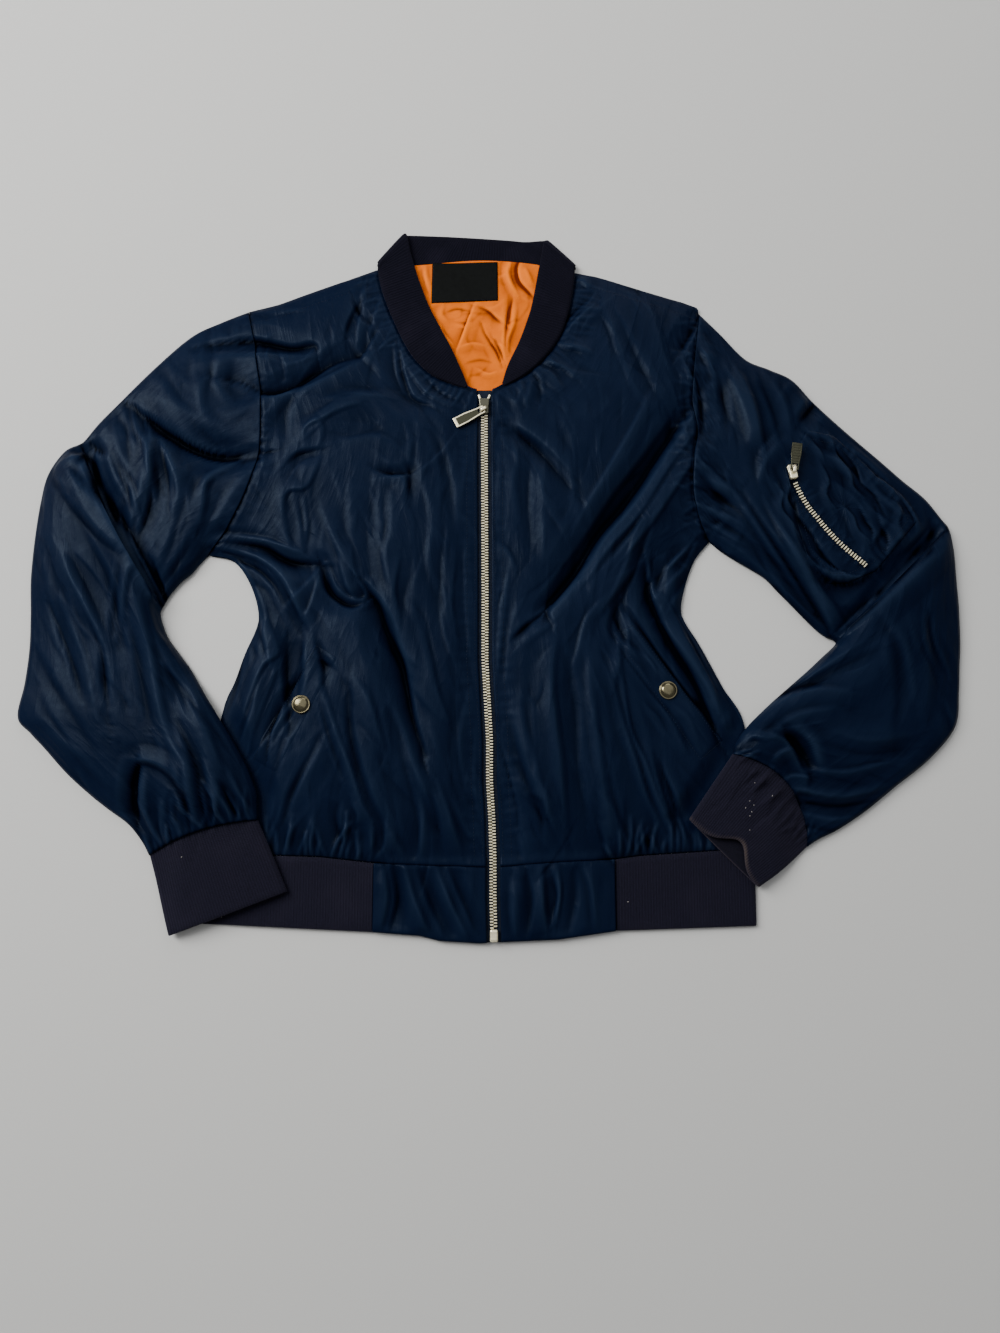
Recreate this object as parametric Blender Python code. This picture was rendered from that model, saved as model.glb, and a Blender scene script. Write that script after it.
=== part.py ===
"""Bomber jacket laid flat on its back, front up, with folded elbows and the cuffs on the ends of the hem.

Sizes are in millimetres and become metres when a mesh is made. +X runs to the wearer's left, +Y to the
collar and +Z up from the floor. "right" and "left" are the wearer's. A cloth piece is a wall between an
outside and an inside grid of points. Panels that lie on each other share one relief, body_height, so their
edges meet at the seams.
"""

from collections import namedtuple

import bmesh
import bpy
import numpy as np
from mathutils import Matrix, Vector

MM = 0.001

# Cloth and seams
SEAM = 0.6  # gap left in plan at every seam
LAY = 0.5  # gap between a panel and what lies on it
SHELL_WALL = 1.3
LINING_WALL = 1.0
BACK_WALL = 1.2
RIB_WALL = 2.4
CUFF_WALL = 2.2
COLLAR_WALL = 2.6
RIB_HEIGHT = 0.35
RIB_PITCH = 4.8
END_FOLD_GAP = 0.3  # between the two layers of the hem's folded ends

# Heights above the floor
SIDE_EDGE = 3.2  # top of the front where it meets the back at the sides
HEM_EDGE = 5.3  # top of the front along the hem seam
SLEEVE_EDGE = 6.4  # height of a sleeve's rolled edge
BODY_LOFT = 11.5
SLEEVE_LOFT = 11.0
CUFF_EDGE = 4.9
CUFF_LOFT = 2.0
OVER_HEM = 6.2  # height at which the forearms and cuffs cross the body
RAMP_START = 12.0  # from the body's edge, where an arm's underside starts to fall to the floor
RAMP_LENGTH = 30.0
RAMP_TOP = -58.0  # the arms cross the body only below this y
RAMP_FADE = 32.0
PRESS_REACH = 24.0  # width over which the body rises from under an arm
PRESS_TOP = -75.0
PRESSED_HEM_SHARE = 0.6  # share of the hem edge's extra height left under an arm

# Rounding of the fronts: how far from each edge they reach most of their loft
SIDE_ROUNDING = 30.0
SHOULDER_ROUNDING = 24.0
HEM_ROUNDING = 45.0
NECK_ROUNDING = 40.0
NECK_LOFT = 0.4  # share of the loft left at the neck
HEM_EDGE_REACH = 25.0
SLEEVE_ROUNDING = 24.0
FADE = 14.0  # width over which folds and pleats fade at a piece's edges
HEM_FOLLOW = 8  # power with which a front's rows leave the line of the hem seam

# Zip
ZIP_HALF_OPEN = 6.0  # from the middle of the chain to the edge of a front
TAPE_HALF = 12.0
TAPE_WALL = 0.8
CHAIN_HALF = 3.0
CHAIN_WALL = 2.0
PLACKET_FLAT = 7.5  # width of a front that lies flat on the tape
PLACKET_BLEND = 26.0  # width over which a front rises from it

# Steps of the grids
ARMHOLE_STEPS = 12
SIDE_STEPS = 15
NECK_STEPS = 7
FRONT_COLUMNS = 17
GATHER_ROWS = 3
UNDER_STEPS = 8
SLEEVE_BLEND_RINGS = 3
ROLL_ANGLES = (30.0, -30.0)
BLOCK_ROWS = 3
BLOCK_COLUMNS = 10
CHAIN_STEPS = 20
SLEEVE_CHAIN_STEPS = 10
SNAP_STEPS = 18
FOLD_STEPS = 8
FOLD_ANGLES = (45.0, 0.0, -45.0)  # round the folded ends of the hem
MERGE = 0.01  # points nearer than this become one
RAY_START = 200.0  # height from which a surface is looked for
TOP_SLOPE = 0.2  # least upward part of a normal on the top skin of a piece
RIB_SLOPE = 0.9  # the same where the collar's ribs stand out

Fold = namedtuple("Fold", "x0 y0 xm ym x1 y1 width height")
Station = namedtuple("Station", "outer_x outer_y inner_x inner_y bow puff lift")
FrontBand = namedtuple("FrontBand", "share free_x free_y seam_z free_z")
BackBand = namedtuple("BackBand", "seam_x seam_y free_x free_y seam_z free_z")
Colour = namedtuple("Colour", "rgb metallic roughness")

NYLON = Colour((0.012, 0.022, 0.055), 0.0, 0.45)
RIB_KNIT = Colour((0.022, 0.018, 0.035), 0.0, 0.9)
LINING = Colour((0.75, 0.22, 0.05), 0.0, 0.5)
LABEL = Colour((0.012, 0.012, 0.014), 0.0, 0.7)
TAPE = Colour((0.008, 0.012, 0.03), 0.0, 0.8)
PALE_METAL = Colour((0.72, 0.66, 0.52), 1.0, 0.3)
DARK_METAL = Colour((0.2, 0.2, 0.21), 1.0, 0.3)

# Outlines seen from above
SIDE_RIGHT = [(-241, -248), (-240, -224), (-237, -174), (-230, -125), (-220, -97), (-213, -75), (-202, -45),
              (-209, -16), (-225, 7), (-248, 13)]
SIDE_LEFT = [(219, -240), (218, -191), (215, -136), (198, -104), (179, -67), (164, -40), (168, -14), (177, 9),
             (190, 25)]
ARMHOLE_RIGHT = [(-248, 13), (-233, 31), (-215, 66), (-205, 103), (-204, 137), (-207, 172), (-214, 212), (-221, 240)]
ARMHOLE_LEFT = [(190, 25), (181, 42), (175, 68), (176, 100), (181, 124), (177, 155), (181, 198), (187, 238)]
SHOULDER_RIGHT = [(-106, 280), (-139, 269), (-175, 255), (-195, 247), (-221, 240)]
SHOULDER_LEFT = [(75, 277), (94, 275), (139, 260), (181, 246), (187, 238)]
NECK_RIGHT = [(-14, 160), (-24, 164), (-36, 168), (-56, 178), (-74, 198), (-89, 228), (-100, 257), (-105, 279)]
NECK_LEFT = [(0, 160), (11, 166), (28, 176), (45, 191), (60, 212), (68, 234), (73, 258), (75, 276)]
BACK_NECK = [(-105, 282), (-85, 285), (-57, 288), (-18, 291), (16, 290), (48, 286), (75, 279)]
HEM_SEAM = [(-241, -248), (-178, -245), (-143, -246), (-98, -251), (-51, -253), (0, -254), (57, -250), (101, -248),
            (123, -245), (185, -241), (219, -240)]
HEM_BOTTOM = [(-241, -300.5), (-223, -301), (-99, -307), (-59, -310), (-43, -314), (-10, -316), (8, -315),
              (55, -313), (104, -306), (219, -302)]
ZIP_LINE = [(2, -315.5), (1, -280), (1, -248), (0, -215), (-2, -183), (-2, -149), (-4, -115), (-6, -81), (-6, -29),
            (-7, 123), (-7, 162)]
HEM_RIGHT_END = -240.0
HEM_LEFT_END = 219.0
RIB_RIGHT_START = -98.0
RIB_LEFT_START = 102.0

# Where the sleeves lie on the body: the body is pressed flat up to these lines
PRESSED_RIGHT = [(-169, -320), (-169, -273), (-195, -216), (-197, -193), (-207, -169), (-218, -150), (-229, -133),
                 (-262, -85)]
PRESSED_LEFT = [(225, -320), (221, -270), (195, -241), (165, -214), (202, -160), (212, -140), (245, -111)]

# Height of the zip tape's top: at the hem, on the body and at the neck, and where it changes
TAPE_AT_HEM = 4.2
TAPE_ON_BODY = 10.4
TAPE_AT_NECK = 7.8
TAPE_RISE_FROM = -262.0
TAPE_RISE_LENGTH = 170.0
TAPE_FALL_FROM = 55.0
TAPE_FALL_LENGTH = 110.0

SLEEVE_RIGHT = [
    Station(-222, 240.5, -249, 12.5, 31, 1.0, 0),
    Station(-247, 229, -256, 4, 24, 1.0, 0),
    Station(-272, 215, -262, -4, 16, 1.0, 0),
    Station(-304, 184, -271, -12, 8, 1.0, 0),
    Station(-334, 151, -279, -22, 2, 0.95, 0),
    Station(-350, 133, -282, -27, -1, 0.8, 0),
    Station(-361, 118, -284, -31, -3, 0.55, 0),
    Station(-366, 114, -286, -35, -3, 0.75, 6.5),
    Station(-379, 107, -287, -40, -3, 1.0, 6.0),
    Station(-392, 86, -284, -50, -3, 1.1, 4.5),
    Station(-397, 60, -279, -61, -2, 1.15, 3.0),
    Station(-400, 26, -270, -73, 0, 1.15, 1.5),
    Station(-401, -9, -260, -86, 0, 1.15, 0.5),
    Station(-399, -40, -252, -98, 0, 1.1, 0),
    Station(-398, -70, -244, -110, 0, 1.1, 0),
    Station(-400, -100, -236, -122, 0, 1.1, 0),
    Station(-404, -129, -229, -133, 0, 1.1, 0),
    Station(-392, -143, -223, -142, 0, 1.1, 0),
    Station(-379, -156, -217, -152, 0, 1.1, 0),
    Station(-359, -177, -207, -169, 0, 1.05, 0),
    Station(-338, -195, -201, -182, 0, 1.0, 0),
    Station(-322, -207, -197, -193, 1, 0.85, 0),
    Station(-305, -219, -196, -202, 3, 0.65, 0),
    Station(-293, -233, -195.5, -209, 5, 0.45, 0),
    Station(-286, -245, -195, -215.5, 6, 0.3, 0),
]
SLEEVE_LEFT = [
    Station(187.8, 238, 190.8, 24.5, -10, 1.0, 0),
    Station(205, 219, 199, 17, -7, 1.0, 0),
    Station(227, 194, 212, 8, -4, 1.0, 0),
    Station(248, 184, 225, 0, 0, 1.0, 0),
    Station(268, 174, 237, -8, 0, 1.0, 0),
    Station(286, 153, 248, -20, 0, 1.0, 0),
    Station(312, 127, 261, -34, 0, 1.0, 0),
    Station(341, 100, 272, -46, 0, 1.0, 0),
    Station(362, 80, 281, -55, 0, 0.95, 0),
    Station(380, 64, 288, -60, 0, 0.8, 0),
    Station(394, 45, 293, -62, 0, 0.55, 0),
    Station(400, 36, 296, -65, 0, 0.75, 6.5),
    Station(403, 16, 293, -69, 0, 1.0, 6.0),
    Station(403.5, -9, 284, -77, 0, 1.1, 4.5),
    Station(404, -35, 272, -88, 0, 1.15, 3.0),
    Station(403, -66, 258, -100, 0, 1.15, 1.5),
    Station(401, -86, 245, -111, 0, 1.15, 0.5),
    Station(399, -108, 232, -122, 0, 1.1, 0),
    Station(394, -137, 220, -133, 0, 1.1, 0),
    Station(371, -164, 212, -142, 0, 1.1, 0),
    Station(340, -188, 207, -149, -2, 1.0, 0),
    Station(313, -209, 204, -154, -8, 0.85, 0),
    Station(290, -224, 203, -157, -14, 0.6, 0),
    Station(274, -232, 202.5, -159, -18, 0.4, 0),
    Station(263, -239, 202, -160.5, -20, 0.3, 0),
]
CUFF_RIGHT = [
    Station(-285.5, -245.6, -194.8, -216.1, 6, 1.0, 0),
    Station(-279, -266, -186, -235, 4, 1.0, 0),
    Station(-272.5, -288, -177.5, -254, 2, 1.0, 0),
    Station(-266, -309, -169, -273, 0, 0.9, 0),
]
CUFF_LEFT = [
    Station(262.4, -239.4, 201.6, -161.1, -20, 1.0, 0),
    Station(251, -249, 190, -178, -13, 1.4, 0),
    Station(236, -260, 177.5, -196, -6, 1.8, 0),
    Station(221, -270, 165, -214, 0, 1.9, 0),
]
MOUTH_DENT = 16.0  # how far the left cuff's upper lip lies back at the middle of its mouth
MOUTH_DENT_AT = 0.46
MOUTH_DENT_WIDTH = 0.26
MOUTH_DENT_FADE = 0.12

# Front parts of the collar, from the zip to the shoulder: share of the neck seam, free edge and heights
COLLAR_RIGHT = [
    FrontBand(0.068, -21.8, 166.5, 8.8, 8.4),
    FrontBand(0.147, -26.5, 179, 8.8, 7.6),
    FrontBand(0.286, -36, 201, 8.8, 7.2),
    FrontBand(0.455, -45, 219, 8.6, 6.8),
    FrontBand(0.665, -57, 243, 8.2, 6.4),
    FrontBand(0.859, -67, 270, 7.6, 6.2),
    FrontBand(0.985, -74, 294, 7.0, 6.2),
]
COLLAR_LEFT = [
    FrontBand(0.085, 8.6, 169, 8.8, 8.4),
    FrontBand(0.24, 14, 187, 8.8, 7.6),
    FrontBand(0.40, 23.5, 208, 8.8, 7.2),
    FrontBand(0.565, 30, 226, 8.6, 6.8),
    FrontBand(0.715, 35.5, 245, 8.2, 6.4),
    FrontBand(0.87, 42, 280, 7.6, 6.2),
    FrontBand(0.985, 46, 303, 6.8, 6.4),
]
# Back part with the folds at both shoulders: seam, free edge and heights
COLLAR_BACK = [
    BackBand(-103.5, 283, -78.0, 312.5, 6.8, 6.4),
    BackBand(-104.5, 286, -80.3, 315, 4.1, 3.9),
    BackBand(-102, 288, -77.5, 315.4, 1.45, 1.45),
    BackBand(-85, 286, -64, 315, 1.3, 1.3),
    BackBand(-57, 289, -40, 314, 1.3, 1.3),
    BackBand(-18, 292, -14, 312.5, 1.3, 1.3),
    BackBand(16, 291, 14, 310.5, 1.3, 1.3),
    BackBand(48, 287, 30, 309, 1.3, 1.3),
    BackBand(72, 285, 44.5, 310, 1.45, 1.45),
    BackBand(75.5, 283, 49, 309, 4.1, 3.9),
    BackBand(74.5, 281, 47, 306, 6.8, 6.4),
]

# The largest folds: start, middle and end in plan, half width, and height (negative for a trough)
FOLD_END = 0.08  # share of the taper that is cut off at each end
FOLD_TAPER = 0.7  # power of the taper: smaller keeps a fold full for longer
FOLDS = [
    Fold(-216, 210, -185, 205, -159, 201, 9, -4.5),
    Fold(-255, 174, -204, 159, -119, 197, 9, -3.5),
    Fold(-265, 134, -240, 108, -205, 104, 10, -5.5),
    Fold(-234, 29, -181, 8, -146, 2, 9, -5.0),
    Fold(-146, 2, -137, -28, -111, -31, 10, -5.5),
    Fold(-240, 19, -198, 6, -164, -40, 9, 4.0),
    Fold(-113, -14, -80, -77, -57, -159, 10, -6.0),
    Fold(-128, -50, -98, -110, -80, -180, 14, 4.5),
    Fold(-144, -107, -117, -170, -100, -217, 11, 3.5),
    Fold(-84, 186, -75, 158, -50, 151, 10, -2.4),
    Fold(-169, 114, -134, 142, -106, 156, 12, 3.0),
    Fold(-115, -98, -105, -153, -83, -224, 10, 3.5),
    Fold(-75, -174, -61, -211, -56, -246, 10, 3.5),
    Fold(-52, -140, -36, -190, -30, -244, 10, 3.0),
    Fold(-166, -38, -176, -86, -181, -145, 10, -4.0),
    Fold(-196, -51, -200, -98, -211, -145, 10, 3.5),
    Fold(176, 151, 113, 61, 46, -36, 13, -7.0),
    Fold(196, 120, 134, 41, 78, -33, 15, 4.5),
    Fold(150, 148, 92, 60, 40, -5, 16, 3.0),
    Fold(14, 129, 42, 107, 75, 67, 10, -3.5),
    Fold(82, 132, 75, 87, 85, 37, 11, 3.0),
    Fold(138, 13, 147, -51, 195, -148, 10, -5.0),
    Fold(149, 6, 168, -64, 204, -137, 9, 4.0),
    Fold(124, 9, 111, -29, 105, -73, 10, -4.5),
    Fold(63, -29, 52, -98, 66, -240, 11, 4.0),
    Fold(83, -73, 87, -141, 99, -250, 11, 4.0),
    Fold(110, -81, 124, -162, 149, -228, 11, 4.0),
    Fold(22, -120, 32, -170, 44, -240, 11, 3.5),
    Fold(-318, 149, -268, 112, -205, 104, 11, -6.0),
    Fold(-299, 59, -295, 118, -275, 55, 9, 3.5),
    Fold(-210, 87, -241, 59, -276, -21, 14, 3.5),
    Fold(-363, 68, -321, 24, -282, -81, 14, 4.0),
    Fold(-378, 32, -335, -64, -322, -141, 14, 4.5),
    Fold(-388, -21, -365, -73, -326, -120, 13, -3.5),
    Fold(-308, 19, -291, -73, -254, -166, 13, 4.0),
    Fold(-297, -165, -300, -199, -289, -232, 10, -6.5),
    Fold(-277, -90, -240, -149, -224, -199, 12, 3.0),
    Fold(185, 165, 188, 128, 182, 105, 9, -4.5),
    Fold(188, 87, 219, 41, 265, -7, 11, 4.0),
    Fold(215, 103, 242, 41, 293, -51, 11, 4.0),
    Fold(202, 60, 232, 8, 275, -40, 9, -3.5),
    Fold(221, 179, 231, 132, 243, 96, 12, 3.5),
    Fold(388, 41, 362, 13, 333, -8, 11, -5.0),
    Fold(371, -29, 311, -98, 242, -137, 16, 3.5),
    Fold(382, -115, 324, -174, 269, -191, 12, -3.5),
    Fold(238, -143, 258, -156, 262, -180, 10, -5.5),
]

# Gathers of the fronts into the hem ribs: pitch, height and how far up they reach
GATHER_PITCH = 12.5
GATHER_HEIGHT = 2.6
GATHER_REACH = 24.0
GATHER_BLEND = 8.0
CUFF_GATHER_HEIGHT = 1.5
CUFF_GATHER_RINGS = 3

# Sewn-on pieces: corners in plan
POCKET_FLAP_RIGHT = [(-150, -66), (-128, -78), (-180, -180), (-204, -166)]
POCKET_FLAP_LEFT = [(100, -55), (120, -49), (197, -151), (175, -169)]
SLEEVE_POCKET = [(254, 88), (276, 122), (300, 118), (350, 70), (368, 40), (330, -4), (305, -15), (288, -15), (270, 8)]
FLAP_WALL = 1.1
BLOCK_WALL = 2.0
BLOCK_WAVE = 1.0
BLOCK_WAVE_PITCH = (8.0, 40.0)  # along x and y
BLOCK_WAVE_FADE = 20.0
SNAP_RIGHT = (-161, -119)
SNAP_LEFT = (149, -107)
SNAP_RADIUS = 7.75
SNAP_PROFILE = [(0.0, 0.0), (7.75, 0.0), (7.75, 1.0), (6.7, 1.9), (4.3, 2.7), (0.0, 3.0)]
LINING_OUTLINE = [(-92, 128), (-96, 175), (-99, 225), (-101, 276), (-96, 280.5), (-85, 283), (-57, 286), (-18, 289.5),
                  (16, 288.5), (48, 284), (68, 278.5), (71, 273), (71, 225), (71, 175), (70, 128)]
LABEL_OUTLINE = [(-55.5, 248), (5, 250.5), (4.5, 288), (-55, 286.5)]
LABEL_WALL = 0.7

# Zip hardware
CHAIN_START = -304.0
TAPE_INSET = 1.0
SLIDER_SIZE = (9.0, 14.0, 4.4)
SLIDER_MIDDLE = (-7.2, 146.0)
CHAIN_GAP = 0.6
STOP_HALF = 1.2
STOP_ENDS = ((4.2, 0.0), (4.4, 4.4))  # from the slider's middle line and from its top end
PULL_PIVOT = (-7.8, 142.5)
PULL_TIP = (-33.0, 129.5)
PULL_WIDTH = 9.3
PULL_NECK = 7.0
PULL_RAIL = 1.3
PULL_WALL = 1.3
PULL_SLOT = 4.4
PULL_WIDE_FROM = 0.6  # share of its length
PULL_CUT = 1.0  # corners cut off its tip
PULL_DROP = 1.0  # how much lower the tip may lie than the pivot
ROOT_HALF = 0.65  # half of the bar that turns under the crown
PIVOT_RISE = 1.25  # from the top of a slider to the middle of that bar
CROWN_REACH = 2.2
CROWN_WIRE = 1.1
CROWN_WIDTH = 3.0
CROWN_RISE = 3.75
CROWN_ROOT = 0.8
CROWN_CHAMFER = 0.9
ZIP_BOX = (7.0, 10.0, 4.2)
BOX_BEVEL = 0.8
SLEEVE_ZIP = [(262.3, 74), (270, 57), (280, 42), (298, 20), (321, -0.5)]
SLEEVE_CHAIN_HALF = 2.7
SLEEVE_CHAIN_WALL = 1.6
SLEEVE_SLIDER_SIZE = (7.5, 12.0, 4.0)
SLEEVE_SLIDER_MIDDLE = (260.3, 82.5)
SLEEVE_SLIDER_TURN = 0.15
SLEEVE_PULL_PIVOT = (260.8, 83.5)
SLEEVE_PULL_TIP = (264.5, 107.5)
SLEEVE_PULL_WIDTH = 9.0


def table(rows):
    """A table of numbers as an array."""
    return np.array(rows, float)


def smooth(value):
    """0 below 0, 1 above 1 and an S between."""
    value = np.clip(value, 0.0, 1.0)
    return value * value * (3.0 - 2.0 * value)


def rounded(distance, reach):
    """0 at an edge, nearing 1 past the reach."""
    return 1.0 - np.exp(-distance / reach)


def arc_lengths(points):
    """Distance along a polyline to each of its points."""
    return np.concatenate([[0.0], np.cumsum(np.linalg.norm(np.diff(points, axis=0), axis=1))])


def along_line(points, shares):
    """Points at shares of the length of a polyline."""
    points = table(points)
    lengths = arc_lengths(points)
    return np.column_stack([np.interp(table(shares) * lengths[-1], lengths, column) for column in points.T])


def resample(points, steps):
    """steps + 1 points at even spacing along a polyline."""
    return along_line(points, np.linspace(0.0, 1.0, steps + 1))


def left_normals(points):
    """Unit normals to the left of a polyline at its points."""
    ways = np.gradient(points, axis=0)
    normals = np.column_stack([-ways[:, 1], ways[:, 0]])
    return normals / np.linalg.norm(normals, axis=1)[:, None]


def distance_to(points, x, y):
    """Distance in plan from each place to a polyline."""
    points = table(points)
    best = np.full(np.shape(x), np.inf)
    for (ax, ay), (bx, by) in zip(points[:-1], points[1:]):
        dx, dy = bx - ax, by - ay
        along = np.clip(((x - ax) * dx + (y - ay) * dy) / (dx * dx + dy * dy), 0.0, 1.0)
        best = np.minimum(best, np.hypot(x - ax - along * dx, y - ay - along * dy))
    return best


def fold_height(x, y):
    """Sum of the folds: each is a soft ridge or trough that fades at both ends of its curve."""
    total = np.zeros(np.shape(x))
    steps = np.linspace(0.0, 1.0, FOLD_STEPS + 1)
    for fold in FOLDS:
        control_x = 2.0 * fold.xm - 0.5 * (fold.x0 + fold.x1)
        control_y = 2.0 * fold.ym - 0.5 * (fold.y0 + fold.y1)
        curve_x = (1 - steps) ** 2 * fold.x0 + 2 * steps * (1 - steps) * control_x + steps**2 * fold.x1
        curve_y = (1 - steps) ** 2 * fold.y0 + 2 * steps * (1 - steps) * control_y + steps**2 * fold.y1
        best = np.full(np.shape(x), np.inf)
        share = np.zeros(np.shape(x))
        for index in range(FOLD_STEPS):
            dx = curve_x[index + 1] - curve_x[index]
            dy = curve_y[index + 1] - curve_y[index]
            along = ((x - curve_x[index]) * dx + (y - curve_y[index]) * dy) / (dx * dx + dy * dy)
            along = np.clip(along, 0.0, 1.0)
            away = np.hypot(x - curve_x[index] - along * dx, y - curve_y[index] - along * dy)
            share = np.where(away < best, (index + along) / FOLD_STEPS, share)
            best = np.minimum(best, away)
        taper = np.sin(np.pi * (FOLD_END + (1.0 - 2.0 * FOLD_END) * share)) ** FOLD_TAPER
        total += fold.height * taper * np.exp(-((best / fold.width) ** 2))
    return total


def beyond(line, x, y, side):
    """Distance along x from a line given by its y, positive to its right when side is 1."""
    line = table(sorted(line, key=lambda point: point[1]))
    return side * (x - np.interp(y, line[:, 1], line[:, 0]))


def zip_x(y):
    """Middle of the zip at each y."""
    line = table(ZIP_LINE)
    return np.interp(y, line[:, 1], line[:, 0])


def tape_height(y):
    """Top of the zip tape at each y."""
    rise = (TAPE_ON_BODY - TAPE_AT_HEM) * smooth((y - TAPE_RISE_FROM) / TAPE_RISE_LENGTH)
    fall = (TAPE_ON_BODY - TAPE_AT_NECK) * smooth((y - TAPE_FALL_FROM) / TAPE_FALL_LENGTH)
    return TAPE_AT_HEM + rise - fall


def hem_seam_y(x):
    """Seam between the fronts and the hem at each x."""
    line = table(HEM_SEAM)
    return np.interp(x, line[:, 0], line[:, 1])


def hem_bottom_y(x):
    """Lower edge of the hem at each x."""
    line = table(HEM_BOTTOM)
    return np.interp(x, line[:, 0], line[:, 1])


def pressed(x, y):
    """0 where a forearm or cuff lies on the body, 1 clear of it."""
    right = smooth(beyond(PRESSED_RIGHT, x, y, 1.0) / PRESS_REACH)
    left = smooth(beyond(PRESSED_LEFT, x, y, -1.0) / PRESS_REACH)
    above = smooth((y - PRESS_TOP) / PRESS_REACH)
    return np.maximum(right * left, above)


def gathers(x, y):
    """Small pleats of the fronts above the hem ribs."""
    over_rib = np.maximum(smooth((RIB_RIGHT_START - x) / GATHER_BLEND), smooth((x - RIB_LEFT_START) / GATHER_BLEND))
    fade = np.exp(-np.maximum(y - hem_seam_y(x), 0.0) / GATHER_REACH)
    return over_rib * fade * GATHER_HEIGHT * (0.5 - 0.5 * np.cos(2.0 * np.pi * x / GATHER_PITCH))


def outer_edge(stations):
    """Outer edge of an arm in plan."""
    return [(station.outer_x, station.outer_y) for station in stations]


def inner_edge(stations):
    """Inner edge of an arm in plan."""
    return [(station.inner_x, station.inner_y) for station in stations]


def body_height(x, y):
    """Top of the fronts above the floor. It goes on past the armholes, so that the sleeves meet it."""
    under = [SIDE_RIGHT, SIDE_LEFT, inner_edge(SLEEVE_RIGHT[:5]), inner_edge(SLEEVE_LEFT[:8])]
    over = [SHOULDER_RIGHT, SHOULDER_LEFT, outer_edge(SLEEVE_RIGHT[:5]), outer_edge(SLEEVE_LEFT[:7])]
    side = np.min([distance_to(line, x, y) for line in under], axis=0)
    shoulder = np.min([distance_to(line, x, y) for line in over], axis=0)
    neck = np.minimum(distance_to(NECK_RIGHT, x, y), distance_to(NECK_LEFT, x, y))
    hem = np.maximum(y - hem_seam_y(x), 0.0)
    loft = rounded(side, SIDE_ROUNDING) * rounded(shoulder, SHOULDER_ROUNDING) * rounded(hem, HEM_ROUNDING)
    loft = loft * (NECK_LOFT + (1.0 - NECK_LOFT) * rounded(neck, NECK_ROUNDING))
    fade = smooth(np.minimum(side, shoulder) / FADE) * smooth(hem / FADE)
    for centre in (SNAP_RIGHT, SNAP_LEFT):
        fade = fade * smooth((np.hypot(x - centre[0], y - centre[1]) - SNAP_RADIUS / 2.0) / FADE)
    near_hem = SIDE_EDGE + (HEM_EDGE - SIDE_EDGE) * np.exp(-hem / HEM_EDGE_REACH)
    free = np.maximum(near_hem + BODY_LOFT * loft + fold_height(x, y) * fade + gathers(x, y), SIDE_EDGE)
    flat = SIDE_EDGE + (near_hem - SIDE_EDGE) * PRESSED_HEM_SHARE
    free = flat + (free - flat) * pressed(x, y)
    placket = tape_height(y) + LAY + SHELL_WALL
    blend = smooth((np.abs(x - zip_x(y)) - ZIP_HALF_OPEN - PLACKET_FLAT) / PLACKET_BLEND)
    return placket + (free - placket) * blend


def arm_floor(x, y):
    """Underside of the forearms and cuffs: the floor, rising to OVER_HEM where the body lies under them."""
    right = [(HEM_RIGHT_END, HEM_BOTTOM[0][1])] + SIDE_RIGHT[:7]
    left = [(HEM_LEFT_END, HEM_BOTTOM[-1][1])] + SIDE_LEFT[:6]
    out_right = np.where(beyond(right, x, y, 1.0) > 0, 0.0, distance_to(right, x, y))
    out_left = np.where(beyond(left, x, y, -1.0) > 0, 0.0, distance_to(left, x, y))
    near = smooth(1.0 - (np.maximum(out_right, out_left) - RAMP_START) / RAMP_LENGTH)
    return OVER_HEM * near * smooth((RAMP_TOP - y) / RAMP_FADE)


def material(name, colour):
    """Principled material of a piece."""
    made = bpy.data.materials.new(name)
    made.use_nodes = True
    shader = made.node_tree.nodes["Principled BSDF"]
    shader.inputs["Base Color"].default_value = (*colour.rgb, 1.0)
    shader.inputs["Metallic"].default_value = colour.metallic
    shader.inputs["Roughness"].default_value = colour.roughness
    return made


def new_object(name, bm, colour, soft=True):
    """Object from a bmesh in millimetres, with its faces pointing out."""
    bmesh.ops.triangulate(bm, faces=bm.faces[:], quad_method="SHORT_EDGE", ngon_method="BEAUTY")
    bmesh.ops.recalc_face_normals(bm, faces=bm.faces[:])
    bmesh.ops.transform(bm, matrix=Matrix.Scale(MM, 4), verts=bm.verts[:])
    for face in bm.faces:
        face.smooth = soft
    mesh = bpy.data.meshes.new(name)
    bm.to_mesh(mesh)
    bm.free()
    mesh.materials.append(material(name, colour))
    obj = bpy.data.objects.new(name, mesh)
    bpy.context.scene.collection.objects.link(obj)
    return obj


def add_grid(bm, points, ring):
    """Rows of vertices joined by quads; a ring joins its last column to its first."""
    rows = [[bm.verts.new(point) for point in row] for row in points]
    columns = len(rows[0])
    for below, above in zip(rows[:-1], rows[1:]):
        for index in range(columns if ring else columns - 1):
            after = (index + 1) % columns
            bm.faces.new((below[index], below[after], above[after], above[index]))
    return rows


def cloth_wall(name, outside, inside, colour, ring=False, soft=True):
    """Closed wall between an outside and an inside grid of the same size, joined round their rims."""
    bm = bmesh.new()
    outer = add_grid(bm, outside, ring)
    inner = add_grid(bm, inside, ring)
    rims = [(outer[0], inner[0]), (outer[-1], inner[-1])]
    if not ring:
        rims.append(([row[0] for row in outer], [row[0] for row in inner]))
        rims.append(([row[-1] for row in outer], [row[-1] for row in inner]))
    for one, other in rims:
        for index in range(len(one) if ring else len(one) - 1):
            after = (index + 1) % len(one)
            bm.faces.new((one[index], one[after], other[after], other[index]))
    return new_object(name, bm, colour, soft)


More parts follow.
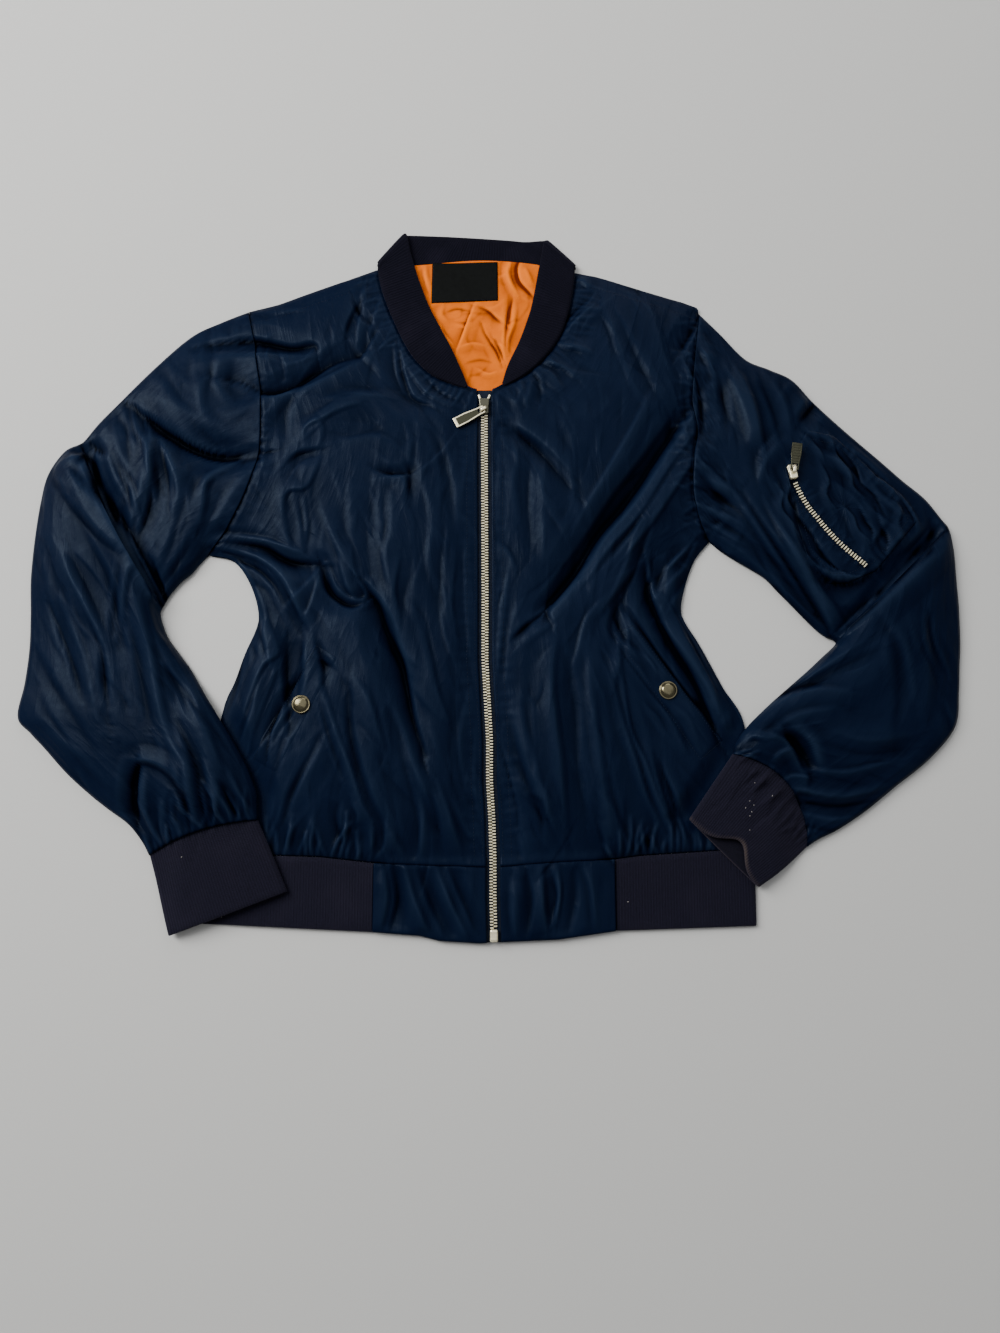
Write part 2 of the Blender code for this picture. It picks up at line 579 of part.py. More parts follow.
def thicken_down(bm, wall):
    """Makes a sheet a wall with upright sides, by a copy of it lower down."""
    made = bmesh.ops.extrude_face_region(bm, geom=bm.faces[:])
    verts = [item for item in made["geom"] if isinstance(item, bmesh.types.BMVert)]
    bmesh.ops.translate(bm, vec=(0.0, 0.0, -wall), verts=verts)


def flat_piece(name, outline, bottom, wall, colour):
    """Flat piece of cloth with the given outline."""
    bm = bmesh.new()
    bm.faces.new([bm.verts.new((x, y, bottom + wall)) for x, y in outline])
    thicken_down(bm, wall)
    return new_object(name, bm, colour)


def sheet_bmesh(columns, rows, plan):
    """Flat grid placed in plan by a function of the share across and the row."""
    bm = bmesh.new()
    bmesh.ops.create_grid(bm, x_segments=columns, y_segments=rows, size=1.0)
    for vert in bm.verts:
        share = (vert.co.x + 1.0) / 2.0
        row = round((vert.co.y + 1.0) / 2.0 * rows)
        x, y = plan(share, row)
        vert.co = (x, y, 0.0)
    return bm


def lift(bm, height):
    """Sets every vertex to its height."""
    places = table([(vert.co.x, vert.co.y) for vert in bm.verts])
    for vert, z in zip(bm.verts, height(places[:, 0], places[:, 1])):
        vert.co.z = z


def make_back():
    """Flat panel of the whole body, up to the shoulders and the back of the neck."""
    right = HEM_SEAM[:0:-1] + SIDE_RIGHT[:-1] + resample(ARMHOLE_RIGHT, ARMHOLE_STEPS).tolist()
    left = SIDE_LEFT[1:-1] + resample(ARMHOLE_LEFT, ARMHOLE_STEPS).tolist()
    top = SHOULDER_RIGHT[-2:0:-1] + BACK_NECK + SHOULDER_LEFT[1:-1]
    return flat_piece("back", right + top + left[::-1], 0.0, BACK_WALL, NYLON)


def front_edges(side, armhole, neck):
    """Outer edge, from hem to armpit to shoulder, and the zip and neck edge level with it."""
    outer = np.vstack([resample(side, SIDE_STEPS)[:-1], resample(armhole, ARMHOLE_STEPS)])
    away = ZIP_HALF_OPEN if neck is NECK_LEFT else -ZIP_HALF_OPEN
    armpit_y = side[-1][1]
    low = np.linspace(float(hem_seam_y(away)), armpit_y, SIDE_STEPS + 1)[:-1]
    high = np.linspace(armpit_y, neck[0][1], ARMHOLE_STEPS - NECK_STEPS + 1)[:-1]
    heights = np.concatenate([low, high])
    zip_edge = np.column_stack([zip_x(heights) + away, heights])
    return outer, np.vstack([zip_edge, resample(neck, NECK_STEPS)])


def make_front(name, side, armhole, neck):
    """One front: its lowest rows are cut finer, for the gathers."""
    outer, inner = front_edges(side, armhole, neck)
    last = len(outer) - 1

    def plan(share, row):
        x, y = outer[row] * (1.0 - share) + inner[row] * share
        foot_x, foot_y = outer[0] * (1.0 - share) + inner[0] * share
        return x, y + (float(hem_seam_y(foot_x)) - foot_y) * (1.0 - row / last) ** HEM_FOLLOW

    bm = sheet_bmesh(FRONT_COLUMNS, last, plan)
    limit = max(outer[GATHER_ROWS][1], inner[GATHER_ROWS][1]) + 1.0
    level = []
    for edge in bm.edges:
        one, other = edge.verts[0].co, edge.verts[1].co
        if abs(one.x - other.x) > abs(one.y - other.y) and max(one.y, other.y) < limit:
            level.append(edge)
    bmesh.ops.subdivide_edges(bm, edges=level, cuts=2, use_grid_fill=True)
    lift(bm, body_height)
    thicken_down(bm, SHELL_WALL)
    return new_object(name, bm, NYLON)


class Section:
    """Section across a sleeve or cuff: flat under, rolled at both edges and lofted on top."""

    def __init__(self, station, shares, edge):
        self.station = station
        self.shares = table(shares)
        self.edge = edge
        self.radius = edge / 2.0
        self.start = table([station.outer_x, station.outer_y])
        self.chord = table([station.inner_x, station.inner_y]) - self.start
        self.width = np.hypot(*self.chord)
        self.across = table([-self.chord[1], self.chord[0]]) / self.width
        self.line = None

    def follow(self, line):
        """Runs the section along a line in plan in place of its bowed chord."""
        self.line = line
        self.width = arc_lengths(line)[-1]

    def plan(self, shares):
        """Places in plan at shares of the way across."""
        if self.line is not None:
            return along_line(self.line, shares)
        bow = 4.0 * shares * (1.0 - shares) * self.station.bow
        return self.start + np.outer(shares, self.chord) + np.outer(bow, self.across)

    def points(self, top_height, inset):
        """Points round the section, moved into the wall by inset."""
        first = self.radius / self.width
        shares = first + self.shares * (1.0 - 2.0 * first)
        top = self.plan(shares)
        heights = top_height(self, shares, top[:, 0], top[:, 1]) - inset
        under = self.plan(np.linspace(1.0 - first, first, UNDER_STEPS + 1))
        low = arm_floor(under[:, 0], under[:, 1]) + inset
        near_roll = self.roll(1.0 - first, 1.0, inset)
        far_roll = self.roll(first, 0.0, inset)[::-1]
        return np.vstack([np.column_stack([top, heights]), near_roll, np.column_stack([under, low]), far_roll])

    def roll(self, share, edge_share, inset):
        """Points round one rolled edge, from the top down."""
        centre, edge = self.plan(table([share, edge_share]))
        outward = (edge - centre) / np.hypot(*(edge - centre))
        middle = float(arm_floor(centre[0], centre[1])) + self.radius
        radius = self.radius - inset
        made = []
        for angle in np.radians(ROLL_ANGLES):
            x, y = centre + outward * radius * np.cos(angle)
            made.append((x, y, middle + radius * np.sin(angle)))
        return made


def make_sleeve(name, stations, armhole, side):
    """A sleeve from its armhole to its cuff seam, as one tube."""
    seam = resample(armhole, ARMHOLE_STEPS)[::-1]
    shares = np.linspace(0.0, 1.0, ARMHOLE_STEPS + 1)
    outside, inside = [], []
    for index, station in enumerate(stations):
        blend = float(smooth(index / SLEEVE_BLEND_RINGS))
        from_cuff = (len(stations) - 1 - index) / CUFF_GATHER_RINGS
        pleat = CUFF_GATHER_HEIGHT * max(0.0, 1.0 - from_cuff) * np.where(np.arange(len(shares)) % 2, 1.0, -1.0)

        def top_height(section, across, x, y, blend=blend, pleat=pleat):
            near = np.minimum(across, 1.0 - across) * section.width
            fade = smooth((near - section.radius) / FADE)
            floor = arm_floor(x, y)
            own = (SLEEVE_LOFT * section.station.puff + section.station.lift) * rounded(near, SLEEVE_ROUNDING)
            own = (own + fold_height(x, y) + pleat) * fade
            from_body = body_height(x, y) - floor - section.edge
            top = floor + section.edge + from_body * (1.0 - blend) + own * blend
            return np.maximum(top, floor + SIDE_EDGE)

        section = Section(station, shares, SIDE_EDGE + (SLEEVE_EDGE - SIDE_EDGE) * blend)
        if index == 0:
            section.follow(seam + left_normals(seam) * SEAM * side)
        outside.append(section.points(top_height, 0.0))
        inside.append(section.points(top_height, SHELL_WALL))
    return cloth_wall(name, outside, inside, NYLON, ring=True)


def make_cuff(name, stations, dent=0.0):
    """A flattened rib cuff, ribbed on top. A dent draws the upper lip of its mouth back."""
    ribs = int(round(Section(stations[0], [0.0], CUFF_EDGE).width / RIB_PITCH))
    shares = np.linspace(0.0, 1.0, 2 * ribs + 1)
    ridge = RIB_HEIGHT * (np.arange(len(shares)) % 2)
    back = dent * np.exp(-(((shares - MOUTH_DENT_AT) / MOUTH_DENT_WIDTH) ** 2))
    back = back * smooth(np.minimum(shares, 1.0 - shares) / MOUTH_DENT_FADE)
    grids = []
    for inset, raised in ((0.0, ridge), (CUFF_WALL, 0.0 * ridge)):

        def top_height(section, across, x, y, raised=raised):
            return arm_floor(x, y) + CUFF_EDGE + CUFF_LOFT * section.station.puff * np.sin(np.pi * across) + raised

        rows = [Section(station, shares, CUFF_EDGE).points(top_height, inset) for station in stations]
        rows[-1][: len(shares), :2] -= np.outer(back, Section(stations[-1], shares, CUFF_EDGE).across)
        grids.append(rows)
    return cloth_wall(name, grids[0], grids[1], RIB_KNIT, ring=True)


def front_band(bands, neck):
    """Seam and free edge of a collar's front part, its seam on the front's own neck edge."""
    seam = along_line(resample(neck, NECK_STEPS), [band.share for band in bands])
    seam = [(x, y, band.seam_z) for (x, y), band in zip(seam, bands)]
    return [(near, (band.free_x, band.free_y, band.free_z)) for near, band in zip(seam, bands)]


def make_collar():
    """Rib band round the neck: front parts on top, folded at the shoulders, back part on the floor."""
    back = [((b.seam_x, b.seam_y, b.seam_z), (b.free_x, b.free_y, b.free_z)) for b in COLLAR_BACK]
    stations = np.array(front_band(COLLAR_RIGHT, NECK_RIGHT) + back + front_band(COLLAR_LEFT, NECK_LEFT)[::-1])
    toward = stations[:, 1] - stations[:, 0]
    stations[:, 0] += toward / np.linalg.norm(toward, axis=1)[:, None] * SEAM
    lines, ribs = [], []
    for here, after in zip(stations[:-1], stations[1:]):
        steps = 2 * max(1, int(round(np.linalg.norm(after[0] - here[0]) / RIB_PITCH)))
        for step in range(steps):
            lines.append(here + (after - here) * step / steps)
            ribs.append(step % 2)
    lines.append(stations[-1])
    ribs.append(0)
    lines = np.array(lines)
    grid = np.stack([lines[:, 0], lines.mean(axis=1), lines[:, 1]])
    normals = np.cross(np.gradient(grid, axis=0), np.gradient(grid, axis=1))
    normals = normals / np.linalg.norm(normals, axis=2)[:, :, None]
    normals = normals * np.sign(normals[1, 0, 2])
    rib = RIB_HEIGHT * np.array(ribs)[None, :, None]
    up = normals[:, :, 2:3]
    outside = grid + normals * (COLLAR_WALL / 2.0 + rib * (up > RIB_SLOPE))
    inside = grid - normals * (COLLAR_WALL / 2.0 + rib * (up < -RIB_SLOPE))
    return cloth_wall("collar", outside, inside, RIB_KNIT)


def make_hem_rib():
    """Rib band of the hem: the fronts' parts on top, round both ends, and the back part on the floor."""
    radius = RIB_WALL + END_FOLD_GAP / 2.0
    turn = radius - RIB_WALL / 2.0
    top = radius + turn
    path = []  # x and height of the middle of the wall, direction out of it and rib

    def ribbed(start, end):
        steps = 2 * round(abs(end - start) / RIB_PITCH)
        for index in range(steps + 1):
            path.append((start + (end - start) * index / steps, top, 0.0, 1.0, index % 2))

    def fold(middle, side, angles):
        for angle in np.radians(angles):
            out_x, out_z = side * np.cos(angle), np.sin(angle)
            path.append((middle + out_x * turn, radius + out_z * turn, out_x, out_z, 0))

    right, left = HEM_RIGHT_END + radius, HEM_LEFT_END - radius
    ribbed(RIB_RIGHT_START - SEAM, right)
    fold(right, -1.0, FOLD_ANGLES)
    for x in [right] + [x for x, _ in HEM_SEAM if right < x < left] + [left]:
        path.append((x, RIB_WALL / 2.0, 0.0, -1.0, 0))
    fold(left, 1.0, FOLD_ANGLES[::-1])
    ribbed(left, RIB_LEFT_START + SEAM)
    outside, inside = [], []
    for share in (0.0, 0.5, 1.0):
        for grid, offset in ((outside, RIB_WALL / 2.0), (inside, -RIB_WALL / 2.0)):
            row = []
            for x, z, out_x, out_z, rib in path:
                high = float(hem_seam_y(x)) - SEAM
                move = offset + (RIB_HEIGHT * rib if offset > 0 else 0.0)
                row.append((x + out_x * move, high + (float(hem_bottom_y(x)) - high) * share, z + out_z * move))
            grid.append(row)
    return cloth_wall("hem_rib", outside, inside, RIB_KNIT)


def make_hem_block(name, rib_start, side):
    """Shell-cloth block of the hem between the zip and the rib."""
    def plan(share, row):
        low, high = hem_bottom_y(side * ZIP_HALF_OPEN), hem_seam_y(side * ZIP_HALF_OPEN)
        zip_edge = zip_x(low + (high - low) * row / BLOCK_ROWS) + side * ZIP_HALF_OPEN
        x = float(rib_start * (1.0 - share) + zip_edge * share)
        low, high = float(hem_bottom_y(x)), float(hem_seam_y(x)) - SEAM
        return x, low + (high - low) * row / BLOCK_ROWS

    bm = sheet_bmesh(BLOCK_COLUMNS, BLOCK_ROWS, plan)

    def height(x, y):
        from_ends = np.minimum(np.abs(x - rib_start), np.abs(x - zip_x(y)) - ZIP_HALF_OPEN - PLACKET_FLAT)
        wave = np.abs(np.sin(x / BLOCK_WAVE_PITCH[0] + y / BLOCK_WAVE_PITCH[1])) * smooth(from_ends / BLOCK_WAVE_FADE)
        return tape_height(y) + LAY + BLOCK_WALL + BLOCK_WAVE * wave

    lift(bm, height)
    thicken_down(bm, BLOCK_WALL)
    return new_object(name, bm, NYLON)


def chain_bar(name, line, half, bottoms, wall, colour):
    """Bar of closed teeth along a line in plan, its underside at the given heights."""
    normals = left_normals(line)
    top = [np.column_stack([line + normals * side * half, bottoms + wall]) for side in (-1.0, 1.0)]
    under = [row - table([0.0, 0.0, wall]) for row in top]
    return cloth_wall(name, top, under, colour, soft=False)


def make_zip():
    """Tape under both fronts, closed chain, top stops and box."""
    ends = (SLIDER_MIDDLE[1] - SLIDER_SIZE[1] / 2.0, SLIDER_MIDDLE[1] + SLIDER_SIZE[1] / 2.0)
    y = np.linspace(CHAIN_START, ends[0] - CHAIN_GAP, CHAIN_STEPS + 1)
    chain_bar("zip_chain", np.column_stack([zip_x(y), y]), CHAIN_HALF, tape_height(y) + LAY, CHAIN_WALL, PALE_METAL)
    y = np.concatenate([[HEM_BOTTOM[5][1] + TAPE_INSET], y, [ends[1], NECK_RIGHT[0][1] - TAPE_INSET]])
    bm = sheet_bmesh(2, len(y) - 1, lambda share, row: (zip_x(y[row]) + TAPE_HALF * (2.0 * share - 1.0), y[row]))
    lift(bm, lambda x, y: tape_height(y))
    thicken_down(bm, TAPE_WALL)
    new_object("zip_tape", bm, TAPE)
    for name, side in (("zip_stop_right", -1.0), ("zip_stop_left", 1.0)):
        line = table([(SLIDER_MIDDLE[0] + side * x, ends[1] + CHAIN_GAP + y) for x, y in STOP_ENDS])
        chain_bar(name, line, STOP_HALF, tape_height(line[:, 1]) + LAY, CHAIN_WALL, PALE_METAL)
    y = CHAIN_START - CHAIN_GAP - ZIP_BOX[1] / 2.0
    bm = box_bmesh(ZIP_BOX)
    place(bm, 0.0, (float(zip_x(y)), y, float(tape_height(y)) + LAY))
    new_object("zip_box", bm, PALE_METAL, soft=False)


def box_bmesh(size):
    """Box standing on z = 0, with its upright and top edges bevelled."""
    bm = bmesh.new()
    bmesh.ops.create_cube(bm, size=1.0)
    bmesh.ops.scale(bm, vec=size, verts=bm.verts[:])
    bmesh.ops.translate(bm, vec=(0.0, 0.0, size[2] / 2.0), verts=bm.verts[:])
    edges = [edge for edge in bm.edges if max(vert.co.z for vert in edge.verts) > size[2] / 2.0]
    bmesh.ops.bevel(bm, geom=edges, offset=BOX_BEVEL, segments=1, affect="EDGES", profile=0.5, material=-1)
    return bm


def place(bm, turn, middle):
    """Turns a bmesh about z and moves it."""
    bmesh.ops.rotate(bm, cent=(0, 0, 0), matrix=Matrix.Rotation(turn, 3, "Z"), verts=bm.verts[:])
    bmesh.ops.translate(bm, vec=middle, verts=bm.verts[:])


def crown_bmesh():
    """Arch along x that stands in the top of a slider, at z = 0, and holds the pull."""
    outer = CROWN_REACH + CROWN_WIRE
    half = [(outer, -CROWN_ROOT), (outer, CROWN_RISE - CROWN_CHAMFER), (outer - CROWN_CHAMFER, CROWN_RISE)]
    inner = [(CROWN_REACH, -CROWN_ROOT), (CROWN_REACH, CROWN_RISE - CROWN_WIRE)]
    profile = half + [(-x, z) for x, z in half[::-1]] + [(-x, z) for x, z in inner] + inner[::-1]
    bm = bmesh.new()
    face = bm.faces.new([bm.verts.new((x, -CROWN_WIDTH / 2.0, z)) for x, z in profile])
    made = bmesh.ops.extrude_face_region(bm, geom=[face])
    verts = [item for item in made["geom"] if isinstance(item, bmesh.types.BMVert)]
    bmesh.ops.translate(bm, vec=(0.0, CROWN_WIDTH, 0.0), verts=verts)
    return bm


def make_slider(name, size, middle, bottom, turn, pivot, lie):
    """Slider body, joined by a Boolean to the crown that holds its pull."""
    bm = box_bmesh(size)
    place(bm, turn, (middle[0], middle[1], bottom))
    body = new_object(name, bm, PALE_METAL, soft=False)
    bm = crown_bmesh()
    place(bm, lie, (pivot[0], pivot[1], bottom + size[2]))
    crown = new_object(name + "_crown", bm, PALE_METAL, soft=False)
    crown.hide_render = True
    crown.display_type = "WIRE"
    join = body.modifiers.new("crown", "BOOLEAN")
    join.operation = "UNION"
    join.solver = "EXACT"
    join.object = crown


def make_pull(name, pivot, tip, pivot_z, rest_z, width, colour):
    """Pull tab: a plate with a slot at its root, whose bar turns under the slider's crown."""
    run = np.hypot(tip[0] - pivot[0], tip[1] - pivot[1])
    half = [(-ROOT_HALF, PULL_NECK / 2), (PULL_SLOT + PULL_RAIL, PULL_NECK / 2), (run * PULL_WIDE_FROM, width / 2),
            (run - PULL_CUT, width / 2), (run, width / 2 - PULL_CUT)]
    outer = half + [(x, -y) for x, y in half[::-1]]
    rail = PULL_NECK / 2.0 - PULL_RAIL
    slot = [(ROOT_HALF, -rail), (PULL_SLOT, -rail), (PULL_SLOT, rail), (ROOT_HALF, rail)]
    bm = bmesh.new()
    edges = []
    for outline in (outer, slot):
        verts = [bm.verts.new((x, y, PULL_WALL / 2.0)) for x, y in outline]
        edges += [bm.edges.new(pair) for pair in zip(verts, verts[1:] + verts[:1])]
    bmesh.ops.triangle_fill(bm, edges=edges, use_beauty=True)
    thicken_down(bm, PULL_WALL)
    tip_z = max(rest_z, pivot_z - PULL_DROP)
    slope = Matrix.Rotation(np.arctan2(pivot_z - tip_z, run), 3, "Y")
    bmesh.ops.rotate(bm, cent=(0, 0, 0), matrix=slope, verts=bm.verts[:])
    place(bm, lie_of(pivot, tip), (0.0, 0.0, 0.0))
    obj = new_object(name, bm, colour, soft=False)
    obj.location = Vector((pivot[0], pivot[1], pivot_z)) * MM


def lie_of(pivot, tip):
    """Angle in plan at which a pull lies."""
    return np.arctan2(tip[1] - pivot[1], tip[0] - pivot[0])


def top_skin(source, polygon):
    """Upper skin of a piece inside a convex polygon, as a bmesh in millimetres."""
    bm = bmesh.new()
    bm.from_mesh(source.data)
    bmesh.ops.transform(bm, matrix=Matrix.Scale(1.0 / MM, 4), verts=bm.verts[:])
    bm.normal_update()
    bmesh.ops.delete(bm, geom=[face for face in bm.faces if face.normal.z < TOP_SLOPE], context="FACES")
    middle = table(polygon).mean(axis=0)
    for (ax, ay), (bx, by) in zip(polygon, polygon[1:] + polygon[:1]):
        normal = Vector((by - ay, ax - bx, 0.0)).normalized()
        if normal.dot(Vector((middle[0] - ax, middle[1] - ay, 0.0))) > 0:
            normal.negate()
        bmesh.ops.bisect_plane(bm, geom=bm.verts[:] + bm.edges[:] + bm.faces[:], plane_co=(ax, ay, 0.0),
                               plane_no=normal, clear_outer=True)
    keep_highest_skin(bm)
    return bm


def keep_highest_skin(bm):
    """Drops the skins that lie under another, such as the inside of a sleeve's underside."""
    left = set(bm.faces)
    skins = []
    while left:
        todo = [left.pop()]
        skin = []
        while todo:
            face = todo.pop()
            skin.append(face)
            beside = {other for edge in face.edges for other in edge.link_faces if other in left}
            left -= beside
            todo += list(beside)
        skins.append(skin)
    skins.sort(key=lambda skin: max(face.calc_center_median().z for face in skin))
    lower = [face for skin in skins[:-1] for face in skin]
    if lower:
        bmesh.ops.delete(bm, geom=lower, context="FACES")


def make_patch(name, source, polygon, wall, colour):
    """Piece that lies on another: that piece's own points, moved up."""
    bm = top_skin(source, polygon)
    bmesh.ops.translate(bm, vec=(0.0, 0.0, LAY + wall), verts=bm.verts[:])
    thicken_down(bm, wall)
    return new_object(name, bm, colour)


def surface_at(source, x, y):
    """Height of a piece's top surface at a place in plan."""
    hit, place_hit, _, _ = source.ray_cast(Vector((x, y, RAY_START)) * MM, Vector((0.0, 0.0, -1.0)))
    return place_hit.z / MM if hit else 0.0


def make_snap(name, centre, flap):
    """Domed press stud on a pocket flap."""
    angles = np.linspace(0.0, 2.0 * np.pi, SNAP_STEPS, endpoint=False)
    rim = [(centre[0] + SNAP_RADIUS * np.cos(a), centre[1] + SNAP_RADIUS * np.sin(a)) for a in angles]
    base = max(surface_at(flap, x, y) for x, y in rim + [centre]) + LAY
    bm = bmesh.new()
    verts = [bm.verts.new((radius, 0.0, z)) for radius, z in SNAP_PROFILE]
    edges = [bm.edges.new(pair) for pair in zip(verts[:-1], verts[1:])]
    bmesh.ops.spin(bm, geom=verts + edges, cent=(0, 0, 0), axis=(0, 0, 1), angle=2 * np.pi, steps=SNAP_STEPS,
                   use_merge=True)
    bmesh.ops.remove_doubles(bm, verts=bm.verts[:], dist=MERGE)
    bmesh.ops.translate(bm, vec=(centre[0], centre[1], base), verts=bm.verts[:])
    return new_object(name, bm, PALE_METAL)


def make_zip_slider(front):
    """Slider at the top of the zip and its pull, which lies over the right front."""
    bottom = float(tape_height(SLIDER_MIDDLE[1])) + LAY
    make_slider("zip_slider", SLIDER_SIZE, SLIDER_MIDDLE, bottom, 0.0, PULL_PIVOT, lie_of(PULL_PIVOT, PULL_TIP))
    rest_z = surface_at(front, *PULL_TIP) + LAY + PULL_WALL
    make_pull("zip_pull", PULL_PIVOT, PULL_TIP, bottom + SLIDER_SIZE[2] + PIVOT_RISE, rest_z, PULL_WIDTH, PALE_METAL)


def make_sleeve_zip(pocket):
    """Short zip of the sleeve pocket, with its slider and pull."""
    line = resample(SLEEVE_ZIP, SLEEVE_CHAIN_STEPS)
    normals = left_normals(line)
    lines = [line + normals * side * SLEEVE_CHAIN_HALF for side in (-1.0, 0.0, 1.0)]
    under = [[surface_at(pocket, x, y) for x, y in one] for one in lines]
    bottoms = np.max(under, axis=0) + 2.0 * LAY
    chain_bar("sleeve_zip_chain", line, SLEEVE_CHAIN_HALF, bottoms, SLEEVE_CHAIN_WALL, PALE_METAL)
    half_x, half_y = SLEEVE_SLIDER_SIZE[0] / 2.0, SLEEVE_SLIDER_SIZE[1] / 2.0
    around = [(half_x * i, half_y * j) for i in (-1, 0, 1) for j in (-1, -0.5, 0, 0.5, 1)]
    bottom = max(surface_at(pocket, SLEEVE_SLIDER_MIDDLE[0] + x, SLEEVE_SLIDER_MIDDLE[1] + y) for x, y in around) + LAY
    lie = lie_of(SLEEVE_PULL_PIVOT, SLEEVE_PULL_TIP)
    make_slider("sleeve_zip_slider", SLEEVE_SLIDER_SIZE, SLEEVE_SLIDER_MIDDLE, bottom, SLEEVE_SLIDER_TURN,
                SLEEVE_PULL_PIVOT, lie)
    rest_z = surface_at(pocket, *SLEEVE_PULL_TIP) + LAY + PULL_WALL
    make_pull("sleeve_zip_pull", SLEEVE_PULL_PIVOT, SLEEVE_PULL_TIP, bottom + SLEEVE_SLIDER_SIZE[2] + PIVOT_RISE,
              rest_z, SLEEVE_PULL_WIDTH, DARK_METAL)


def main():
    for obj in list(bpy.data.objects):
        bpy.data.objects.remove(obj)
    make_back()
    front_right = make_front("front_right", SIDE_RIGHT, ARMHOLE_RIGHT, NECK_RIGHT)
    front_left = make_front("front_left", SIDE_LEFT, ARMHOLE_LEFT, NECK_LEFT)
    make_sleeve("sleeve_right", SLEEVE_RIGHT, ARMHOLE_RIGHT, -1.0)
    sleeve_left = make_sleeve("sleeve_left", SLEEVE_LEFT, ARMHOLE_LEFT, 1.0)
    make_cuff("cuff_right", CUFF_RIGHT)
    make_cuff("cuff_left", CUFF_LEFT, MOUTH_DENT)
    make_collar()
    make_hem_rib()
    make_hem_block("hem_block_right", RIB_RIGHT_START, -1.0)
    make_hem_block("hem_block_left", RIB_LEFT_START, 1.0)
    lining_bottom = BACK_WALL + LAY
    flat_piece("back_lining", LINING_OUTLINE, lining_bottom, LINING_WALL, LINING)
    flat_piece("neck_label", LABEL_OUTLINE, lining_bottom + LINING_WALL + LAY, LABEL_WALL, LABEL)
    make_zip()
    flap_right = make_patch("pocket_flap_right", front_right, POCKET_FLAP_RIGHT, FLAP_WALL, NYLON)
    flap_left = make_patch("pocket_flap_left", front_left, POCKET_FLAP_LEFT, FLAP_WALL, NYLON)
    pocket = make_patch("sleeve_pocket", sleeve_left, SLEEVE_POCKET, FLAP_WALL, NYLON)
    bpy.context.view_layer.update()
    make_zip_slider(front_right)
    make_snap("snap_right", SNAP_RIGHT, flap_right)
    make_snap("snap_left", SNAP_LEFT, flap_left)
    make_sleeve_zip(pocket)


main()
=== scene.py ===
"""Looks of a bomber jacket that lies flat on its back, elbows folded, with the cuffs on the hem's ends.

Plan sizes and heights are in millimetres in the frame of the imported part: +X to the wearer's left, +Y to the
collar, +Z up from the floor. Meshes are in metres. "right" and "left" are the wearer's. Cloth pieces are
thin shells on the form of the solids that they stand for. Their folds come from one relief, a map of heights
in plan made of rows of creases, so a crease runs on from one panel to the next.
"""

import logging
import math
from collections.abc import Callable
from dataclasses import dataclass, field
from enum import Enum

import bmesh
import bpy
import numpy as np
from bmesh.types import BMesh, BMVert
from bpy.types import Material, Node, NodeSocket, Object
from mathutils import Matrix, Vector
from mathutils.bvhtree import BVHTree

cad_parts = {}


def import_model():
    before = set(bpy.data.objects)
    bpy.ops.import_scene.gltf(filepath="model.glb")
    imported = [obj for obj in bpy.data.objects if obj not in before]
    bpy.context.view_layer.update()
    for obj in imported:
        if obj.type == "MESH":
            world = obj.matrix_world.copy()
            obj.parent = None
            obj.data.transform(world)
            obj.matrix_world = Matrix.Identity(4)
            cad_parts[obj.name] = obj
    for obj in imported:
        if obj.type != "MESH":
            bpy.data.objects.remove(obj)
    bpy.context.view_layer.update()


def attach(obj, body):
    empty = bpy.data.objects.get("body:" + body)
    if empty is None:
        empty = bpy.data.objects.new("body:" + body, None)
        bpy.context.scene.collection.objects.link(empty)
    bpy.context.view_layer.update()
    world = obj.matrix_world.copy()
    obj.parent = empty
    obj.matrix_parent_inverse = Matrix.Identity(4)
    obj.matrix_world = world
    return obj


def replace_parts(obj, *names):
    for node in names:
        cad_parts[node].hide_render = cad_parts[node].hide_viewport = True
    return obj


LOG = logging.getLogger("bomber_jacket")
MM = 0.001
GARMENT = "garment"
BAND_SCALE = 0.32  # scale of a wave texture, times the distance between two of its bands

Pair = tuple[float, float]
Triple = tuple[float, float, float]
Colour = Triple
Points = list[Pair]
Array = np.ndarray
Values = np.ndarray | float

# Outlines in plan, the same lines that the solids are cut to
SIDE_RIGHT = [(-241, -248), (-240, -224), (-237, -174), (-230, -125), (-220, -97), (-213, -75), (-202, -45),
              (-209, -16), (-225, 7), (-248, 13)]
SIDE_LEFT = [(219, -240), (218, -191), (215, -136), (198, -104), (179, -67), (164, -40), (168, -14),
             (177, 9), (190, 25)]
ARMHOLE_RIGHT = [(-248, 13), (-233, 31), (-215, 66), (-205, 103), (-204, 137), (-207, 172), (-214, 212),
                 (-221, 240)]
ARMHOLE_LEFT = [(190, 25), (181, 42), (175, 68), (176, 100), (181, 124), (177, 155), (181, 198), (187, 238)]
SHOULDER_RIGHT = [(-106, 280), (-139, 269), (-175, 255), (-195, 247), (-221, 240)]
SHOULDER_LEFT = [(75, 277), (94, 275), (139, 260), (181, 246), (187, 238)]
NECK_RIGHT = [(-14, 160), (-24, 164), (-36, 168), (-56, 178), (-74, 198), (-89, 228), (-100, 257),
              (-105, 279)]
NECK_LEFT = [(0, 160), (11, 166), (28, 176), (45, 191), (60, 212), (68, 234), (73, 258), (75, 276)]
BACK_NECK = [(-105, 282), (-85, 285), (-57, 288), (-18, 291), (16, 290), (48, 286), (75, 279)]
HEM_SEAM = [(-241, -248), (-178, -245), (-143, -246), (-98, -251), (-51, -253), (0, -254), (57, -250),
            (101, -248), (123, -245), (185, -241), (219, -240)]
HEM_BOTTOM = [(-241, -300.5), (-223, -301), (-99, -307), (-59, -310), (-43, -314), (-10, -316), (8, -315),
              (55, -313), (104, -306), (219, -302)]
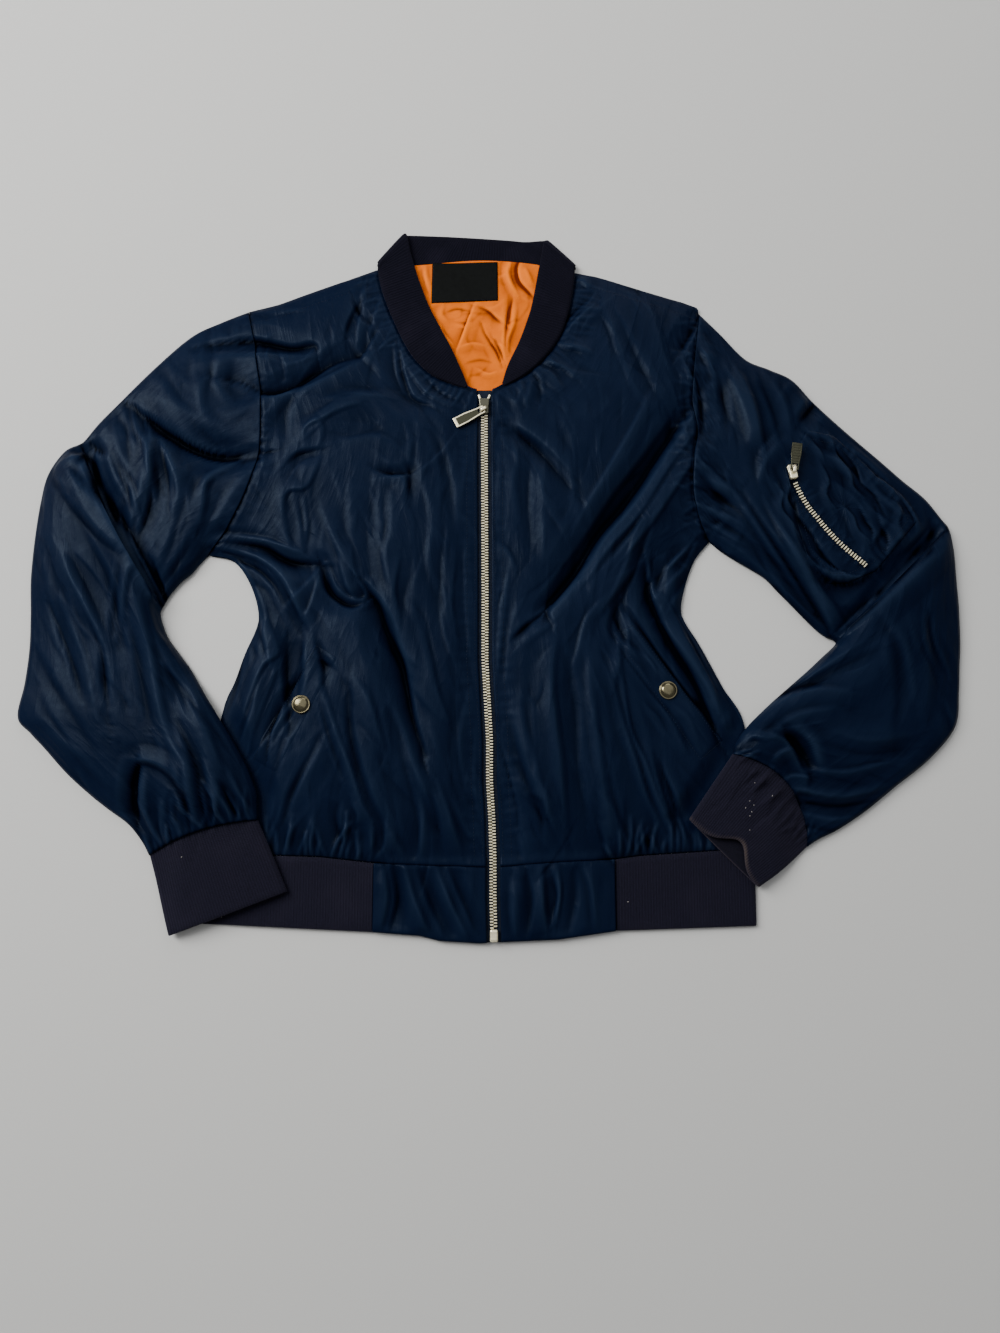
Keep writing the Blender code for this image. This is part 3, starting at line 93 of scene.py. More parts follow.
ZIP_LINE = [(2, -315.5), (1, -280), (1, -248), (0, -215), (-2, -183), (-2, -149), (-4, -115), (-6, -81),
            (-6, -29), (-7, 123), (-7, 162)]
PRESSED_RIGHT = [(-169, -320), (-169, -273), (-195, -216), (-197, -193), (-207, -169), (-218, -150),
                 (-229, -133), (-262, -85)]
PRESSED_LEFT = [(225, -320), (221, -270), (195, -241), (165, -214), (202, -160), (212, -140), (245, -111)]
LINING_SIDE_RIGHT = [(-92, 128), (-96, 175), (-99, 225), (-101, 277)]
LINING_SIDE_LEFT = [(70, 128), (71, 175), (71, 225), (71, 274)]
LINING_TOP = [(-101, 277), (-85, 283), (-57, 286), (-18, 289.5), (16, 288.5), (48, 284), (71, 274)]

ARM_POCKET = [(254, 88), (276, 122), (300, 118), (350, 70), (368, 40), (330, -4), (305, -15), (288, -15),
              (270, 8)]
ARM_ZIP = [(262.3, 74), (270, 57), (280, 42), (298, 20), (321, -0.5)]

# Arms, from armhole to cuff: outer and inner edge, bow of the section, share of the loft and lift at the
# elbow
SLEEVE_RIGHT = [
    (-222, 240.5, -249, 12.5, 31, 1.0, 0), (-247, 229, -256, 4, 24, 1.0, 0),
    (-272, 215, -262, -4, 16, 1.0, 0), (-304, 184, -271, -12, 8, 1.0, 0), (-334, 151, -279, -22, 2, 0.95, 0),
    (-350, 133, -282, -27, -1, 0.8, 0), (-361, 118, -284, -31, -3, 0.55, 0),
    (-366, 114, -286, -35, -3, 0.75, 6.5), (-379, 107, -287, -40, -3, 1.0, 6.0),
    (-392, 86, -284, -50, -3, 1.1, 4.5), (-397, 60, -279, -61, -2, 1.15, 3.0),
    (-400, 26, -270, -73, 0, 1.15, 1.5), (-401, -9, -260, -86, 0, 1.15, 0.5),
    (-399, -40, -252, -98, 0, 1.1, 0), (-398, -70, -244, -110, 0, 1.1, 0),
    (-400, -100, -236, -122, 0, 1.1, 0), (-404, -129, -229, -133, 0, 1.1, 0),
    (-392, -143, -223, -142, 0, 1.1, 0), (-379, -156, -217, -152, 0, 1.1, 0),
    (-359, -177, -207, -169, 0, 1.05, 0), (-338, -195, -201, -182, 0, 1.0, 0),
    (-322, -207, -197, -193, 1, 0.85, 0), (-305, -219, -196, -202, 3, 0.65, 0),
    (-293, -233, -195.5, -209, 5, 0.45, 0), (-286, -245, -195, -215.5, 6, 0.3, 0),
]
SLEEVE_LEFT = [
    (187.8, 238, 190.8, 24.5, -10, 1.0, 0), (205, 219, 199, 17, -7, 1.0, 0), (227, 194, 212, 8, -4, 1.0, 0),
    (248, 184, 225, 0, 0, 1.0, 0), (268, 174, 237, -8, 0, 1.0, 0), (286, 153, 248, -20, 0, 1.0, 0),
    (312, 127, 261, -34, 0, 1.0, 0), (341, 100, 272, -46, 0, 1.0, 0), (362, 80, 281, -55, 0, 0.95, 0),
    (380, 64, 288, -60, 0, 0.8, 0), (394, 45, 293, -62, 0, 0.55, 0), (400, 36, 296, -65, 0, 0.75, 6.5),
    (403, 16, 293, -69, 0, 1.0, 6.0), (403.5, -9, 284, -77, 0, 1.1, 4.5), (404, -35, 272, -88, 0, 1.15, 3.0),
    (403, -66, 258, -100, 0, 1.15, 1.5), (401, -86, 245, -111, 0, 1.15, 0.5),
    (399, -108, 232, -122, 0, 1.1, 0), (394, -137, 220, -133, 0, 1.1, 0), (371, -164, 212, -142, 0, 1.1, 0),
    (340, -188, 207, -149, -2, 1.0, 0), (313, -209, 204, -154, -8, 0.85, 0),
    (290, -224, 203, -157, -14, 0.6, 0), (274, -232, 202.5, -159, -18, 0.4, 0),
    (263, -239, 202, -160.5, -20, 0.3, 0),
]
CUFF_RIGHT = [(-286.8, -241.6, -196.4, -212.4, 6, 0.6, 0), (-285.5, -245.6, -194.8, -216.1, 6, 1.0, 0),
              (-279, -266, -186, -235, 4, 1.0, 0), (-272.5, -288, -177.5, -254, 2, 1.0, 0),
              (-266, -309, -169, -273, 0, 0.9, 0)]
CUFF_LEFT = [(264.4, -237.8, 203.8, -158.0, -21, 0.6, 0), (262.4, -239.4, 201.6, -161.1, -20, 1.0, 0),
             (251, -249, 190, -178, -13, 1.4, 0), (236, -260, 177.5, -196, -6, 1.8, 0),
             (221, -270, 165, -214, 0, 1.9, 0)]

# Collar: share of the neck seam, free edge and heights of the front parts; seam, free edge and heights behind
COLLAR_RIGHT = [(0.068, -21.8, 166.5, 8.8, 8.4), (0.147, -26.5, 179, 8.8, 7.6), (0.286, -36, 201, 8.8, 7.2),
                (0.455, -45, 219, 8.6, 6.8), (0.665, -57, 243, 8.2, 6.4), (0.859, -67, 270, 7.6, 6.2),
                (0.985, -74, 294, 7.0, 6.2)]
COLLAR_LEFT = [(0.085, 8.6, 169, 8.8, 8.4), (0.24, 14, 187, 8.8, 7.6), (0.40, 23.5, 208, 8.8, 7.2),
               (0.565, 30, 226, 8.6, 6.8), (0.715, 35.5, 245, 8.2, 6.4), (0.87, 42, 280, 7.6, 6.2),
               (0.985, 46, 303, 6.8, 6.4)]
COLLAR_BACK = [(-103.5, 283, -78.0, 312.5, 6.8, 6.4), (-104.5, 286, -80.3, 315, 4.1, 3.9),
               (-102, 288, -77.5, 315.4, 1.45, 1.45), (-85, 286, -64, 315, 1.3, 1.3),
               (-57, 289, -40, 314, 1.3, 1.3), (-18, 292, -14, 312.5, 1.3, 1.3),
               (16, 291, 14, 310.5, 1.3, 1.3), (48, 287, 30, 309, 1.3, 1.3),
               (72, 285, 44.5, 310, 1.45, 1.45), (75.5, 283, 49, 309, 4.1, 3.9),
               (74.5, 281, 47, 306, 6.8, 6.4)]

# Broad folds: three points of the curve, half width and height
BROAD_FOLDS = [
    (-216, 210, -185, 205, -159, 201, 9, -4.5), (-255, 174, -204, 159, -119, 197, 9, -3.5),
    (-265, 134, -240, 108, -205, 104, 10, -5.5), (-234, 29, -181, 8, -146, 2, 9, -5.0),
    (-146, 2, -137, -28, -111, -31, 10, -5.5), (-240, 19, -198, 6, -164, -40, 9, 4.0),
    (-113, -14, -80, -77, -57, -159, 10, -6.0), (-128, -50, -98, -110, -80, -180, 14, 4.5),
    (-144, -107, -117, -170, -100, -217, 11, 3.5), (-84, 186, -75, 158, -50, 151, 10, -2.4),
    (-169, 114, -134, 142, -106, 156, 12, 3.0), (-115, -98, -105, -153, -83, -224, 10, 3.5),
    (-75, -174, -61, -211, -56, -246, 10, 3.5), (-52, -140, -36, -190, -30, -244, 10, 3.0),
    (-166, -38, -176, -86, -181, -145, 10, -4.0), (-196, -51, -200, -98, -211, -145, 10, 3.5),
    (176, 151, 113, 61, 46, -36, 13, -7.0), (196, 120, 134, 41, 78, -33, 15, 4.5),
    (150, 148, 92, 60, 40, -5, 16, 3.0), (14, 129, 42, 107, 75, 67, 10, -3.5),
    (82, 132, 75, 87, 85, 37, 11, 3.0), (138, 13, 147, -51, 195, -148, 10, -5.0),
    (149, 6, 168, -64, 204, -137, 9, 4.0), (124, 9, 111, -29, 105, -73, 10, -4.5),
    (63, -29, 52, -98, 66, -240, 11, 4.0), (83, -73, 87, -141, 99, -250, 11, 4.0),
    (110, -81, 124, -162, 149, -228, 11, 4.0), (22, -120, 32, -170, 44, -240, 11, 3.5),
    (-318, 149, -268, 112, -205, 104, 11, -6.0), (-299, 59, -295, 118, -275, 55, 9, 3.5),
    (-210, 87, -241, 59, -276, -21, 14, 3.5), (-363, 68, -321, 24, -282, -81, 14, 4.0),
    (-378, 32, -335, -64, -322, -141, 14, 4.5), (-388, -21, -365, -73, -326, -120, 13, -3.5),
    (-308, 19, -291, -73, -254, -166, 13, 4.0), (-297, -165, -300, -199, -289, -232, 10, -6.5),
    (-277, -90, -240, -149, -224, -199, 12, 3.0), (185, 165, 188, 128, 182, 105, 9, -4.5),
    (188, 87, 219, 41, 265, -7, 11, 4.0), (215, 103, 242, 41, 293, -51, 11, 4.0),
    (202, 60, 232, 8, 275, -40, 9, -3.5), (221, 179, 231, 132, 243, 96, 12, 3.5),
    (388, 41, 362, 13, 333, -8, 11, -5.0), (371, -29, 311, -98, 242, -137, 16, 3.5),
    (382, -115, 324, -174, 269, -191, 12, -3.5), (238, -143, 258, -156, 262, -180, 10, -5.5),
]

# Creases: height, width on the left and on the right of the line, then its points
BODY_CREASES = [
    (-4.5, 4, 5, -260, 204, -216, 209, -180, 202, -160, 204, -156, 194),
    (1.8, 5, 6, -255, 195, -215, 194, -174, 194),
    (-3.6, 5, 4, -248, 172, -223, 169, -198, 158, -170, 169, -144, 186, -119, 195),
    (2.2, 4, 7, -203, 152, -170, 161, -135, 179, -117, 191), (-1.2, 3, 3, -192, 197, -186, 183, -186, 171),
    (-2.2, 4, 4, -126, 249, -118, 233, -107, 224), (-2.4, 4, 3, -121, 245, -129, 224, -131, 209),
    (1.5, 3, 3, -116, 245, -120, 224, -120, 205), (-2.2, 4, 5, -102, 224, -112, 205, -120, 190),
    (-3, 3, 6, -84, 202, -80, 177, -71, 155, -55, 147), (1.8, 4, 3, -87, 207, -85, 180, -78, 160),
    (1.6, 4, 3, -76, 186, -60, 162, -42, 150, -26, 146), (-1.6, 3, 3, -64, 178, -46, 159, -28, 151),
    (1.2, 3, 3, -100, 252, -107, 228, -112, 207), (-1.8, 6, 7, -170, 162, -182, 143, -182, 114),
    (1.6, 3, 3, -222, 100, -203, 100, -200, 86), (-2.4, 3, 4, -180, 92, -170, 101, -159, 104, -151, 106),
    (1.4, 3, 3, -168, 116, -164, 126, -151, 133, -132, 143, -117, 148),
    (1.2, 3, 3, -165, 106, -165, 123, -155, 132, -149, 123, -152, 108),
    (1.6, 4, 3, -182, 43, -182, 59, -176, 69, -163, 71, -155, 86, -151, 100),
    (1.4, 3, 3, -182, 59, -180, 39, -175, 19, -165, 14), (-1.6, 3, 3, -168, 59, -164, 39, -162, 18),
    (1.5, 3, 3, -164, 63, -161, 37, -163, 16), (1.3, 4, 4, -148, 52, -136, 23, -126, 4),
    (-4, 4, 5, -233, 23, -200, 19, -176, 6, -149, 3),
    (-4.6, 4, 4, -149, 3, -141, -19, -130, -30, -120, -34, -110, -30),
    (2.4, 3, 3, -143, 3, -135, -16, -123, -27, -111, -28, -109, -21, -116, -10),
    (2.8, 4, 4, -239, 19, -208, 12, -185, -3, -171, -25, -162, -45),
    (-2.8, 4, 3, -241, 9, -212, 4, -192, -11, -178, -32), (2.2, 3, 4, -233, 30, -199, 25, -165, 12),
    (2, 3, 3, -247, 15, -224, 8, -208, -12, -196, -35), (1.6, 3, 2, -149, -8, -154, -28, -161, -47),
    (1.4, 2, 3, -162, -45, -169, -31, -175, -21), (1.6, 4, 4, -148, 0, -164, -21, -178, -35),
    (-5.4, 5, 7, -114, -12, -99, -31, -90, -56, -78, -81, -72, -107, -67, -132, -57, -163),
    (2.6, 4, 4, -104, -19, -87, -40, -78, -66, -69, -92),
    (1.7, 3, 6, -62, -50, -54, -75, -47, -107, -37, -134), (1.5, 3, 4, -80, 9, -84, -21, -79, -49),
    (-1, 5, 5, -71, -8, -76, -30, -77, -56), (0.9, 2, 2, -45, -30, -39, -64, -25, -100),
    (1.2, 3, 3, -32, 9, -35, -30, -29, -73), (1, 3, 3, -24, 23, -22, -38, -16, -95),
    (-1.2, 4, 4, -41, 41, -45, -12, -38, -64), (1.3, 4, 3, -133, 16, -127, -10, -116, -31),
    (1.3, 3, 4, -123, 19, -119, -5, -108, -23), (-2.6, 3, 3, -103, 88, -87, 83, -70, 85),
    (1.6, 3, 3, -98, 80, -78, 80, -73, 57), (-2, 3, 3, -76, 93, -72, 82, -74, 58),
    (1.1, 3, 3, -71, 115, -73, 93), (2.2, 9, 6, -87, 66, -88, 32, -92, 6, -84, -26),
    (-2, 9, 9, -105, 70, -107, 32, -105, -3), (1.5, 5, 5, -58, 70, -52, 41, -54, 4, -45, -23),
    (0.8, 2, 2, -71, 83, -56, 92, -41, 109, -30, 125), (1.4, 6, 6, -122, 77, -123, 41, -115, 13),
    (1.4, 7, 7, -143, 150, -106, 154, -78, 132), (-1.3, 7, 7, -150, 158, -126, 164, -89, 162),
    (1.2, 5, 6, -133, 114, -100, 117, -77, 104), (-1.3, 6, 6, -59, 132, -46, 104, -40, 59),
    (1.5, 6, 5, -41, 114, -32, 77, -29, 32), (2.2, 3, 3, -204, -28, -195, -61, -188, -87),
    (1.8, 3, 3, -195, -45, -183, -73, -195, -85, -204, -107, -213, -134),
    (-2, 3, 4, -214, -71, -219, -104, -227, -129), (2, 3, 3, -184, -88, -194, -116, -203, -143, -209, -163),
    (1.6, 3, 3, -198, -99, -204, -129, -213, -151), (-1.6, 3, 3, -188, -95, -198, -126, -206, -153),
    (2, 3, 3, -162, -78, -169, -112, -189, -148, -208, -168), (-2, 3, 3, -157, -88, -168, -121, -184, -151),
    (-4, 5, 5, -176, -64, -175, -99, -170, -144), (-2.6, 4, 4, -163, -61, -164, -97, -172, -119),
    (1.5, 3, 3, -160, -132, -173, -156, -177, -173), (1.8, 5, 5, -151, -153, -170, -188, -180, -217),
    (1.8, 5, 5, -139, -146, -155, -174, -169, -207), (-1.4, 4, 4, -145, -153, -163, -186, -175, -219),
    (-2.2, 3, 3, -151, -64, -144, -85, -142, -107), (-1.6, 3, 3, -147, -81, -136, -87),
    (2, 3, 4, -143, -105, -131, -141, -118, -174, -109, -201, -100, -217),
    (-1.6, 4, 3, -146, -116, -136, -149, -125, -179),
    (2.4, 6, 6, -117, -107, -114, -141, -107, -168, -98, -194, -88, -215, -83, -237),
    (1.9, 4, 4, -114, -99, -103, -117, -95, -143, -88, -166),
    (-1.8, 5, 5, -122, -116, -118, -151, -108, -191),
    (2.4, 6, 5, -86, -116, -74, -141, -65, -169, -56, -191, -46, -217),
    (2, 4, 4, -75, -151, -63, -196, -58, -225, -59, -246), (-2, 4, 4, -68, -176, -61, -209, -63, -242),
    (1.8, 4, 5, -46, -183, -35, -214, -26, -242), (-1.4, 5, 5, -53, -191, -43, -229),
    (1.3, 4, 4, -31, -199, -21, -224, -11, -233), (-2.2, 5, 5, -128, -199, -131, -215, -123, -237),
    (1.6, 3, 3, -116, -201, -111, -211, -112, -219), (1.4, 3, 3, -100, -215, -99, -232, -105, -245),
    (1.5, 3, 3, -88, -217, -89, -237, -97, -248), (1.6, 4, 4, -84, -224, -74, -246),
    (1.3, 4, 4, -19, -107, -27, -149, -21, -191), (-1.3, 5, 5, -34, -132, -35, -174, -25, -207),
    (1, 3, 3, -13, -132, -15, -183, -10, -215), (1.3, 4, 5, -90, -255, -87, -281, -92, -305),
    (-1.5, 4, 4, -82, -253, -78, -281, -84, -307), (1.2, 4, 4, -73, -253, -64, -281, -51, -310),
    (-1.1, 4, 4, -60, -255, -51, -281, -38, -308), (1.2, 3, 3, -46, -255, -35, -281, -21, -311),
    (-1, 3, 3, -35, -255, -25, -278, -13, -305),
    (-7, 7, 8, 178, 150, 147, 103, 120, 62, 93, 30, 71, -5, 52, -30),
    (3, 4, 5, 182, 128, 153, 88, 128, 48, 100, 16, 81, -12),
    (2.2, 4, 4, 158, 139, 129, 99, 104, 66, 83, 34, 64, 6), (1.8, 3, 4, 182, 104, 160, 72, 137, 38, 112, 6),
    (-2.4, 4, 4, 167, 108, 142, 68, 119, 32, 98, 4), (1.8, 4, 4, 141, 160, 117, 114, 90, 68, 71, 34),
    (-4.6, 4, 4, 80, 6, 60, -21, 47, -39, 51, -52), (-3, 3, 3, 47, -38, 29, -52, 17, -63),
    (2.6, 6, 7, 24, -66, 41, -44, 55, -30, 72, -14), (1.8, 3, 3, 75, 270, 82, 268, 88, 260),
    (1.8, 3, 4, 64, 216, 76, 229, 93, 245), (-1.6, 3, 3, 60, 222, 73, 237, 87, 251),
    (1.7, 4, 3, 60, 203, 76, 201, 89, 196), (1.7, 3, 3, 49, 190, 62, 184, 74, 173),
    (1.8, 3, 4, 42, 184, 53, 177, 61, 163), (1.7, 4, 4, 33, 175, 33, 162, 30, 149),
    (1.5, 4, 3, 24, 169, 24, 158, 21, 149), (-1.8, 3, 4, 38, 178, 42, 163, 42, 149),
    (-2.6, 5, 5, 14, 128, 37, 109, 61, 79, 72, 66), (1.8, 4, 4, 19, 132, 45, 112, 70, 84),
    (1.7, 6, 6, 21, 108, 18, 75, 21, 41), (2, 7, 7, 47, 106, 44, 59, 46, 7),
    (-1.8, 6, 6, 33, 104, 31, 59, 33, 14), (-2, 6, 6, 74, 115, 75, 77, 81, 39),
    (1.4, 3, 4, 2, 23, 13, 14, 20, -3), (-1.3, 3, 3, 120, 262, 129, 260, 134, 253),
    (-2, 6, 6, 114, 228, 126, 195, 146, 149), (1.6, 6, 6, 100, 245, 115, 197, 130, 152),
    (1.5, 6, 6, 141, 245, 152, 197, 162, 158), (-3.4, 4, 5, 184, 228, 174, 210, 166, 195),
    (2.6, 3, 3, 167, 193, 178, 169, 181, 150, 180, 128), (1.6, 3, 3, 180, 114, 176, 77, 180, 36),
    (2, 4, 4, 180, 36, 165, 13, 144, -5), (2, 4, 4, 179, 27, 170, 4, 147, -19),
    (-3, 4, 5, 171, 23, 151, 4, 139, -23), (2.2, 4, 4, 185, 23, 171, -10, 154, -33),
    (-3, 5, 4, 138, 9, 139, -7, 132, -23), (1.8, 4, 4, 128, 41, 117, 6, 101, -30),
    (-2, 4, 4, 137, 41, 127, 9, 111, -30), (1.4, 3, 3, 3, -100, 7, -64, 11, -30, 16, 7),
    (1, 3, 3, 11, -107, 14, -73, 19, -38), (1.7, 3, 3, 93, -30, 80, -47, 73, -73, 69, -87),
    (1.8, 4, 4, 127, 6, 110, -16, 92, -40), (-5, 4, 5, 132, 6, 135, -21, 143, -44),
    (-4.4, 4, 4, 140, -30, 152, -64, 169, -92, 180, -117, 191, -149, 197, -158),
    (2.6, 3, 3, 141, 6, 139, -23, 147, -47, 165, -75, 181, -100, 189, -121),
    (2, 3, 3, 150, -28, 168, -63, 186, -99, 192, -126), (1.8, 3, 3, 160, -40, 177, -73, 194, -107),
    (-2, 3, 3, 157, -35, 175, -71, 191, -107), (1.5, 3, 3, 169, -40, 183, -73, 205, -116),
    (-2, 3, 3, 113, -30, 134, -64, 159, -99, 175, -117), (1.2, 3, 3, 108, -33, 126, -64, 149, -95),
    (1.6, 4, 4, 102, -40, 108, -73, 102, -107), (-2, 5, 5, 109, -31, 102, -50, 104, -66),
    (2.4, 3, 4, 108, -80, 112, -116, 117, -143, 128, -168, 136, -192, 147, -217),
    (-3.2, 4, 4, 105, -99, 113, -134, 124, -168, 131, -192, 145, -225),
    (2, 3, 3, 132, -156, 138, -183, 146, -209, 152, -233), (1.7, 3, 3, 144, -173, 156, -199, 165, -225),
    (-1.6, 3, 3, 140, -166, 150, -196, 157, -225),
    (2.4, 5, 6, 54, -61, 50, -99, 53, -134, 57, -168, 59, -201, 61, -233),
    (-1.8, 6, 6, 63, -81, 69, -116, 71, -168, 78, -217),
    (2.4, 7, 7, 82, -69, 83, -107, 88, -151, 92, -184, 99, -225),
    (-2, 5, 5, 88, -109, 93, -151, 100, -192, 108, -225), (1.8, 6, 6, 34, -116, 37, -166, 47, -209),
    (2, 7, 6, 17, -122, 24, -151, 35, -183, 44, -209), (-1.5, 5, 5, 27, -116, 34, -151, 44, -186),
    (1.6, 3, 3, 4, -144, 11, -173, 18, -199, 21, -222), (1.2, 3, 3, 7, -144, 15, -174, 23, -204, 25, -224),
    (-1.4, 2, 2, 5, -148, 13, -176, 19, -202, 22, -224), (1.6, 4, 4, 32, -191, 44, -199, 47, -212),
    (-1.2, 4, 4, 30, -199, 40, -212, 41, -232), (1.6, 5, 5, 23, -225, 28, -250),
    (1.5, 4, 4, 98, -199, 108, -225, 117, -245), (1.6, 5, 4, 90, -215, 99, -245),
    (1, 3, 3, 107, -64, 117, -71, 125, -83), (-1, 3, 3, 111, -59, 121, -68, 131, -78),
    (1, 3, 3, 114, -78, 125, -90, 135, -107), (1, 3, 3, 122, -64, 136, -85, 145, -97),
    (1.2, 4, 4, 152, -119, 166, -132, 174, -153), (-1.2, 4, 4, 145, -117, 158, -141, 166, -159),
    (1, 3, 3, 167, -107, 175, -121, 185, -141), (1, 4, 4, 129, -120, 137, -134, 147, -149),
    (1.5, 4, 4, 41, -253, 42, -281, 45, -307), (1.5, 3, 4, 54, -253, 56, -273, 53, -299),
    (-1.8, 3, 3, 50, -261, 53, -278, 49, -297), (1.3, 5, 5, 77, -253, 83, -273, 86, -305),
    (-1.1, 5, 5, 67, -255, 68, -281, 61, -310), (1.2, 5, 5, 17, -265, 17, -289, 20, -311),
    (-1, 4, 4, 28, -258, 32, -281, 28, -310),
    (-2.6, 1.6, 2.2, -159, -88, -166, -99, -174, -111, -178, -120, -182, -129, -186, -141, -188, -153, -189,
     -166),
    (-2.4, 2.4, 1.6, 117, -42, 133, -63, 149, -86, 160, -101, 170, -115, 184, -130, 197, -153),
    (-1, 1.2, 1.2, 99, -54, 113, -79, 134, -108, 146, -123, 163, -148, 173, -163),
    (1, 2, 2, 126, -73, 136, -85, 140, -97), (-1.1, 2, 2, 131, -119, 141, -129, 148, -143),
    (1, 2, 2, 143, -121, 155, -134, 161, -146), (-1, 2, 2, 104, -44, 111, -57, 114, -71),
    (1.1, 2, 2, 111, -40, 116, -56, 117, -73), (-2, 6, 10, -195, 127, -178, 154, -158, 182, -137, 205),
    (-1.6, 5, 8, -130, 210, -123, 197, -103, 177),
]
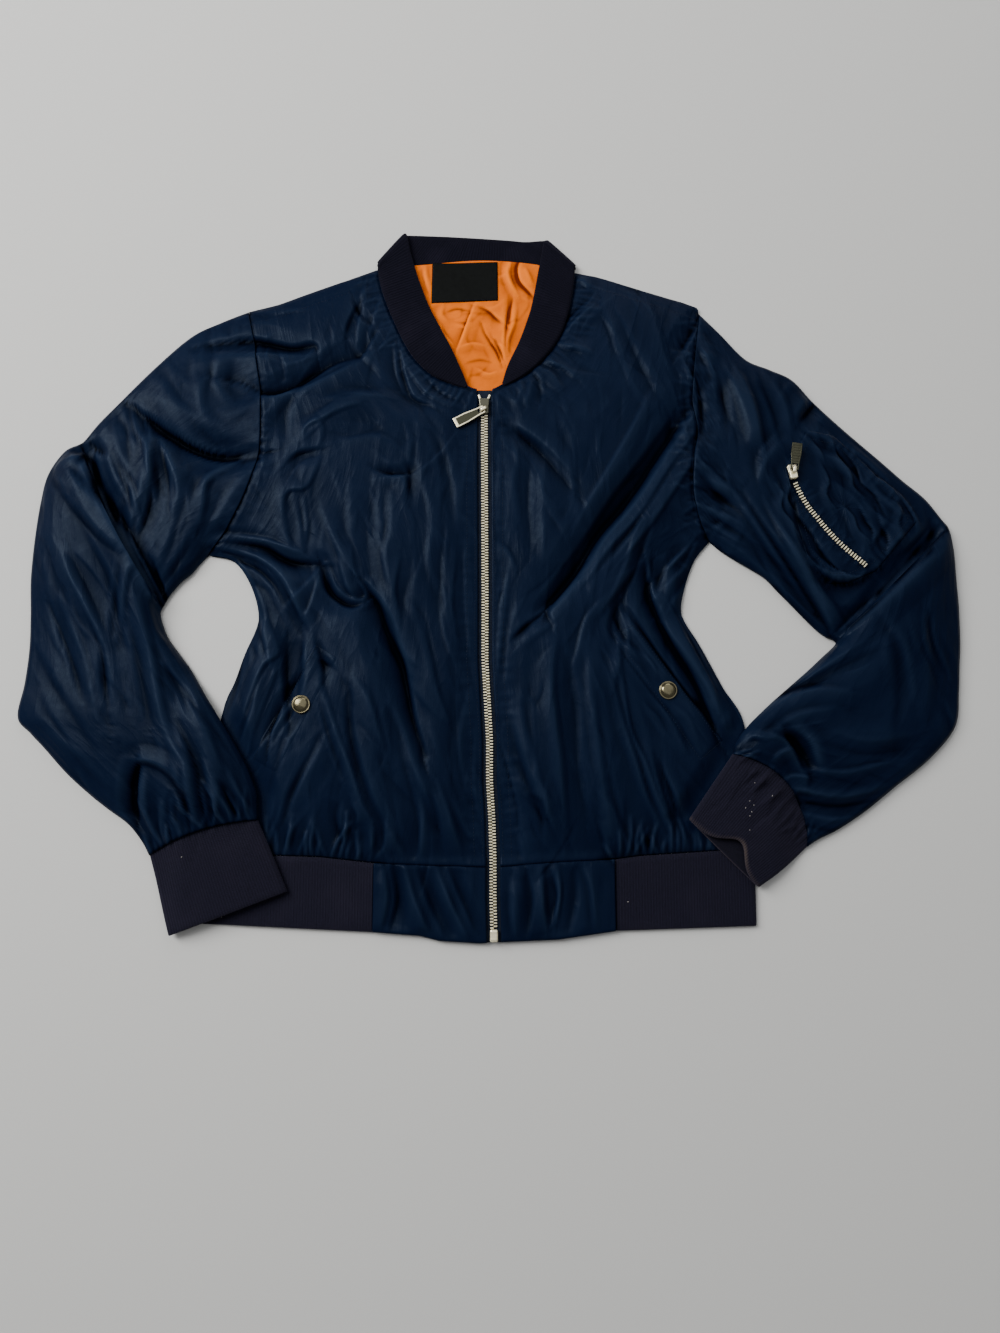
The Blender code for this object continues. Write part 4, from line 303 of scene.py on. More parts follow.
ARM_CREASES = [
    (-6.4, 5, 7, -320, 147, -300, 131, -264, 108, -235, 101, -204, 104),
    (2.6, 5, 6, -302, 116, -283, 114, -254, 98, -224, 92),
    (2.2, 4, 3, -320, 145, -312, 123, -302, 107, -299, 85), (1.8, 3, 3, -313, 145, -303, 125, -297, 112),
    (2.2, 4, 4, -299, 112, -297, 85, -293, 56), (2.4, 4, 4, -292, 116, -278, 89, -272, 65, -276, 53),
    (-3, 4, 4, -290, 105, -283, 82, -280, 60), (-3.2, 4, 4, -295, 82, -297, 55, -305, 26),
    (1.6, 4, 4, -303, 85, -306, 58, -314, 35), (2.2, 4, 5, -219, 99, -238, 86, -249, 74, -250, 56, -254, 37),
    (-1.6, 5, 5, -230, 96, -249, 85, -262, 63), (1.6, 6, 6, -215, 85, -230, 58, -246, 30),
    (-4.5, 5, 5, -355, 112, -345, 78, -330, 51, -319, 35),
    (2.4, 3, 4, -376, 95, -362, 98, -349, 85, -336, 58), (2, 4, 4, -376, 92, -341, 55, -306, 13),
    (2.2, 6, 6, -380, 82, -354, 49, -327, 22, -304, 7), (2, 7, 7, -371, 14, -353, -20, -334, -56, -328, -70),
    (-2.2, 8, 8, -359, 8, -341, -30, -327, -65), (1.6, 7, 7, -387, 5, -370, -48, -343, -99, -325, -126),
    (1.6, 6, 6, -346, 31, -321, -13, -308, -65), (2.2, 4, 5, -305, 9, -312, -23, -316, -58),
    (-2, 5, 5, -315, 5, -320, -30, -322, -65),
    (3, 5, 6, -301, -30, -289, -73, -279, -116, -268, -150, -251, -174, -245, -201),
    (-2.2, 6, 6, -307, -48, -297, -90, -286, -141), (2, 5, 5, -332, -65, -332, -99, -319, -134),
    (-3, 5, 6, -355, -22, -331, -73, -324, -116, -319, -143), (-2.4, 3, 3, -293, 5, -281, -30, -276, -65),
    (1.6, 4, 4, -283, -65, -262, -104, -239, -139), (-2, 4, 4, -277, -89, -260, -107, -241, -136),
    (1.5, 4, 4, -267, -82, -245, -116, -222, -151), (-5, 4, 4, -295, -166, -298, -191, -296, -214),
    (2.8, 4, 4, -305, -204, -302, -179, -293, -166, -271, -173, -253, -191),
    (1.8, 3, 3, -289, -176, -289, -199, -286, -224), (2, 4, 4, -254, -173, -249, -199, -243, -225),
    (-1.8, 3, 3, -245, -179, -239, -204, -235, -224), (1.8, 4, 4, -239, -166, -230, -193, -222, -219),
    (1.8, 4, 4, -231, -179, -223, -199, -212, -217), (-1.6, 3, 3, -224, -183, -216, -202, -208, -215),
    (1.6, 3, 3, -219, -174, -208, -196, -198, -212), (1.8, 3, 3, -274, -199, -275, -219, -271, -235),
    (1.8, 3, 3, -265, -196, -264, -215, -258, -230), (-1.6, 3, 3, -269, -199, -269, -215, -265, -232),
    (1.6, 5, 5, -374, -134, -360, -150, -344, -164), (1.4, 6, 6, -380, -107, -352, -150, -322, -184),
    (-1.4, 7, 7, -391, -73, -362, -116, -330, -160), (1.5, 6, 6, -243, 194, -245, 168, -232, 151),
    (1.4, 5, 5, -253, 186, -257, 149, -243, 120), (-1.4, 6, 6, -230, 190, -234, 164, -223, 145),
    (1.8, 7, 7, -293, 168, -278, 147, -252, 127), (1.6, 6, 6, -335, 131, -326, 103, -309, 76),
    (-1.6, 5, 5, -337, 147, -322, 122, -315, 85), (1.4, 5, 5, -346, 122, -334, 92, -321, 65),
    (1.8, 4, 4, -247, 17, -262, -8, -278, -28), (-1.8, 5, 5, -260, 22, -274, -1, -284, -15),
    (1.4, 5, 5, -273, 49, -280, 22, -288, 3), (2.8, 4, 4, 184, 205, 192, 188, 197, 170, 190, 160),
    (-3, 4, 4, 184, 160, 186, 138, 183, 118), (2, 5, 5, 202, 196, 213, 168, 221, 138, 227, 107),
    (-2.4, 6, 6, 194, 190, 204, 157, 206, 122), (2.4, 5, 6, 220, 175, 228, 147, 234, 112, 237, 92),
    (2, 6, 6, 248, 171, 257, 147, 261, 120), (-2, 5, 5, 238, 168, 247, 140, 253, 112),
    (-3.4, 3, 4, 270, 131, 279, 142, 290, 155), (1.6, 4, 3, 266, 136, 274, 147, 281, 157),
    (2.2, 4, 4, 174, 99, 193, 82, 214, 58), (1.8, 3, 3, 174, 76, 189, 72, 206, 66),
    (1.9, 3, 3, 174, 58, 193, 51, 215, 39), (1.8, 3, 3, 179, 45, 196, 35, 215, 22),
    (-2, 3, 3, 174, 87, 192, 71, 216, 47), (-1.6, 3, 3, 175, 67, 192, 62, 211, 54),
    (-1.6, 3, 3, 176, 51, 195, 43, 215, 30), (2.2, 4, 4, 194, 15, 227, -11, 260, -44, 288, -66),
    (-2.2, 4, 4, 193, 28, 226, 1, 259, -32, 283, -58), (2.6, 4, 4, 235, 60, 251, 24, 273, -16, 293, -56),
    (-3.4, 4, 4, 216, 65, 241, 22, 265, -16, 288, -54), (2.4, 4, 4, 206, 74, 227, 37, 252, -2, 276, -37),
    (1.8, 4, 4, 245, 40, 264, 5, 285, -27, 301, -49), (1.8, 4, 4, 183, 35, 213, 12, 243, -13),
    (-3.2, 4, 5, 274, -2, 296, -15, 316, -13, 330, -4), (2, 3, 4, 257, 40, 264, 15, 284, -5, 308, -8),
    (2, 4, 4, 231, 74, 236, 92, 251, 111), (-1.8, 4, 4, 226, 85, 233, 105, 248, 122),
    (1.6, 4, 4, 241, 85, 254, 58, 265, 22), (1.3, 4, 4, 276, 122, 297, 112, 313, 92),
    (1.3, 3, 3, 286, 101, 304, 92, 321, 74), (-1.3, 4, 4, 279, 111, 301, 101, 318, 83),
    (1.3, 4, 4, 293, 76, 310, 63, 323, 44), (1.3, 3, 3, 309, 112, 326, 98, 344, 80),
    (-1.2, 4, 4, 299, 85, 315, 72, 332, 56), (1.3, 4, 4, 328, 76, 341, 58, 359, 42),
    (1.2, 3, 3, 320, 58, 335, 44, 351, 31), (-1.2, 4, 4, 320, 89, 336, 71, 352, 53),
    (1.4, 4, 4, 334, 31, 323, 17, 329, 5), (-1.4, 4, 4, 345, 40, 333, 22, 338, 8),
    (1.6, 4, 4, 362, 40, 351, 26, 336, 5), (-4, 4, 4, 387, 38, 378, 22, 365, 12),
    (2.2, 4, 4, 378, 40, 366, 26, 354, 15), (1.8, 6, 6, 330, -41, 348, -73, 356, -116),
    (1.4, 8, 8, 348, -30, 367, -73, 367, -124), (-1.6, 7, 7, 339, -65, 343, -107, 337, -150),
    (-1.8, 4, 4, 371, -44, 374, -68, 386, -94), (1.5, 4, 4, 366, -41, 367, -67, 378, -92),
    (2.2, 5, 5, 211, -141, 235, -119, 269, -107, 298, -109), (-2.2, 4, 4, 209, -134, 238, -114, 276, -101),
    (1.8, 5, 5, 224, -150, 255, -129, 288, -123), (1.8, 5, 5, 242, -107, 277, -89, 315, -65),
    (-1.5, 6, 6, 259, -107, 293, -89, 328, -73), (-4.6, 4, 4, 246, -143, 256, -160, 263, -176),
    (2.6, 4, 4, 231, -144, 249, -153, 261, -169, 262, -188), (2, 3, 3, 253, -139, 267, -151, 273, -171),
    (-2.4, 4, 5, 252, -199, 288, -204, 324, -199), (2, 4, 4, 255, -191, 290, -196, 327, -189),
    (1.6, 4, 4, 254, -209, 285, -215, 312, -209), (-1.6, 4, 4, 259, -219, 283, -224, 300, -219),
    (1.6, 4, 4, 261, -174, 297, -176, 340, -166), (1.4, 6, 6, 283, -141, 315, -150, 358, -143),
    (-1.4, 6, 6, 279, -153, 312, -161, 350, -156), (1.8, 4, 4, 209, -151, 217, -146, 229, -148),
    (1.8, 3, 3, 242, -184, 252, -179, 266, -181), (1.8, 3, 3, 247, -196, 257, -191, 270, -194),
    (1.8, 3, 3, 233, -168, 240, -160, 252, -156),
    (3.4, 1.4, 6, -377, 107, -360, 92, -336, 55, -313, 18, -292, -22, -278, -54),
    (-2.2, 3.5, 1.6, -372, 109, -353, 92, -331, 58, -308, 21, -287, -18, -273, -49),
    (3.2, 6, 1.4, 390, 26, 366, -1, 346, -20, 321, -41, 298, -61),
    (-2.4, 1.6, 3.5, 386, 31, 362, 4, 342, -15, 317, -35, 295, -56),
    (-3, 3, 3, -356, 115, -349, 107, -338, 101), (1.6, 3, 3, -323, 85, -312, 67, -304, 40),
    (-1.8, 3, 3, -331, 92, -319, 72, -311, 47), (1.5, 4, 4, -219, 5, -204, -30, -200, -65),
    (-1.4, 4, 4, -228, 5, -215, -27, -210, -65), (1.6, 4, 4, -368, -30, -344, -82, -331, -133),
    (-2, 4, 4, -380, -30, -360, -73, -344, -116), (1.8, 4, 4, -257, -116, -239, -141, -224, -174),
    (-2, 4, 4, -264, -133, -250, -160, -238, -191), (1.4, 3, 3, -308, -183, -296, -199, -282, -220),
    (-1.6, 3, 3, -262, -191, -254, -204, -252, -225),
    (2.1, 1.5, 2.4, 297, 116, 301, 100, 311, 83, 314, 70, 323, 60),
    (-1.9, 1.6, 2.2, 308, 104, 318, 88, 321, 74, 332, 63, 340, 44),
    (2.1, 1.5, 2.6, 325, 95, 333, 82, 346, 72, 359, 60, 371, 39),
    (-1.8, 1.5, 2.2, 332, 53, 335, 37, 341, 25, 338, 9), (1.9, 1.4, 2.2, 286, 91, 292, 76, 289, 63, 298, 48),
    (1.9, 1.5, 2.4, 345, 60, 354, 51, 351, 37, 357, 25), (-1.9, 1.4, 2, 316, 54, 322, 41, 328, 30, 325, 18),
    (1.8, 1.5, 2.2, 276, 116, 285, 104, 289, 95), (1.9, 1.6, 2.4, 301, 54, 311, 44, 315, 31, 324, 22),
    (2.2, 1.6, 2.6, 243, 76, 251, 63, 249, 51, 261, 32, 269, 14),
    (-1.9, 1.5, 2.2, 262, 60, 264, 44, 274, 30, 285, 9, 302, -11),
    (1.9, 1.5, 2.4, 275, 14, 289, 0, 306, -9, 320, -9), (1.9, 1.4, 2.2, 254, 85, 258, 71, 255, 58, 263, 47),
    (-1.8, 1.4, 2, 357, 58, 364, 47, 367, 33), (-2.4, 3, 8, -309, 140, -290, 122, -258, 105, -223, 98),
    (-1.2, 2, 3, 236, -206, 225, -215, 212, -225), (1, 1.6, 4, 221, -163, 206, -186, 193, -207),
]
LINING_CREASES = [
    (1.7, 5, 1.6, -16, 248, -21, 234, -27, 216, -32, 203), (-1.6, 2, 5, -13, 245, -4, 241, 4, 233, 11, 227),
    (-0.9, 1.5, 1.5, -10, 229, -7, 220, -2, 211, 4, 201, 9, 187),
    (1.5, 1.6, 5, 13, 247, 11, 228, 10, 211, 11, 197),
    (-2.4, 3, 3, 25, 292, 22, 282, 24, 270, 31, 261, 37, 254),
    (1.9, 3, 3, 16, 292, 14, 279, 17, 267, 23, 255), (0.9, 3, 3, -62, 286, -60, 273, -56, 260),
    (-0.8, 2.5, 2.5, -65, 282, -62, 269, -58, 256), (-0.8, 2, 2, -41, 240, -32, 243, -21, 241),
    (0.8, 2.5, 2.5, -45, 245, -46, 237, -41, 230), (1.3, 3, 3, 21, 244, 19, 228, 14, 213, 13, 199),
    (-1.6, 2, 4, 2, 213, 7, 203, 11, 192), (-1.2, 3, 3, 18, 253, 16, 241, 15, 227),
    (0.7, 2.5, 2.5, -30, 205, -18, 209, -6, 207), (-0.6, 2, 2, -23, 191, -11, 194, 0, 191),
    (0.8, 2, 2, -13, 185, -4, 180, 4, 182), (1.1, 3, 3, 29, 282, 33, 274, 36, 265),
    (1.0, 2, 2, -48, 228, -44, 218, -36, 208),
]

# Corners of the neck patch and of both front pockets' flaps, from low left round to high left
NECK_PATCH = [(-55.5, 248.0), (5.0, 250.5), (4.5, 288.0), (-55.0, 286.5)]
FLAP_RIGHT = [(-204, -166), (-180, -180), (-128, -78), (-150, -66)]
FLAP_LEFT = [(175, -169), (197, -151), (120, -49), (100, -55)]

# Points round the fold of a rib band and round the rolled edge of an arm, in degrees
FOLD_ANGLES = [60.0, 25.0, -10.0, -45.0, -75.0]
ROLL_ANGLES = [66.0, 40.0, 12.0, -18.0, -48.0, -75.0]

# Places of the flecks of lint
FLECKS = [(214.2, -199.9), (215.5, -208.9), (213.7, -212.2), (213.3, -223.7), (218.9, -185.0),
          (232.6, -195.7), (210.6, -205.6), (217.4, -203.2), (-255.9, -245.7), (-223.3, -294.6),
          (112.6, -282.5)]


@dataclass(frozen=True)
class Half:
    """One half of the jacket: its word, its way out from the zip along x, and its outlines in plan."""

    word: str
    sign: int
    seam: Points
    armhole: Points
    shoulder: Points
    neck: Points


RIGHT = Half("right", -1, SIDE_RIGHT, ARMHOLE_RIGHT, SHOULDER_RIGHT, NECK_RIGHT)
LEFT = Half("left", 1, SIDE_LEFT, ARMHOLE_LEFT, SHOULDER_LEFT, NECK_LEFT)
HALVES = (RIGHT, LEFT)


def array(rows: object) -> Array:
    """Numbers as an array of floats."""
    return np.array(rows, float)


def smooth(value: Values) -> Array:
    """0 below 0, 1 above 1 and an S between."""
    value = np.clip(value, 0.0, 1.0)
    return value * value * (3.0 - 2.0 * value)


def rounded(distance: Array, reach: float) -> Array:
    """0 at an edge, nearing 1 past the reach."""
    return 1.0 - np.exp(-distance / reach)


def bell(distance: Values, width: float) -> Array:
    """1 at a line, fading to 0 within a few widths."""
    return np.exp(-((distance / width) ** 2))


def rolled_down(distance: Array, reach: float) -> Array:
    """1 at an edge and 0 past the reach, along a quarter of a circle."""
    return 1.0 - np.sqrt(1.0 - (1.0 - np.clip(distance / reach, 0.0, 1.0)) ** 2)


def rib_ridge(place: Array, pitch: float) -> Array:
    """1 on a rib and 0 between two ribs."""
    return np.abs(np.sin(np.pi * place / pitch)) ** 0.8


def curve(points: object, steps: int) -> Array:
    """Smooth curve through points.

    Args:
        points: Rows of numbers, which the curve passes through in order.
        steps: Steps between one row and the next.

    Returns:
        The rows of the curve, both ends included.
    """
    knots = array(points)
    ends = np.vstack([2 * knots[0] - knots[1], knots, 2 * knots[-1] - knots[-2]])
    made = []
    for index in range(len(knots) - 1):
        before, start, end, after = ends[index : index + 4]
        for share in np.arange(steps) / steps:
            made.append(0.5 * (2 * start + (end - before) * share
                               + (2 * before - 5 * start + 4 * end - after) * share**2
                               + (3 * start - before - 3 * end + after) * share**3))
    return np.vstack(made + [knots[-1]])


def crease_line(row: tuple, steps: int) -> Array:
    """Curve of a row of a table of creases, whose first three numbers are its height and widths."""
    return curve(array(row[3:]).reshape(-1, 2), steps)


def arc_lengths(points: Array) -> Array:
    """Distance along a line to each of its points."""
    return np.concatenate([[0.0], np.cumsum(np.linalg.norm(np.diff(points, axis=0), axis=1))])


def along(points: object, shares: object) -> Array:
    """Places at shares of the length of a line.

    Args:
        points: The line.
        shares: Shares of its length.

    Returns:
        The places.
    """
    points = array(points)
    lengths = arc_lengths(points)
    return np.column_stack([np.interp(array(shares) * lengths[-1], lengths, column) for column in points.T])


def evenly(fine: Array, steps: Array, places: Array) -> Array:
    """Rows of a fine table at even places, where steps are the distances from row to row."""
    lengths = np.concatenate([[0.0], np.cumsum(steps)])
    return np.column_stack([np.interp(places, lengths, column) for column in fine.T])


def units(vectors: Array) -> Array:
    """Rows of vectors, each made one long."""
    return vectors / np.maximum(np.linalg.norm(vectors, axis=1), 1e-9)[:, None]


def turned_left(way: Array) -> Array:
    """A way in plan, turned a quarter to the left."""
    return array([-way[1], way[0]])


def left_normals(points: Array) -> Array:
    """Unit normals to the left of a line in plan, at its points."""
    ways = np.gradient(array(points)[:, :2], axis=0)
    return units(np.column_stack([-ways[:, 1], ways[:, 0]]))


def signed_distance(points: object, x: Array, y: Array) -> tuple[Array, Array]:
    """Distance in plan from places to a line.

    Args:
        points: The line.
        x: Places along x.
        y: Places along y.

    Returns:
        The distance, positive to the left of the line, and the share of its length at the nearest point.
    """
    points = array(points)
    lengths = arc_lengths(points)
    best = np.full(np.shape(x), np.inf)
    side = np.ones(np.shape(x))
    share = np.zeros(np.shape(x))
    for index in range(len(points) - 1):
        (ax, ay), (bx, by) = points[index], points[index + 1]
        dx, dy = bx - ax, by - ay
        square = dx * dx + dy * dy
        if square < 1e-9:
            continue
        part = np.clip(((x - ax) * dx + (y - ay) * dy) / square, 0.0, 1.0)
        away = np.hypot(x - ax - part * dx, y - ay - part * dy)
        near = away < best
        best = np.where(near, away, best)
        side = np.where(near, np.where(dx * (y - ay) - dy * (x - ax) >= 0, 1.0, -1.0), side)
        passed = lengths[index] + part * (lengths[index + 1] - lengths[index])
        share = np.where(near, passed / lengths[-1], share)
    return best * side, share


def distance_to(points: object, x: Array, y: Array) -> Array:
    """Distance in plan from places to a line."""
    return np.abs(signed_distance(points, x, y)[0])


def beyond(line: Points, x: Array, y: Array, side: float) -> Array:
    """Distance along x from a line given by its y, positive to its right when side is 1."""
    knots = array(sorted(line, key=lambda point: point[1]))
    return side * (x - np.interp(y, knots[:, 1], knots[:, 0]))


def zip_x(y: Values) -> Array:
    """Middle of the zip at each y."""
    line = array(ZIP_LINE)
    return np.interp(y, line[:, 1], line[:, 0])


def hem_seam_y(x: Values) -> Array:
    """Seam between the fronts and the hem at each x."""
    line = array(HEM_SEAM)
    return np.interp(x, line[:, 0], line[:, 1])


def hem_bottom_y(x: Values) -> Array:
    """Lower edge of the hem at each x."""
    line = array(HEM_BOTTOM)
    return np.interp(x, line[:, 0], line[:, 1])


def tape_height(y: Values) -> Array:
    """Top of the zip tape at each y: low at the hem and the neck, high on the body."""
    return 4.2 + 6.2 * smooth((y + 262.0) / 170.0) - 2.6 * smooth((y - 55.0) / 110.0)


class HeightMap:
    """Heights over the plan on a grid of one-millimetre cells."""

    crease_reach = 3.2
    broad_reach = 3.0
    crest = 1.06
    crest_round = 0.012
    foot = 1.75
    flank_power = 1.12
    taper = 0.7

    def __init__(self, low: Pair, size: tuple[int, int]) -> None:
        """Starts flat. low is the corner of the map and size its columns and rows."""
        self.low = low
        self.z = np.zeros((size[1], size[0]))

    def window(self, points: Array, reach: float) -> tuple[slice, slice, Array, Array]:
        """Part of the map within reach of a line: its rows, its columns and their places.

        Args:
            points: The line.
            reach: Distance from it.

        Returns:
            Rows and columns of the cells, and the places of the cells along x and y.
        """
        rows, columns = self.z.shape
        left, bottom = points.min(axis=0) - reach - self.low
        right, top = points.max(axis=0) + reach - self.low
        across = slice(max(int(left), 0), min(int(right) + 1, columns))
        up = slice(max(int(bottom), 0), min(int(top) + 1, rows))
        x, y = np.meshgrid(np.arange(across.start, across.stop) + self.low[0],
                           np.arange(up.start, up.stop) + self.low[1])
        return up, across, x, y

    def crease(self, points: Array, height: float, left: float, right: float) -> None:
        """Adds one crease: a sharp crest or trough that fades to both sides and at both ends.

        Args:
            points: Its line.
            height: Height of the crest, or less than 0 for a trough.
            left: Width of its left flank.
            right: Width of its right flank.
        """
        reach = self.crease_reach * max(left, right)
        up, across, x, y = self.window(points, reach)
        if x.size == 0:
            return
        away, share = signed_distance(points, x, y)
        spread = np.sqrt((away / np.where(away > 0, left, right)) ** 2 + self.crest_round)
        shape = np.maximum(self.crest - spread / self.foot, 0.0) ** self.flank_power
        ends = np.sin(np.pi * (0.05 + 0.9 * share)) ** self.taper
        rim = np.exp(-np.maximum(np.abs(away) / reach - 0.9, 0.0) * 8.0)
        self.z[up, across] += height * shape * ends * rim

    def broad(self, points: Array, width: float, height: float) -> None:
        """Adds one soft fold of a half width and a height along a line.

        Args:
            points: Its line.
            width: Its half width.
            height: Its height, or less than 0 for a dip.
        """
        up, across, x, y = self.window(points, self.broad_reach * width)
        if x.size == 0:
            return
        away, share = signed_distance(points, x, y)
        self.z[up, across] += height * np.sin(np.pi * (0.08 + 0.84 * share)) ** self.taper * bell(away, width)

    def hollows(self, near: int = 1, far: int = 6, share: float = 0.55) -> "HeightMap":
        """How far each place lies under the places around it.

        Args:
            near: Cells around it that the first comparison takes in.
            far: Cells that the second one takes in.
            share: Share of the second one.

        Returns:
            The map of those depths, positive in a trough.
        """
        made = HeightMap(self.low, self.z.shape[::-1])
        for reach, full in ((near, 1.0), (far, share)):
            mean = self.z
            for axis in (0, 1, 0, 1):
                shifts = range(-reach, reach + 1)
                mean = sum(np.roll(mean, shift, axis) for shift in shifts) / len(shifts)
            made.z += full * (mean - self.z)
        return made

    def at(self, x: Array, y: Array) -> Array:
        """Height at places, between the cells.

        Args:
            x: Places along x.
            y: Places along y.

        Returns:
            The heights.
        """
        rows, columns = self.z.shape
        column = np.clip(array(x) - self.low[0], 0.0, columns - 1.001)
        row = np.clip(array(y) - self.low[1], 0.0, rows - 1.001)
        c, r = column.astype(int), row.astype(int)
        cs, rs = column - c, row - r
        lower = self.z[r, c] * (1 - cs) + self.z[r, c + 1] * cs
        upper = self.z[r + 1, c] * (1 - cs) + self.z[r + 1, c + 1] * cs
        return lower * (1 - rs) + upper * rs


class FoldField:
    """Way in which the cloth runs, from the creases nearby. It guides the many small creases between them."""

    reach = 16.0
    samples = 9

    def __init__(self, rows: list[tuple]) -> None:
        """Samples each crease every few millimetres.

        Args:
            rows: Table of creases.
        """
        places, ways = [], []
        for row in rows:
            line = along(array(row[3:]).reshape(-1, 2), np.linspace(0, 1, self.samples))
            step = np.diff(line, axis=0)
            angle = np.arctan2(step[:, 1], step[:, 0]) * 2.0
            places.append((line[:-1] + line[1:]) / 2.0)
            ways.append(np.column_stack([np.cos(angle), np.sin(angle)]) * math.sqrt(abs(row[0])))
        self.places = np.vstack(places)
        self.ways = np.vstack(ways)

    def angle(self, x: float, y: float) -> float:
        """Angle of the cloth's run at a place.

        Args:
            x: Place along x.
            y: Place along y.

        Returns:
            The angle, in radians.
        """
        near = np.exp(-np.hypot(self.places[:, 0] - x, self.places[:, 1] - y) / self.reach)
        way = (self.ways * near[:, None]).sum(axis=0)
        return math.atan2(way[1], way[0]) / 2.0


@dataclass(frozen=True)
class Gather:
    """Short creases across a seam, on its left side (1) or its right (-1), where the cloth is drawn up."""

    seam: Points
    side: int
    pitch: float
    length: float
    height: float
    overlap: float = 3.0

    def draw(self, target: HeightMap, chance: np.random.Generator) -> None:
        """Adds the creases, unevenly spaced.

        Args:
            target: Map that takes them.
            chance: Source of the random draws.
        """
        seam = curve(self.seam, 6)
        total = arc_lengths(seam)[-1]
        place = chance.uniform(0.0, self.pitch)
        while place < total:
            share = place / total
            middle, = along(seam, [share])
            normal = left_normals(along(seam, [max(share - 0.02, 0), min(share + 0.02, 1)]))[0]
            turn = chance.normal(0.0, 0.2)
            way = self.side * array([normal[0] * math.cos(turn) - normal[1] * math.sin(turn),
                                     normal[0] * math.sin(turn) + normal[1] * math.cos(turn)])
            reach = self.length * chance.uniform(0.5, 1.4)
            bend = turned_left(way) * chance.normal(0.0, 0.06) * reach
            start = middle - way * self.overlap
            line = curve([start, start + way * reach / 2 + bend, start + way * reach], 4)
            target.crease(line, self.height * chance.uniform(0.5, 1.3), self.pitch * 0.26, self.pitch * 0.32)
            place += self.pitch * chance.uniform(0.65, 1.4)


